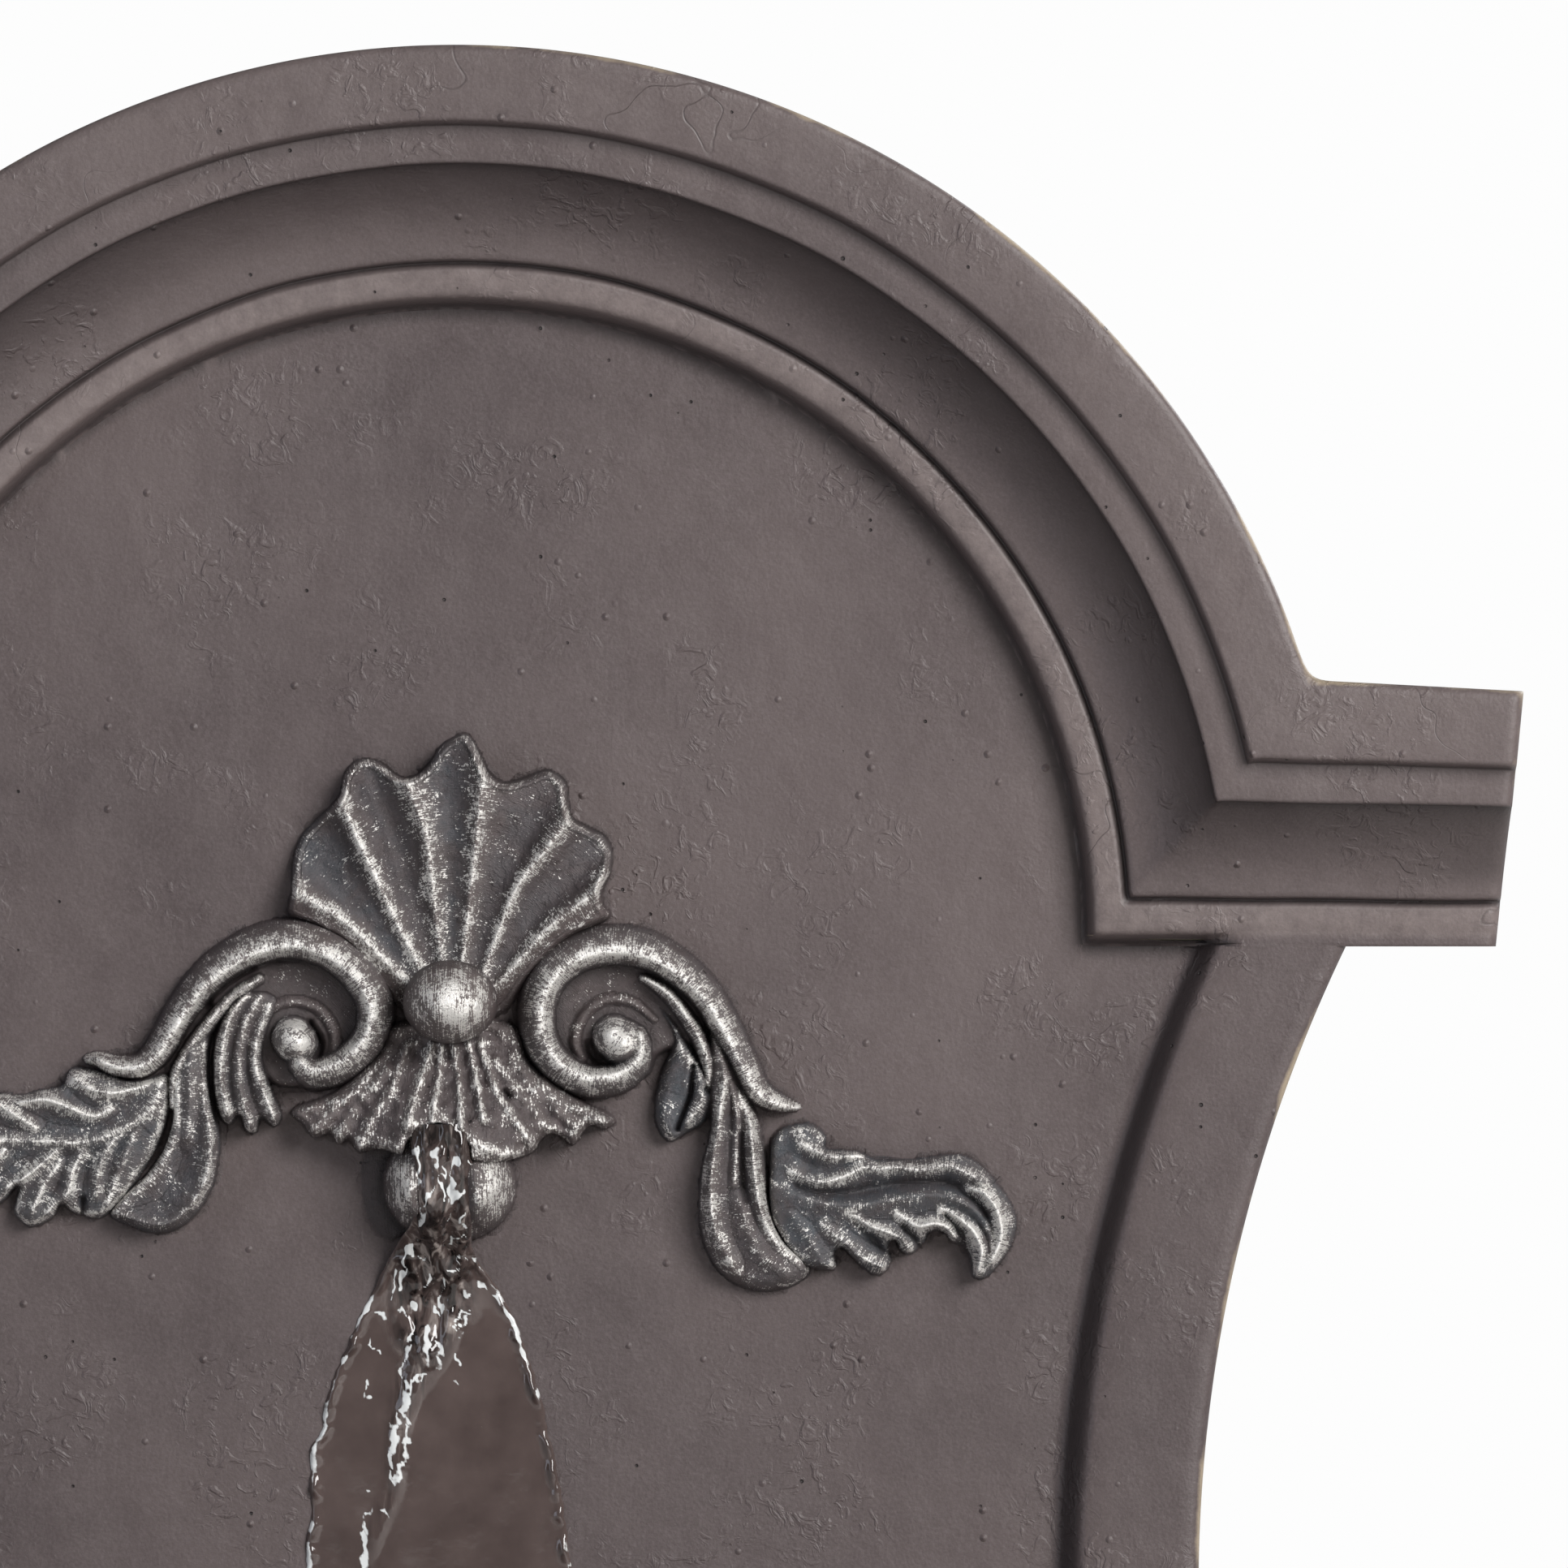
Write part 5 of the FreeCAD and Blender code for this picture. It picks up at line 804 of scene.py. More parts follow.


# Shell: a fan of hollow flutes between narrow ridges, with a scalloped rim that turns up in a
# thin lip. The crests and the lip in the notches are silvered, the hollows are blue-grey, and
# painted shade darkens the side of each flute that faces away from the light.
shell_rim = [
    (1.4, 49.3), (-3.9, 46.7), (-7.1, 42), (-10.1, 39.3), (-13.3, 38.4), (-15.9, 39.6), (-18.9, 42),
    (-22.4, 43.1), (-25.9, 42.2), (-28.3, 39), (-29.5, 33.7), (-35.3, 27.8), (-38.9, 23.7), (-40.8, 17.8),
    (-41.2, 10.8), (-41.8, 4.6), (-35.3, 1.4), (-26.7, -4), (-19.5, -13), (-12, -20), (0, -22), (11, -20),
    (18, -11), (27, -2), (37.2, 3.6), (36, 7.3), (35.9, 10.8), (37.6, 14.9), (38.2, 19.6), (36.4, 23.7),
    (32.3, 26.1), (28.2, 28.6), (27.3, 33.1), (26.4, 37.5), (22.3, 40.2), (16.4, 38.4), (11.7, 37.4),
    (8, 39.3), (6.1, 43.1), (4.1, 47.2)]
shell_foot = (-0.6, -14.0)
shell_ridges = [
    ([(-46, 13), (-40, 10.8), (-26.5, 2), (-18.9, -5.7), (-12.5, -12)], 0.74, 1.5),
    ([
        (-31.5, 41), (-28.9, 33.7), (-23.6, 20.8), (-19.5, 12), (-15.3, 3.1), (-10.1, -7.4), (-8, -12)],
        0.74, 1.4),
    ([(-15.5, 47), (-13, 38.4), (-8.3, 26.1), (-6.5, 14.3), (-5.4, 4.3), (-3.4, -10)], 0.56, 2.6),
    ([(7.5, 47), (6.1, 36.7), (4.6, 21.4), (2.9, 7.3), (0.8, -10)], 0.5, 2.6),
    ([(33.5, 36), (27.6, 28.4), (21.1, 19.6), (15.2, 12), (10.5, 1.4), (6, -11)], 0.68, 1.3),
    ([(44, 17), (37, 13.1), (32.3, 9), (22.3, 1.4), (12.9, -9.2), (9, -13)], 0.74, 1.3)]
x, z = table(-46, 43, -25, 53)
out = np.hypot(x - shell_foot[0], z - shell_foot[1])
bearing = np.arctan2(x - shell_foot[0], z - shell_foot[1])
ridge_bearings = []
shell_silver = np.zeros_like(x)
for points, silver, brush in shell_ridges:
    line = smooth_line(points)
    line_out = np.hypot(line[:, 0] - shell_foot[0], line[:, 1] - shell_foot[1])
    line_bearing = np.arctan2(line[:, 0] - shell_foot[0], line[:, 1] - shell_foot[1])
    order = np.argsort(line_out)
    ridge_bearings.append(np.interp(out, line_out[order], line_bearing[order]))
    brushed = along(line, x, z)[0]
    shell_silver = np.maximum(shell_silver, silver * np.exp(-(brushed / (1.75 * brush)) ** 2))
hollow, cool, flute_painted_shade = np.zeros_like(x), np.zeros_like(x), np.zeros_like(x)
# Each flute with the place and height of the fold in it, and how cool its hollow is.
flutes = ((0.52, 1.0, 0.8), (0.42, 1.3, 0.45), (0.3, 0.0, 0.8), (0.52, 0.7, 0.45), (0.5, 1.2, 0.45))
for (fold, fold_height, cast), low, high in zip(flutes, ridge_bearings[:-1], ridge_bearings[1:]):
    share = np.clip((bearing - low) / np.maximum(high - low, 0.001), 0, 1)
    between = (bearing > low) & (bearing <= high)
    width = (high - low) * out
    depth = np.clip(width * 0.42, 0, 7.0)
    trough = 1 - np.abs(2 * share - 1) ** 1.9
    raised = fold_height * np.exp(-((share - fold) / 0.13) ** 2) * np.clip(out / 40, 0, 1)
    # Painted shade on the side of the flute that faces away from the light.
    painted_lee_shade = 0.62 * np.exp(-((share - 0.86) / 0.09) ** 2) * np.clip(width / 9, 0, 1)
    hollow = np.where(between, depth * trough - raised, hollow)
    cool = np.where(between, trough * cast, cool)
    flute_painted_shade = np.where(between, painted_lee_shade, flute_painted_shade)
beyond = np.maximum(ridge_bearings[0] - bearing, bearing - ridge_bearings[-1]) * out
hollow = np.where(beyond > 0, np.clip(beyond * 0.8, 0, 6), hollow)
crown = (7.0 + 10.5 * soft_step(out, 4, 50)) * (1 - 0.42 * soft_step(-x, 0, 38))
rim_depth = inside(shell_rim, x, z)
notch = np.clip(1 - np.abs(hollow) / 2.2, 0, 1)
lip = np.exp(-((rim_depth - 1.1) / 1.1) ** 2)
rim_round = np.clip(1 - (1 - np.clip(rim_depth / 1.9, 0, 1)) ** 2.2, 0, 1)
height = np.where(rim_depth > 0, (crown - blurred(hollow, 0.5) + 1.1 * lip) * rim_round, 0)
shell_silver = np.maximum(shell_silver, lip * (0.28 + 0.62 * soft_step(notch, 0.1, 0.8)) * (z > 6))
along_rim = lip > 0.3
run = np.where(along_rim, bearing * 40, out)
off = np.where(along_rim, out, bearing * 40)
shell = (height, 1.1 * shell_silver, cool, run, off)
relief("shell", "shell_crest", x, z, shell, dark=flute_painted_shade * (rim_depth > 1.5), seed=1.0)

# Ball: a flattened sphere cast in the same stone and bonded to the field under the shell, brushed
# with silver in upright strokes that leave its sides dark, deepened with painted shade. A painted
# highlight adds silver on its right, where the light falls.
ball_centre = (-1.8, -17.0)
ball_half_width = 11.7
ball_half_height = 10.3
ball_seat = 43.0
ball_front = 64.0
ball_steps = 56
ball_mesh = bmesh.new()
bmesh.ops.create_uvsphere(ball_mesh, u_segments=2 * ball_steps, v_segments=ball_steps, radius=1.0)
marks = ball_mesh.verts.layers.float
silver_with_painted_highlight, shade, run, off = (marks.new(key) for key in ("silver", "recess", "run", "off"))
for vertex in ball_mesh.verts:
    unit = vertex.co.copy()
    streak = noise.noise(Vector((unit.x * 9, 3.7, unit.z * 0.9)))
    streak += 0.5 * noise.noise(Vector((unit.x * 22, 8.1, unit.z * 1.6)))
    front = max(0.0, -unit.y)
    # Painted highlight: more silver on the right of the ball, where the key light falls.
    painted_highlight = 0.7 * math.exp(-((unit.x - 0.35) / 0.35) ** 2)
    vertex[silver_with_painted_highlight] = 1.6 * front - 0.85 + 0.6 * streak - 0.4 * abs(unit.z) + painted_highlight
    # Painted shade on the ball's sides, away from its front.
    vertex[shade] = max(0.0, 0.8 - 1.3 * front)
    vertex[run] = ball_half_width * unit.x
    vertex[off] = 0.5 * ball_half_height * unit.z
    dent = 1 + 0.02 * noise.noise(unit * 2.5)
    vertex.co = Vector((ball_centre[0] + ball_half_width * unit.x * dent,
                        -ball_seat + (ball_front - ball_seat) * unit.y * dent,
                        ball_centre[1] + ball_half_height * unit.z * dent)) * MM
ball = new_piece("ball", ball_mesh, carved_paint)
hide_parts("centre_boss")

# Right scroll: a thick roll that winds into a ball end, a finer vein inside it, a bud leaf in
# the bend and a hanging strap with two raised edges and a rolled foot.
x, z = table(9, 92, -92, 7)
right_roll = [
    (83.5, -43.4, 0.8, 1.6, 4), (79.5, -42.6, 1.8, 3, 7.5), (73.8, -39.6, 2.6, 4.2, 10),
    (70.2, -32.8, 3, 4.6, 11.5), (65.8, -24.4, 3.2, 5, 12.5), (60.4, -15.8, 3.4, 5.4, 13.5),
    (53.6, -9.6, 3.6, 6, 14), (45.6, -5.4, 3.8, 6.6, 14.5), (37.8, -4.4, 4, 6.8, 15),
    (29.8, -6.4, 4, 6.8, 15.5), (23.6, -11.4, 4, 6.6, 15.5), (20.8, -18.2, 4, 6.2, 15.5),
    (21.2, -25.6, 4, 6, 15.5), (25, -31.8, 3.8, 5.8, 15), (31.6, -35.4, 3.4, 5.6, 14.5),
    (38.6, -35, 3, 5.2, 14), (43.6, -32, 2.8, 4.4, 13.5), (45.4, -28, 2.6, 3, 13), (44.8, -25, 2, 2.4, 12.5)]
strap = [
    (62.6, -24), (60.8, -38), (62.4, -48), (60.2, -58), (59.4, -68), (60.8, -77), (65.4, -84.6),
    (73.4, -88.4), (82, -87.6), (87, -84), (85.6, -80.6), (80.6, -76), (77.4, -69), (76.2, -58), (75, -48),
    (72.6, -42), (69, -33)]
strap_folds = [
    ([
        (64, -25, 1.6, 2.4, 8.6), (65.9, -35.3, 1.8, 2.6, 11), (65, -42.5, 2, 2.8, 11.6),
        (63.7, -50, 2, 3, 11.6), (62.6, -58.6, 2.2, 3, 11.4), (62.6, -66.1, 2.4, 3.2, 11),
        (64, -74, 2.6, 3, 10.2), (67.4, -80.6, 2.6, 3, 9.2)], 0.5),
    ([
        (70, -40, 1.4, 1.6, 8.4), (72.2, -46.1, 2, 1.6, 10.6), (72.8, -53.6, 2.2, 1.6, 11.2),
        (73.8, -62.6, 2.4, 1.6, 11.2), (75.6, -69.8, 2.4, 1.8, 10.8), (79.6, -76, 2.4, 2, 10.2),
        (84.6, -80.4, 1.8, 1.8, 9)], 0.72),
    ([
        (67.4, -37, 1, 1.2, 9.4), (68.9, -44, 1.1, 1.2, 9.8), (69, -53, 1.1, 1.2, 9),
        (68.4, -62, 1.1, 1.2, 8.4)], 0.4),
    ([
        (70, -66, 2.4, 2.4, 8.6), (72, -74, 3, 3, 9.2), (75.6, -80, 3, 3, 9.4), (81, -83.4, 2.4, 2.4, 8.8)],
        0.22)]
right_layers = [
    roll(x, z, right_roll, silver=0.6, brush=2.3, fullness=0.72, cool=0.35, lean=0.3),
    plate(x, z, [
        (20, -12), (34, -6), (48, -8), (58, -16), (60, -26), (50, -30), (46, -36), (34, -38), (22, -32)],
        4.5, 2, cool=0.15),
    roll(x, z, [
        (38.6, -25.6, 6, 6, 14.6), (40.6, -27, 6.6, 6.6, 15.2)],
        silver=0.6, brush=4.6, fullness=0.62, cool=0.6),
    roll(x, z, [
        (30.6, -31, 3.4, 2.6, 6), (29.2, -26.5, 3.4, 2.6, 6.2), (31, -21, 3.4, 2.6, 6.2),
        (36, -16.8, 3.4, 2.6, 6.2), (43, -17.2, 3.2, 2.4, 6), (48.6, -21.5, 2.4, 2, 5.4)],
        silver=0.12, brush=1, fullness=1, cool=0.1),
    roll(x, z, [
        (46, -11, 1.4, 1.8, 9), (51.4, -14.4, 1.9, 2.6, 10.5), (56.3, -20.2, 2.1, 2.8, 10.8),
        (60.2, -26.9, 2.1, 2.8, 10.4), (62, -33.2, 2, 2.4, 9.4), (61.4, -39.8, 1.4, 1.4, 7.5)],
        silver=0.6, brush=1.4, fullness=0.9, cool=0.3),
    leaf(
        x, z,
        [
            (48.4, -17), (53, -26), (50.4, -34), (48.6, -42), (49.2, -47.8), (52.4, -51.6), (56.6, -49.4),
            (60.8, -46.8), (63.2, -41.5), (62.4, -36), (58.6, -30), (54, -22)],
        8, 3.2,
        [([
            (55.6, -28, 1.4, 1.6, 9), (59.6, -34, 1.6, 2, 10.2), (60.4, -41, 1.8, 2, 9.8),
            (57, -46.6, 1.8, 1.6, 8.8)], 0.4)],
        silver=0.12, cool=0.95, hollow=0.6),
    leaf(x, z, strap, 7.4, 3.4, strap_folds, silver=0.12, cool=0.35, hollow=1.6)]
right_grooves = [
    ([(32.4, -27.6), (34, -31), (38, -32.4)], 1, 2.6), ([(69.8, -50), (70.4, -60), (71, -66)], 1, 1.8),
    ([(58.2, -33), (57.4, -40), (54.2, -48.4)], 0.7, 4.5), ([(61.3, -38.6), (61.5, -39)], 0.8, 3)]
right_carving = grooved(pile(right_layers), x, z, right_grooves)
relief("right_scroll_carving", "right_scroll", x, z, right_carving, seed=2.0)

# Right leaf spray: a leaf blown outwards from a deep spine, with soft ridges above it and three
# lobes that curl down to torn tips.
x, z = table(77, 141, -91, -42)
spray_outline = [
    (76.8, -57), (77.6, -51.4), (79.4, -48.8), (81.9, -47.6), (86.7, -46.9), (89.5, -48.4), (91.2, -50.7),
    (90.8, -52.7), (92.6, -53.4), (99.3, -54), (104, -56), (112.3, -55.8), (120.5, -54.7), (124.9, -54.9),
    (128.4, -56.6), (132.4, -60.6), (136, -65.4), (138, -70.6), (137.2, -76.3), (134.4, -81),
    (130.6, -85.2), (127.4, -85), (126.9, -81.6), (125.4, -77.9), (122.2, -76.3), (120.5, -74.4),
    (118.3, -73.5), (116.2, -74.4), (115.2, -76.6), (112, -79.4), (109.7, -78.7), (108.6, -76.8),
    (107.3, -75.9), (106.6, -77.6), (106.9, -81.1), (105.4, -84), (102.4, -84.4), (98.4, -81.1),
    (95.6, -78.3), (94.1, -77.9), (93.1, -79.8), (93.3, -83), (88.6, -83), (84.4, -81.4), (80.4, -76.4),
    (77.6, -70.7), (76.6, -64.2)]
folds = [
    ([
        (85, -52, 1.6, 1.6, 7.6), (89.7, -54.4, 1.6, 1.8, 9), (92.4, -55.2, 1.4, 1.8, 9.4),
        (99, -54.8, 0.9, 1.4, 8.2)], 0.66),
    ([
        (83, -58.8, 1.8, 2.2, 7.8), (86.4, -60.9, 1.8, 2.4, 8.8), (91, -61.4, 1.8, 2.4, 9.2),
        (96, -59.8, 1.8, 2.2, 9.2), (100.6, -57.8, 1.6, 2, 9), (104.9, -58.4, 1.4, 2, 8.6)], 0.56),
    ([
        (104, -58.2, 1.4, 2, 8.6), (108.4, -57.7, 1.6, 2, 9.2), (114.4, -58.6, 1.8, 2, 9.4),
        (120.5, -57.4, 1.8, 2.2, 9.6), (125.4, -59, 1.8, 2.4, 10.2), (129.6, -61.4, 2, 2.4, 10.6)], 0.48),
    ([
        (79.4, -61.8, 1.6, 3, 7.4), (86.2, -65.3, 1.6, 3.4, 8.2), (92.7, -66.8, 1.6, 3.4, 8.8),
        (99.7, -67, 1.6, 3.4, 9.2), (107.9, -65.7, 1.8, 3.2, 9.6), (116.6, -64.6, 1.8, 3, 9.8),
        (123.1, -65.5, 1.8, 2.6, 10), (128.2, -68.6, 1.6, 2, 10), (131.2, -73.6, 1.2, 1.6, 9.6),
        (131.8, -78, 1, 1.2, 9)], 0.14),
    ([
        (126.4, -63.2, 2, 2, 9.6), (130.6, -64.6, 2.4, 2.6, 11), (133.6, -69.4, 2.2, 2.8, 11.6),
        (134.2, -75.2, 2, 2.6, 11), (131.8, -81, 1.8, 2.2, 10)], 0.84),
    ([
        (119.6, -68, 1.4, 1.6, 8.2), (124.4, -70.8, 2, 2.2, 10), (127.6, -74, 2.2, 2.2, 11),
        (129.4, -78.4, 2.2, 2.2, 11), (128.6, -83, 1.6, 1.6, 9)], 0.86),
    ([
        (108.6, -69.2, 1.4, 1.6, 8), (113.1, -72.2, 2, 2, 9.6), (117.2, -71.8, 2.2, 2, 10.6),
        (120.4, -72.4, 1.8, 1.8, 10.4), (122.4, -75, 1.2, 1.2, 9.4)], 0.82),
    ([
        (96.6, -69, 1.2, 1.6, 7.8), (101, -72, 1.8, 2, 9.2), (106, -73.7, 2, 2, 10),
        (109.6, -75.6, 1.6, 1.6, 9.8), (111.4, -78, 1.2, 1.2, 9)], 0.78),
    ([
        (90.6, -72, 2, 2.2, 7.6), (95, -76.2, 2.4, 1.8, 8.4), (99.7, -80, 2.4, 1.6, 8.8),
        (105.2, -82.4, 1.6, 1.4, 8.6)], 0.5),
    ([(82.8, -69.2, 2, 2, 7.4), (86.7, -75, 2.2, 2.2, 7.8), (90.2, -81.4, 2, 2, 7.6)], 0.14)]
spray = leaf(x, z, spray_outline, 6.8, 1.7, folds, silver=0.2, cool=0.95, hollow=2.0)
spray_grooves = [
    ([
        (84, -62.6), (92, -64.4), (101, -63.6), (112, -61.6), (121, -62), (126.4, -64.6), (130, -69.4)],
        1.5, 1.8),
    ([(98.4, -71.4), (102, -74.8), (105, -78.4)], 1, 2.4),
    ([(110.4, -72.4), (112.8, -75.2), (113.8, -77.4)], 0.9, 2.2),
    ([(120.6, -69.6), (123.8, -72.8), (125.4, -76.8)], 0.8, 2.2)]
relief("right_spray_carving", "right_leaf_spray", x, z, grooved(spray, x, z, spray_grooves), seed=3.0)

# Left scroll: the same motif cut by another hand, with a lip that curls over at its tip, a small
# leaf of three folds and a broad hanging leaf with a hollow face and a rolled foot.
x, z = table(-98, -10, -79, 8)
left_roll = [
    (-91.4, -31.2, 1.4, 1.2, 6), (-88.6, -31.4, 2.4, 2, 9.5), (-84.5, -33, 3, 2.6, 11),
    (-78.5, -33.2, 3.8, 2.8, 11.5), (-74, -30.2, 4.6, 2.8, 12), (-70.2, -24.6, 5.2, 2.8, 12.5),
    (-66.4, -18.6, 5.6, 2.8, 13), (-61.4, -12.6, 6.2, 3, 13.5), (-55.4, -8, 6.6, 3.2, 14),
    (-48, -4.4, 7, 3.4, 14.5), (-40.1, -3.2, 7, 3.6, 15), (-32.1, -5.6, 6.8, 3.8, 15.5),
    (-25.2, -11, 6.4, 4, 15.5), (-21.6, -17.6, 6, 4, 15.5), (-22, -24.4, 5.8, 4, 15.5),
    (-26, -29.6, 5.6, 3.8, 15), (-31.2, -33, 5.4, 3.6, 14.5), (-36, -33.8, 5, 3.2, 14),
    (-38.6, -32, 4, 2.8, 13.5)]
left_layers = [
    roll(x, z, left_roll, silver=0.6, brush=2.3, fullness=0.72, cool=0.3, lean=-0.3),
    plate(x, z, [
        (-62, -16), (-52, -8), (-38, -6), (-24, -12), (-22, -26), (-32, -36), (-44, -38), (-50, -32),
        (-54, -24)], 4.5, 2, cool=0.15),
    roll(x, z, [
        (-40.6, -26, 6, 6, 14.5), (-40, -26.8, 6, 6, 14.5)],
        silver=0.66, brush=4.5, fullness=0.6, cool=0.5),
    roll(x, z, [
        (-36, -36, 2.6, 3, 5.4), (-31.6, -31.4, 2.6, 3.4, 6), (-30.6, -25, 2.6, 3.4, 6.2),
        (-34.4, -19, 2.6, 3.4, 6.2), (-41, -17, 2.6, 3.4, 6.2), (-47, -19.6, 2.4, 3, 6),
        (-50, -25, 2, 2.4, 5.4)], silver=0.12, brush=1, fullness=1, cool=0.1),
    roll(x, z, [
        (-49, -11.4, 1.6, 1.6, 10), (-55.6, -15.6, 2, 1.8, 11), (-61, -21.6, 2.2, 1.8, 11),
        (-66.4, -28.6, 2.2, 1.8, 10), (-70, -35.6, 1.8, 1.6, 8.5), (-70.4, -42.6, 1.4, 1.4, 7.5)],
        silver=0.5, brush=1.4, fullness=0.7, cool=0.4),
    leaf(
        x, z,
        [
            (-44, -16), (-50, -14), (-56, -17), (-60.2, -26), (-60.6, -38), (-59, -45.4), (-56.2, -47.4),
            (-54, -45.4), (-52.4, -49), (-49.8, -49.4), (-48.6, -46), (-45.4, -48), (-43.6, -45),
            (-46.2, -38), (-48, -30), (-46, -22)],
        7.4, 1.8,
        [
            ([
                (-51.6, -14.2, 1.4, 1.8, 9), (-56, -20.9, 1.6, 2.2, 10.6), (-57.9, -28.3, 1.6, 2.4, 11),
                (-58.4, -36, 1.6, 2.4, 10.8), (-56.8, -44, 1.6, 2, 10)], 0.66),
            ([
                (-48.4, -15.2, 1.4, 1.6, 8.6), (-52.4, -22.2, 1.6, 1.8, 9.8), (-54, -29.9, 1.6, 1.8, 10.2),
                (-53.6, -38.6, 1.6, 2, 10.2), (-51.4, -47, 1.6, 2, 9.6)], 0.42),
            ([
                (-46.4, -18.6, 1.2, 1.6, 8.2), (-49.6, -26.3, 1.6, 1.8, 9.4), (-49.8, -33.3, 1.6, 1.8, 9.8),
                (-47.6, -40, 1.6, 2, 9.6), (-45.4, -45.4, 1.6, 1.6, 9)], 0.6)],
        silver=0.3, cool=0.5, hollow=2.2),
    leaf(
        x, z,
        [
            (-60, -20), (-61.6, -30), (-61, -40), (-58.8, -50), (-59.8, -60), (-62.8, -67), (-68, -72.4),
            (-74.4, -74.4), (-80.6, -72.6), (-86, -69.6), (-82, -64.4), (-76.8, -59.4), (-72.6, -53),
            (-70.6, -46), (-70.8, -38), (-69, -31), (-65, -24)],
        7.4, 2.6,
        [
            ([
                (-69.4, -33, 2, 1.4, 9), (-70, -44, 2, 1.4, 10.4), (-71.6, -51, 2.2, 1.4, 10.8),
                (-75.6, -57.4, 2.4, 1.4, 10.8), (-80.4, -62.6, 2.2, 1.4, 10.4), (-84.6, -68.6, 1.6, 1.2, 9)],
                0.62),
            ([
                (-61.8, -28, 1.4, 2.2, 9.4), (-61.8, -41, 1.4, 2.6, 10.4), (-60.8, -51, 1.4, 3, 10.6),
                (-61.8, -60.6, 1.6, 3, 10.4), (-65.8, -67.4, 1.8, 2.6, 9.8)], 0.46),
            ([
                (-65.4, -26, 3, 3, 9.8), (-66, -35, 3.2, 3.2, 10.4), (-66, -43, 3, 3, 10),
                (-66.6, -50, 2.6, 2.6, 8.8)], 0.3),
            ([
                (-66.6, -68, 1.8, 1.8, 9.2), (-71, -71.4, 2, 2, 9.4), (-77, -71.4, 2, 2, 9.2),
                (-83.6, -69.4, 1.4, 1.4, 8.6)], 0.2)],
        silver=0.1, cool=0.6, hollow=2.4)]
left_grooves = [
    ([(-50.6, -8.4), (-57.6, -12.6), (-63.6, -19), (-67.8, -25.4)], 0.8, 2.6),
    ([(-34.8, -30.6), (-34, -27), (-36.6, -22.6)], 0.9, 4)]
relief("left_scroll_carving", "left_scroll", x, z, grooved(pile(left_layers), x, z, left_grooves), seed=4.0)

# Left leaf spray: it springs from between the roll and the hanging leaf, wider and flatter than
# the right one, with silver on every edge.
x, z = table(-141, -68, -80, -27)
spray_outline = [
    (-72, -35), (-80, -36.6), (-90, -33.8), (-95.6, -33.6), (-98, -37.6), (-103.6, -38.8), (-107.8, -40),
    (-113, -39.6), (-120, -43), (-127, -47.6), (-133.4, -53), (-136.4, -60), (-134.6, -68), (-130, -74),
    (-126.4, -73), (-125, -67.6), (-121, -66), (-117, -68.6), (-112.6, -66.4), (-108.8, -62.8),
    (-109.6, -69), (-105.8, -72.6), (-100.6, -70.6), (-98, -67.2), (-95, -69.2), (-90.6, -70.4),
    (-86.6, -69.6), (-80, -62), (-74, -52), (-71, -42)]
folds = [
    ([
        (-73.2, -38, 1.6, 1.6, 7), (-76.4, -44, 1.8, 1.8, 8), (-84.5, -49.2, 2, 2, 8.6),
        (-93.1, -51.8, 2, 2, 8.8), (-103, -51.4, 2, 2, 8.8), (-113, -51.4, 2, 2, 8.8),
        (-122, -54.6, 2, 2, 9), (-129, -61, 2, 2, 9.4), (-130.6, -69.6, 1.6, 1.6, 8.4)], 0.42),
    ([
        (-94.6, -35.8, 1.4, 1.4, 7.6), (-90.5, -38.4, 1.8, 2.2, 9.4), (-84.5, -39.4, 1.8, 2.2, 9.6),
        (-77.2, -37.6, 1.4, 1.6, 8)], 0.66),
    ([
        (-107.4, -41.4, 1.6, 1.6, 8), (-101.4, -41.2, 1.8, 2, 9.4), (-96, -43, 1.8, 2, 9.6),
        (-90, -45.2, 1.4, 1.6, 8.6), (-85.6, -43.4, 1.2, 1.2, 7.6)], 0.66),
    ([(-115, -41, 1.6, 1.6, 8), (-110, -44.4, 1.8, 2, 9.4), (-104.4, -48, 1.4, 1.6, 8.4)], 0.74),
    ([(-125.4, -47.6, 1.6, 1.6, 8), (-119, -49.2, 1.8, 2, 9.4), (-113, -51, 1.4, 1.6, 8.4)], 0.7),
    ([
        (-81.2, -48, 1.6, 1.6, 7.6), (-86.2, -53, 1.8, 1.8, 8.6), (-88.6, -58.6, 1.8, 1.8, 9),
        (-89.4, -64.6, 1.8, 1.8, 8.6)], 0.4),
    ([
        (-78, -46, 1.4, 1.4, 7), (-81.4, -53.4, 1.8, 1.8, 8.2), (-84.4, -61, 1.6, 1.6, 8),
        (-86.4, -66.6, 1.2, 1.2, 7)], 0.3),
    ([
        (-92, -53, 1.6, 1.6, 7.8), (-95, -58.6, 1.8, 1.8, 8.8), (-96.4, -64.4, 1.8, 1.8, 9),
        (-101, -69, 1.4, 1.4, 8)], 0.52),
    ([(-98.6, -53.4, 1.6, 1.6, 7.8), (-104.4, -58.4, 1.8, 1.8, 9), (-110.6, -63, 1.6, 1.6, 8.8)], 0.6),
    ([(-98, -56.6, 1.4, 1.4, 7.4), (-102, -62, 1.8, 1.8, 8.4), (-105, -68.4, 1.6, 1.6, 8)], 0.4),
    ([(-112, -54, 1.6, 1.6, 7.8), (-118, -58.4, 1.8, 1.8, 9), (-122.6, -64, 1.6, 1.6, 8.8)], 0.6)]
height, silver, cool, run, off = grooved(
    leaf(x, z, spray_outline, 6.4, 2.2, folds, silver=0.5, cool=0.9), x, z,
    [([(-92.6, -66), (-92.6, -69.6)], 0.9, 3)])
relief("left_spray_carving", "left_leaf_spray", x, z, (height, silver + 0.12, cool, run, off), seed=5.0)
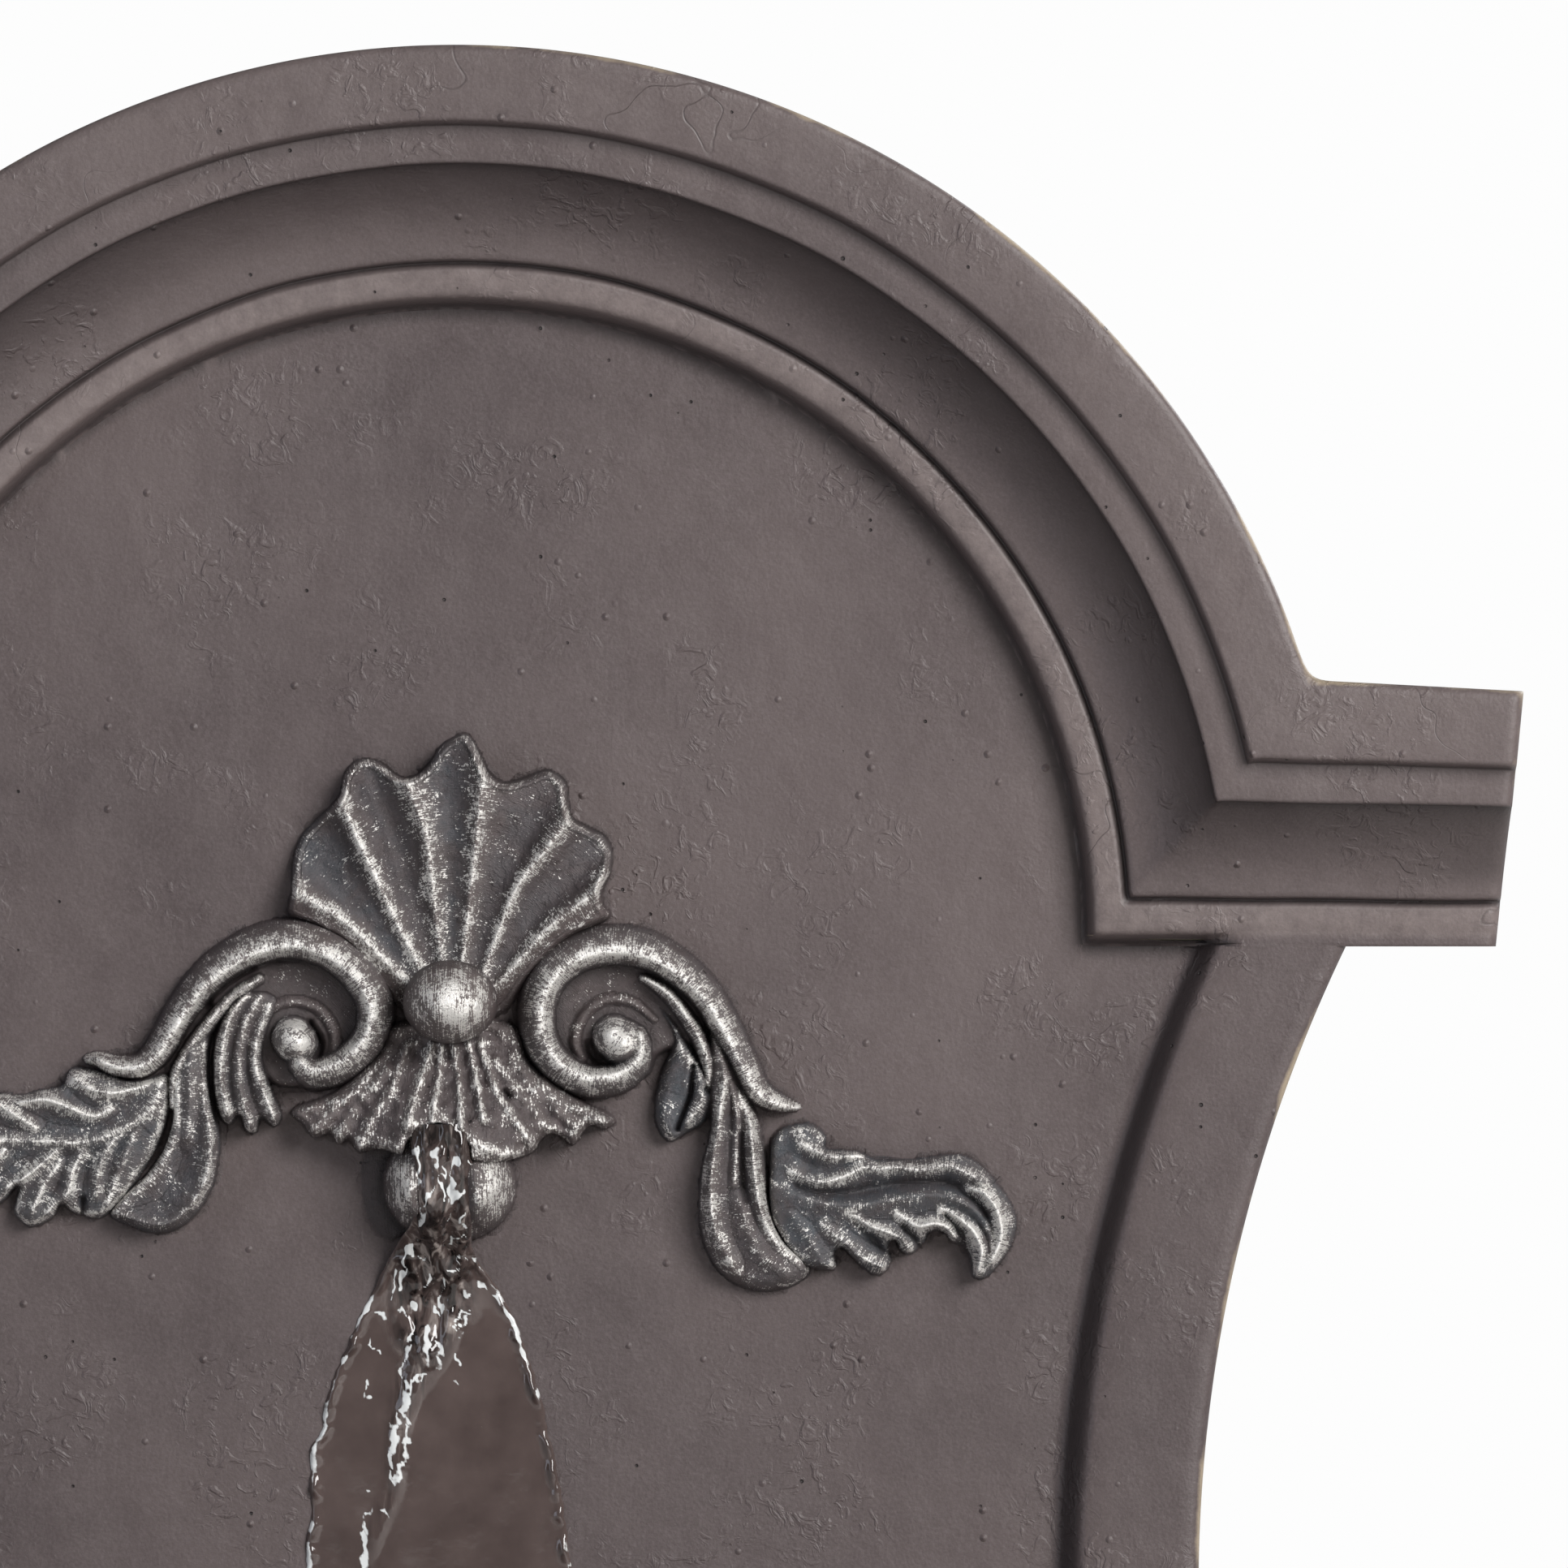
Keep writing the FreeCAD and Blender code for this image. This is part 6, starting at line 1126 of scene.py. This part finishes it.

# Spout apron: a cloth-like drape with close upright pleats under the ball, wings that sweep out
# beneath the scrolls to a torn hem, and an arched mouth, a low flat patch filled with painted shade.
x, z = table(-46, 43, -62, -20)
mouth = (-5.0, -58.0)
mouth_half = 9.0
mouth_rise = 11.2
apron_hem = [
    (-14, -22), (-20, -30), (-30, -39), (-41, -43.6), (-38, -47.6), (-35.4, -50.6), (-31.6, -49.6),
    (-29.6, -52.2), (-26.8, -51.2), (-24.4, -54), (-18.6, -53.6), (-13, -55.4), (-8, -56), (4, -57),
    (8, -57.4), (14, -56), (18.4, -54.2), (20.6, -51.4), (22.8, -49.8), (25.4, -50.4), (28.4, -52.4),
    (31, -49.4), (33, -47.6), (36.6, -48.4), (38.6, -45.6), (30, -41), (18, -32), (12, -22)]
hem_depth = inside(apron_hem, x, z)
fall = np.clip((-27.0 - z) / 24.0, 0, 1.2)
pleats, apron_silver = np.zeros_like(x), np.zeros_like(x)
upright = np.stack([x, 0 * x, z], axis=2)
pleat_lines = [
    ([(-12.2, -27.6), (-14.6, -33.6), (-15.8, -38)], 1.2, 2.2, 0.4),
    ([(-6.4, -27.6), (-9, -36.2), (-11.4, -44), (-12, -48)], 1.3, 2.6, 0.6),
    ([(-4, -27.6), (-4.6, -36.2), (-6, -46.2)], 1, 2.2, 0.56),
    ([(-1, -27.6), (0.6, -38), (1, -47.4)], 1, 2.2, 0.6),
    ([(3, -27.6), (5, -38), (6.6, -46)], 1, 2.2, 0.56),
    ([(5.6, -27.6), (8.4, -35), (11, -41), (16, -48), (19.4, -54)], 1.2, 2, 0.6),
    ([(9.6, -32), (15, -39), (21.6, -46.6), (24, -51)], 1.6, 1.4, 0.4),
    ([(14, -33), (22, -41), (29, -47), (30.4, -51)], 1.6, 1.3, 0.34),
    ([(20, -38), (28, -43), (35, -46.4)], 1.6, 1.2, 0.4),
    ([(-16, -38), (-20.6, -45), (-24, -53)], 1.4, 1.8, 0.4),
    ([(-18, -34), (-24.6, -42), (-29.6, -50.4)], 1.6, 1.5, 0.34),
    ([(-22, -36), (-30, -43), (-35.4, -49)], 1.6, 1.4, 0.3),
    ([(3.6, -50.6), (9, -53.6), (15, -54.6)], 1.4, 1.2, 0.56),
    ([(-8.8, -50), (-12.6, -52.6), (-17, -52.4)], 1.4, 1, 0.4)]
for points, width, rise, silver in pleat_lines:
    distance = along(smooth_line(points), x, z)[0]
    pleats = np.maximum(pleats, rise * np.exp(-(distance / width) ** 2))
    apron_silver = np.maximum(apron_silver, silver * np.exp(-(distance / (width * 1.4)) ** 2))
swelling = 7.0 + 13.0 * soft_step(fall, 0, 0.95) * (1 - 0.72 * soft_step(np.abs(x + 2), 7, 26))
pleats += ripple(upright, 2.6, 1.1, 5.0)
height = (swelling + pleats) * np.sqrt(1 - (1 - np.clip(hem_depth / 1.8, 0, 1)) ** 2)
arch = 1 - ((x - mouth[0]) / mouth_half) ** 2 - ((z - mouth[1]) / mouth_rise) ** 2
mouth_with_painted_shade = soft_step(arch + 0.14 * ripple(upright, 3.0, 1.0, 2.0), -0.04, 0.12)
height = np.where(hem_depth > 0, height * (1 - mouth_with_painted_shade) + 1.0 * mouth_with_painted_shade, 0)
mouth_rim = 0.4 * np.exp(-((arch + 0.3) / 0.16) ** 2) * (z > -57)
apron_silver = np.maximum(apron_silver * (1 - mouth_with_painted_shade), mouth_rim) + 0.06
apron = (height, apron_silver, 0.15, 0.6 * x, 1.2 * z)
apron = grooved(apron, x, z, [([(11.6, -39), (12.4, -40.2)], 0.8, 2.6)])
# The mouth's patch is darkened with painted shade.
relief("apron_carving", "spout_apron", x, z, apron, dark=mouth_with_painted_shade, seed=6.0)

# Spout lip: a chin under the mouth with a bulb on either side of the water's channel. The bulbs
# are silvered where the brush rode over them. A low filler left of the left bulb carries painted
# shade and no silver.
x, z = table(-27, 24, -86, -44)
stream_z = (-90.0, -86.0, -81.0, -77.0, -73.0, -68.0, -60.0, -52.0, -47.0)
stream_rise = (0.0, 0.8, 3.0, 7.0, 14.0, 18.5, 20.5, 20.5, 20.0)
channel_level = np.interp(z, stream_z, stream_rise) - 1.6


def bulb(middle_x, middle_z, half, half_height, rise):
    """A rounded knob, with the places across and up it in half widths and half heights."""
    across_bulb, up_bulb = (x - middle_x) / half, (z - middle_z) / half_height
    return rise * np.clip(1 - across_bulb ** 2 - up_bulb ** 2, 0, 1) ** 0.55, across_bulb, up_bulb


left_bulb, left_x, left_z = bulb(-12.6, -61.6, 6.4, 12.0, 3.4)
right_bulb, right_x, right_z = bulb(8.8, -63.4, 7.0, 10.4, 3.6)
chin = bulb(-2.0, -62.0, 16.6, 14.8, 20.0)[0]
filler = 0.3 * bulb(-16.5, -60.5, 7.5, 15.5, 2.2)[0] ** 2
knobs = ripple(np.stack([x, 0 * x, z], axis=2), 5.0, 1.3, 12.0)
knobbly = chin + left_bulb + right_bulb + knobs * np.clip(chin / 12, 0, 1)
height = np.where(chin > 0, np.maximum(knobbly, filler), filler)
channel = np.exp(-((x + 3.4) / 7.2) ** 8)
bed = np.minimum(height, np.maximum(channel_level, 0.4))
height = np.where((channel > 0.02) & (height > 0), height * (1 - channel) + bed * channel, height)
lobes = np.maximum(np.exp(-((left_x + 0.12) / 0.46) ** 2 - ((left_z + 0.02) / 0.62) ** 2),
                   np.exp(-((right_x + 0.02) / 0.52) ** 2 - ((right_z - 0.02) / 0.7) ** 2))
# Painted shade on the filler beside the left bulb.
filler_painted_shade = filler > chin
lip_silver = 0.88 * lobes * (chin > 6) + 0.05 - filler_painted_shade
relief("lip_carving", "spout_lip", x, z, (height, lip_silver, 0.2, x, 0.5 * z), dark=0.4 * filler_painted_shade, seed=7.0)

# Water: it wells out of the mouth in glassy ropes, breaks at the foot of the lip, and spreads in
# a thin skin that wets the paint dark, with a thick bead along either edge. It runs over the top
# of the bowl's back and down into the bowl.
wet_paint, tree, shader = new_material("water_over_dark_paint")
place = add(tree, "TexCoord")["Object"]
# The wet paint looks darker where the water is thick. Where the water is churned, dark and pale
# strands of painted shade and painted reflection run down through it, and its painted white glints,
# which also read as froth, are broken up by a finer noise.
painted = {}
for key in ("thick", "churn", "froth"):
    painted[key] = add(tree, "Attribute", attribute_name=key)["Fac"]
depths = add(tree, "TexNoise", {"Vector": place, "Scale": 1 / (9 * MM), "Detail": 3.0})["Fac"]
drawn_down = add(tree, "Mapping", {"Vector": place, "Scale": (1.0, 1.0, 0.24)})[0]
strands = add(tree, "TexNoise", {"Vector": drawn_down, "Scale": 1 / (2.6 * MM), "Detail": 3.0,
                                 "Distortion": 0.9})["Fac"]
torn_white = add(tree, "TexNoise", {"Vector": place, "Scale": 1 / (1.6 * MM), "Detail": 2.0})["Fac"]
coats = [(depths, "#5c504d"), (painted["thick"], "#332c2a")]
for low, high, shade in ((0.50, 0.36, "#191514"), (0.54, 0.68, "#938a85")):
    strand = add(tree, "MapRange", {"Value": strands, "From Min": low, "From Max": high})[0]
    coats.append((add(tree, "Math", {0: strand, 1: painted["churn"]}, operation="MULTIPLY")[0], shade))
white = add(tree, "Math", {0: painted["froth"], 1: torn_white}, operation="ADD")[0]
white = add(tree, "Math", {0: strands, 1: 0.9, 2: white}, operation="MULTIPLY_ADD")[0]
coats.append((add(tree, "MapRange", {"Value": white, "From Min": 1.36, "From Max": 1.72})[0], "#d4d7d7"))
tone = linear("#3c3230")
for amount, shade in coats:
    tone = add(tree, "Mix", {0: amount, 6: tone, 7: linear(shade)}, data_type="RGBA")[2]
ripples = add(tree, "TexNoise", {"Vector": place, "Scale": 1 / (3.5 * MM), "Detail": 2.0})["Fac"]
bump = add(tree, "Bump", {"Distance": 0.12 * MM, "Height": ripples})["Normal"]
feed(tree, shader, {"Base Color": tone, "Roughness": 0.04, "IOR": 1.33, "Coat Weight": 1.0,
                    "Coat Roughness": 0.02, "Coat IOR": 1.33, "Normal": bump})

bowl_top = -262.0
bowl_wall = 46.0
water_level = -296.0
# The skin's left and right edge down the wall, each as height and x.
film_left = np.array([
    (-47, -12), (-53, -11.4), (-60, -9.8), (-67, -9.6), (-72, -11.6), (-76, -14.6), (-81.2, -17.6),
    (-91.4, -22.6), (-100, -26.8), (-108.6, -30.4), (-116.2, -33), (-124.2, -34.8), (-127.6, -36.8),
    (-143.8, -36.8), (-156, -38), (-200, -41), (-300, -44)])
film_right = np.array([
    (-47, 3.4), (-55, 3.6), (-60, 4.6), (-68, 4.4), (-74, 3.4), (-77, 3.4), (-80.8, 4.8), (-89, 10.8),
    (-96.6, 14.8), (-105.2, 17.6), (-117.8, 21.6), (-129.4, 24), (-141, 26.4), (-156, 28), (-200, 31),
    (-300, 34)])
rows_z = np.concatenate([np.arange(-47.0, -110.0, -0.45), np.arange(-110.0, bowl_top + 1, -0.8)])
columns = 120
across = np.linspace(-1, 1, columns + 1)
left_edge = np.interp(-rows_z, -film_left[:, 0], film_left[:, 1])
right_edge = np.interp(-rows_z, -film_right[:, 0], film_right[:, 1])
spread = np.clip((-74 - rows_z) / 20, 0.15, 1)
for edge, side in ((left_edge, 0.0), (right_edge, 9.0)):
    slow = [noise.noise(Vector((level / 7.0, side, 2.0))) for level in rows_z]
    quick = [noise.noise(Vector((level / 2.2, side, 5.0))) for level in rows_z]
    edge += (np.array(slow) + 0.5 * np.array(quick)) * spread
water_x = (left_edge[:, None] * (1 - across) + right_edge[:, None] * (1 + across)) / 2
water_z = rows_z[:, None] * np.ones_like(water_x)
edge_gap = np.minimum(water_x - left_edge[:, None], right_edge[:, None] - water_x)
flow = np.stack([water_x, 0 * water_x - field_front, water_z], axis=2)


def torn(points, size_x, size_z, seed):
    """Noise that is stretched down the wall, between about -1 and 1."""
    places = zip(points[..., 0].ravel(), points[..., 2].ravel())
    values = [noise.noise(Vector((px / size_x + seed, seed, pz / size_z))) for px, pz in places]
    return np.array(values).reshape(points.shape[:2]) * 1.6


level_gap = -water_z
# Painted white glints on the ropes and the bead, each a line with its half width.
glints = [
    ([(-10, -53), (-9.6, -57), (-9.8, -62)], 0.6), ([(-5.2, -53.4), (-4.9, -56.6)], 1.3),
    ([(0.2, -55.5), (-1.6, -59.5)], 0.6), ([(-3.4, -57.3), (-3.8, -61), (-2.3, -65.8)], 0.5),
    ([(-0.9, -61), (-1.2, -65.4), (1, -63.6)], 1.1), ([(-1.2, -68.3), (-2.7, -71.9)], 0.6),
    ([(-6, -63.2), (-8.2, -67.6), (-8.7, -71.9)], 0.5), ([(3, -56.6), (4.2, -57.2)], 0.8),
    ([(1.7, -69.4), (1.6, -72.2)], 0.6), ([(-11.8, -77.4), (-13.8, -83.6), (-14.5, -87.3)], 0.6),
    ([(-9.4, -78.8), (-8.6, -80)], 0.9), ([(-15.3, -83.5), (-16.6, -90.2)], 0.4),
    ([(-11.2, -91.6), (-10.6, -94)], 0.9), ([(1.6, -97.2), (3, -95.4)], 1.1),
    ([(-7.2, -97.5), (-7.5, -101), (-7.8, -105.5)], 1.1), ([(-6, -101), (-5.4, -103)], 1),
    ([(-4.1, -103.4), (-4.5, -107)], 0.9), ([(-0.7, -97.2), (-0.3, -99.4)], 0.7),
    ([(-0.1, -104.4), (-0.1, -107.4)], 0.6), ([(-0.7, -110.8), (-0.3, -111.4)], 0.7),
    ([(-10.6, -99), (-12.9, -104.8), (-14.2, -109.2), (-11.8, -111.4), (-8.4, -109.2)], 0.8),
    ([(-11.1, -111.4), (-13.3, -117.2), (-15.3, -120.1)], 1.1), ([(-15.3, -120.8), (-16.4, -128.1)], 1.8),
    ([(-12.9, -119.4), (-12.6, -127.4), (-14.7, -133.6), (-16.5, -136.2)], 0.9),
    ([(-16.6, -129.6), (-16.8, -135.4)], 0.8), ([(-17.8, -142.4), (-17.4, -144.2)], 0.8),
    ([(-21.6, -137.6), (-21.8, -138.6)], 0.7), ([(-22.6, -143.6), (-23.1, -147.6)], 1),
    ([(-23.4, -149.6), (-23, -153)], 1.1), ([(-23.2, -154.6), (-23.4, -158)], 1),
    ([(-23.3, -112.4), (-22.9, -114)], 0.8), ([(-21.7, -114.8), (-21.3, -116.2)], 0.7),
    ([(5, -86.6), (7, -88.6)], 0.9), ([(9.2, -88.8), (10.2, -91.2)], 0.8),
    ([(-1.6, -75.2), (2.1, -74.8)], 0.4), ([(0.4, -79.4), (2.2, -80)], 0.6),
    ([(-1.8, -84), (-0.8, -82.8)], 0.5), ([(1.7, -90), (2.4, -88.6)], 0.7),
    ([(-0.6, -95.4), (2.6, -93.6)], 0.7), ([(-19.8, -94.4), (-18.6, -94.8)], 0.9),
    ([(-21.5, -101.5), (-19, -104.5)], 0.5), ([(-7, -84), (-8.4, -88)], 0.5),
    ([(-5.6, -92), (-5, -95.6)], 0.6), ([(-14.4, -92.4), (-12, -95.4)], 0.5),
    ([(-3, -86), (-4.6, -90.2), (-3.6, -94.4)], 0.5), ([(0.6, -79), (0.2, -84)], 0.4)]
# The churned stream from the mouth: its middle, half width and strength at each height.
fall_middle = np.interp(level_gap, (47, 76, 90, 104, 120, 136, 156), (-4, -5.5, -6.5, -8.5, -14.4, -16, -23))
fall_width = np.interp(level_gap, (47, 74, 80, 94, 104, 118, 156), (9.0, 9.0, 10.5, 9.5, 5.6, 3.2, 2.0))
fall_strength = np.interp(level_gap, (47, 52, 76, 96, 108, 130, 170), (1.1, 1.3, 1.5, 1.6, 0.9, 0.45, 0.1))
turmoil = np.exp(-((water_x - fall_middle) / fall_width) ** 4) * fall_strength
# Ropes and knots thicken the stream, a broken bead runs along either edge, and the rest is thin.
ropes = 1.3 * torn(flow, 4.2, 11.0, 1.0) + 0.2 * torn(flow, 2.0, 5.0, 4.0)
knots = np.abs(torn(flow, 2.2, 3.2, 8.0))
bead_break = np.clip(0.55 + 0.8 * torn(flow, 30.0, 5.0, 11.0), 0.15, 1.3)
bead = 1.3 * np.exp(-((edge_gap - 1.5) / 1.1) ** 2) * bead_break * np.clip((level_gap - 78) / 6, 0, 1)
thin_skin = 0.42 + 0.10 * torn(flow, 6.0, 14.0, 15.0)
thickness = thin_skin + bead + turmoil * np.maximum(0.9 + 0.9 * ropes + 0.25 * knots, 0.15)
thickness *= np.clip(edge_gap / 0.8, 0, 1) ** 0.5
thickness = np.where(edge_gap <= 0.01, -0.8, thickness)
# The stream rides over the lip, and the skin follows the field's swelling.
lift = blurred(np.interp(water_z, stream_z, stream_rise), 3.0)
arch_over = 1 - 0.14 * ((water_x + 4) / 9) ** 2 * (level_gap < 80)
coarse = 5
flow_swell = field_swell(flow[::coarse, ::coarse]).repeat(coarse, axis=0).repeat(coarse, axis=1)
flow_swell = blurred(flow_swell[:water_x.shape[0], :water_x.shape[1]], 2.0)
flow[..., 1] = flow_swell - field_front - lift * arch_over - thickness
# Rows that carry the sheet forwards over the bowl's back and down inside it to the pool.
brink = bowl_wall + 0.9
over = []
for level, depth in (
        (bowl_top + 0.8, field_front + 0.9), (bowl_top + 0.9, field_front + 5),
        (bowl_top + 0.9, bowl_wall - 3), (bowl_top + 0.6, bowl_wall + 0.4), (bowl_top - 0.6, brink),
        (bowl_top - 12, brink), (bowl_top - 24, brink), (water_level - 1.0, brink)):
    row = flow[-1].copy()
    row[:, 2] = level + 0.12 * ropes[-1] * (depth > field_front + 1)
    row[:, 1] = -depth - 0.25 * np.abs(ropes[-1]) * (level < bowl_top)
    if level < bowl_top:
        row[[0, -1], 1] += 0.9
    else:
        row[[0, -1], 2] -= 1.6
    over.append(row)
sheet = np.vstack([flow, np.stack(over)])
# Painted glints, also read as froth, with edges torn by noise, and broken painted glints along the skin's
# edges.
froth = np.zeros_like(water_x)
wrung_x = water_x + 0.9 * torn(flow, 1.7, 2.4, 31.0)
wrung_z = water_z + 1.6 * torn(flow, 1.9, 2.6, 35.0)
swelled = 1 + 0.9 * torn(flow, 2.4, 3.2, 39.0)
for points, width in glints:
    distance = along(smooth_line(points), wrung_x, wrung_z)[0]
    froth = np.maximum(froth, np.exp(-(distance / (0.68 * width * np.clip(swelled, 0.25, 1.8))) ** 3))
broken_edge = torn(flow, 40.0, 9.0, 21.0) + 0.7 * torn(flow, 40.0, 2.6, 23.0)
edge_place = 0.9 + 0.5 * torn(flow, 40.0, 3.4, 27.0)
edge_painted_glint = np.exp(-((edge_gap - edge_place) / np.clip(0.45 + 0.6 * broken_edge, 0.18, 1.3)) ** 4)
froth = np.maximum(froth, edge_painted_glint * np.clip(0.72 + 0.9 * broken_edge, 0, 1) * (level_gap > 80))
churn = np.clip(turmoil * 0.8, 0, 1)
thick = np.maximum(np.clip((thickness - 0.8) / 2.5, 0, 1), np.clip((55 - level_gap) / 5, 0, 1))
clear = np.zeros((len(over), columns + 1))
water_mesh = shaped_grid(sheet, thick=np.vstack([thick, clear]), froth=np.vstack([froth, clear]),
                         churn=np.vstack([churn, clear]))
bmesh.ops.recalc_face_normals(water_mesh, faces=water_mesh.faces)
if sum(face.normal.y for face in water_mesh.faces) > 0:
    bmesh.ops.reverse_faces(water_mesh, faces=water_mesh.faces)
new_piece("running_water", water_mesh, wet_paint)

# Water in the bowl: clear and still but for the rings that spread from where the skin runs in. It
# shows the painted stone under it and mirrors the arch.
bowl_water, tree, shader = new_material("clear_water")
place = add(tree, "TexCoord")["Object"]
# Slow, shallow waves bend the mirrored light.
breath = add(tree, "TexNoise", {"Vector": place, "Scale": 1 / (22 * MM), "Detail": 2.0})["Fac"]
bump = add(tree, "Bump", {"Distance": 0.5 * MM, "Height": breath})["Normal"]
feed(tree, shader, {"Base Color": linear("#dfe8e4"), "Roughness": 0.03, "IOR": 1.33,
                    "Transmission Weight": 1.0, "Normal": bump})
bowl_axis = -34.0
bowl_inside = 166.8
bowl_back = 12.2
pool_rows = 90
pool_columns = 161
half_pool = math.sqrt(bowl_inside ** 2 - 12 ** 2)
pool_x = np.linspace(-1, 1, pool_columns)[None, :] * half_pool * np.ones((pool_rows, 1))
front_edge = np.maximum(np.sqrt(np.maximum(bowl_inside ** 2 - pool_x ** 2, 0)), bowl_back + 0.1)
pool_y = bowl_axis - bowl_back - (front_edge - bowl_back) * np.linspace(0, 1, pool_rows)[:, None]
reach = np.hypot(pool_x + 4, pool_y - bowl_axis + 14)
pool_z = water_level + 0.7 * np.sin(reach / 2.6) * np.exp(-reach / 45)
pool = shaped_grid(np.stack([pool_x, pool_y, pool_z], axis=2))
# The pool is a closed slice of water, so that light is bent both into it and out of it.
pool_depth = 6 * MM
lower = bmesh.ops.extrude_face_region(pool, geom=pool.faces[:])["geom"]
lower = [item for item in lower if isinstance(item, bmesh.types.BMVert)]
bmesh.ops.translate(pool, verts=lower, vec=(0, 0, -pool_depth))
bmesh.ops.recalc_face_normals(pool, faces=pool.faces)
new_piece("still_water", pool, bowl_water)


# Bowl: a half bowl cast in the same stone, bonded to a flat back plate that bolts to the panel,
# and brushed with the panel's paint.
def dress(material, *names):
    """Gives CAD nodes, whose shape is right as it is, their material."""
    for name in names:
        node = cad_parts[name]
        if not node.material_slots:
            node.data.materials.append(material)
        for place in node.material_slots:
            place.material = material


dress(panel_paint, "basin", "basin_back")


# Bowl's seal: a strip of black closed-cell foam, die-cut and squeezed between the bowl's back and
# the panel. Its open cut cells look dull and slightly rough.
def finish(name, low, high, size, rough, depth, metal=0.0, stretch=(1, 1, 1), others=None):
    """A material that drifts between two colours over a size in millimetres, with a fine relief.

    The drift keeps a part from looking dipped in one flat colour, and the relief breaks its shine.
    """
    material, tree, shader = new_material(name)
    place = add(tree, "Mapping", {"Vector": add(tree, "TexCoord")["Object"], "Scale": stretch})[0]
    coarse = add(tree, "TexNoise", {"Vector": place, "Scale": 1 / (size * MM), "Detail": 4.0})["Fac"]
    fine = add(tree, "TexNoise", {"Vector": place, "Scale": 6 / (size * MM), "Detail": 3.0,
                                  "Roughness": 0.7})["Fac"]
    tone = add(tree, "Mix", {0: coarse, 6: linear(low), 7: linear(high)}, data_type="RGBA")[2]
    gloss = add(tree, "MapRange", {"Value": fine, "From Min": 0.3, "From Max": 0.7, "To Min": rough - 0.07,
                                   "To Max": rough + 0.07})[0]
    bump = add(tree, "Bump", {"Distance": depth * MM, "Height": fine})["Normal"]
    feed(tree, shader, {"Base Color": tone, "Roughness": gloss, "Normal": bump, "Metallic": metal})
    feed(tree, shader, others or {})
    return material


foam = finish("closed_cell_foam", "#1c1c1d", "#2b2b2c", 1.6, 0.86, 0.25)
dress(foam, "basin_gasket")

# Fixings: zinc-plated steel bolts, washers, keyhole plates and screws, with a pale bluish bloom
# on the plating, and turned brass inserts that are cast into the stone.
zinc = finish("zinc_plated_steel", "#9a9da0", "#bfc2c2", 3.0, 0.38, 0.03, metal=1.0)
dress(zinc, "basin_bolts", "basin_washers", "hanger_plates", "hanger_screws", "clip_screws")
brass = finish("turned_brass", "#a5813f", "#c9a45c", 1.2, 0.3, 0.02, metal=1.0, stretch=(1, 8, 1))
dress(brass, "basin_inserts")

# Rubber: the moulded grommets, drain plug, suction cups, gland, bushes and ring, matt black with
# a grey dusting of talc.
rubber = finish("moulded_black_rubber", "#151515", "#262525", 5.0, 0.68, 0.05)
dress(rubber, "drain_plug", "hose_grommet", "cord_grommet", "spout_grommet", "suction_cups", "cable_gland",
      "rear_bush", "front_bush", "cover_o_ring")

# Hoses: extruded clear vinyl tube, pushed over the pump's outlet and the elbows. It is slightly
# milky, and it lets the water in it show.
vinyl = finish("clear_vinyl_tube", "#cfd9d8", "#e6eceb", 14.0, 0.16, 0.02,
               others={"Transmission Weight": 0.75, "IOR": 1.5})
dress(vinyl, "supply_hose_upper", "supply_hose_lower")

# Pipe fittings: elbows and clips moulded in dark grey nylon, pushed and screwed on, with a fine
# spark-eroded grain that leaves a soft sheen.
nylon = finish("dark_grey_nylon", "#1d1e20", "#2c2d2f", 8.0, 0.5, 0.06)
dress(nylon, "supply_elbow", "spout_elbow", "hose_clips")

# Pump: a housing, covers, intake and regulator moulded in black plastic and clipped together. A
# thin clear coat gives them the gloss of a polished mould.
pump_shell = finish("glossy_black_plastic", "#101214", "#1c1f22", 12.0, 0.3, 0.03,
                    others={"Coat Weight": 0.2, "Coat Roughness": 0.15})
dress(pump_shell, "pump_housing", "pump_rear_plate", "volute_cover", "outlet_adapter", "intake_cover",
      "flow_regulator")

# Motor: varnished steel sheets, a winding of enamelled copper wire, a sintered magnet, a ground
# ceramic shaft and a moulded impeller.
sheets = finish("varnished_steel_sheets", "#3f4145", "#5c5e63", 2.5, 0.42, 0.05, metal=0.8,
                stretch=(1, 9, 1))
dress(sheets, "stator_core")
winding = finish("enamelled_copper_winding", "#7a3d1e", "#a85c32", 0.9, 0.34, 0.12, metal=0.7,
                 stretch=(1, 1, 7))
dress(winding, "stator_coil")
magnet = finish("sintered_ferrite", "#1d1d20", "#2c2c30", 1.4, 0.6, 0.05)
dress(magnet, "rotor_magnet")
ceramic = finish("ground_ceramic", "#dcdad2", "#eeece6", 3.0, 0.22, 0.01)
dress(ceramic, "impeller_shaft")
pale_plastic = finish("pale_grey_plastic", "#bdbcb6", "#d2d1cc", 6.0, 0.45, 0.04)
dress(pale_plastic, "impeller")
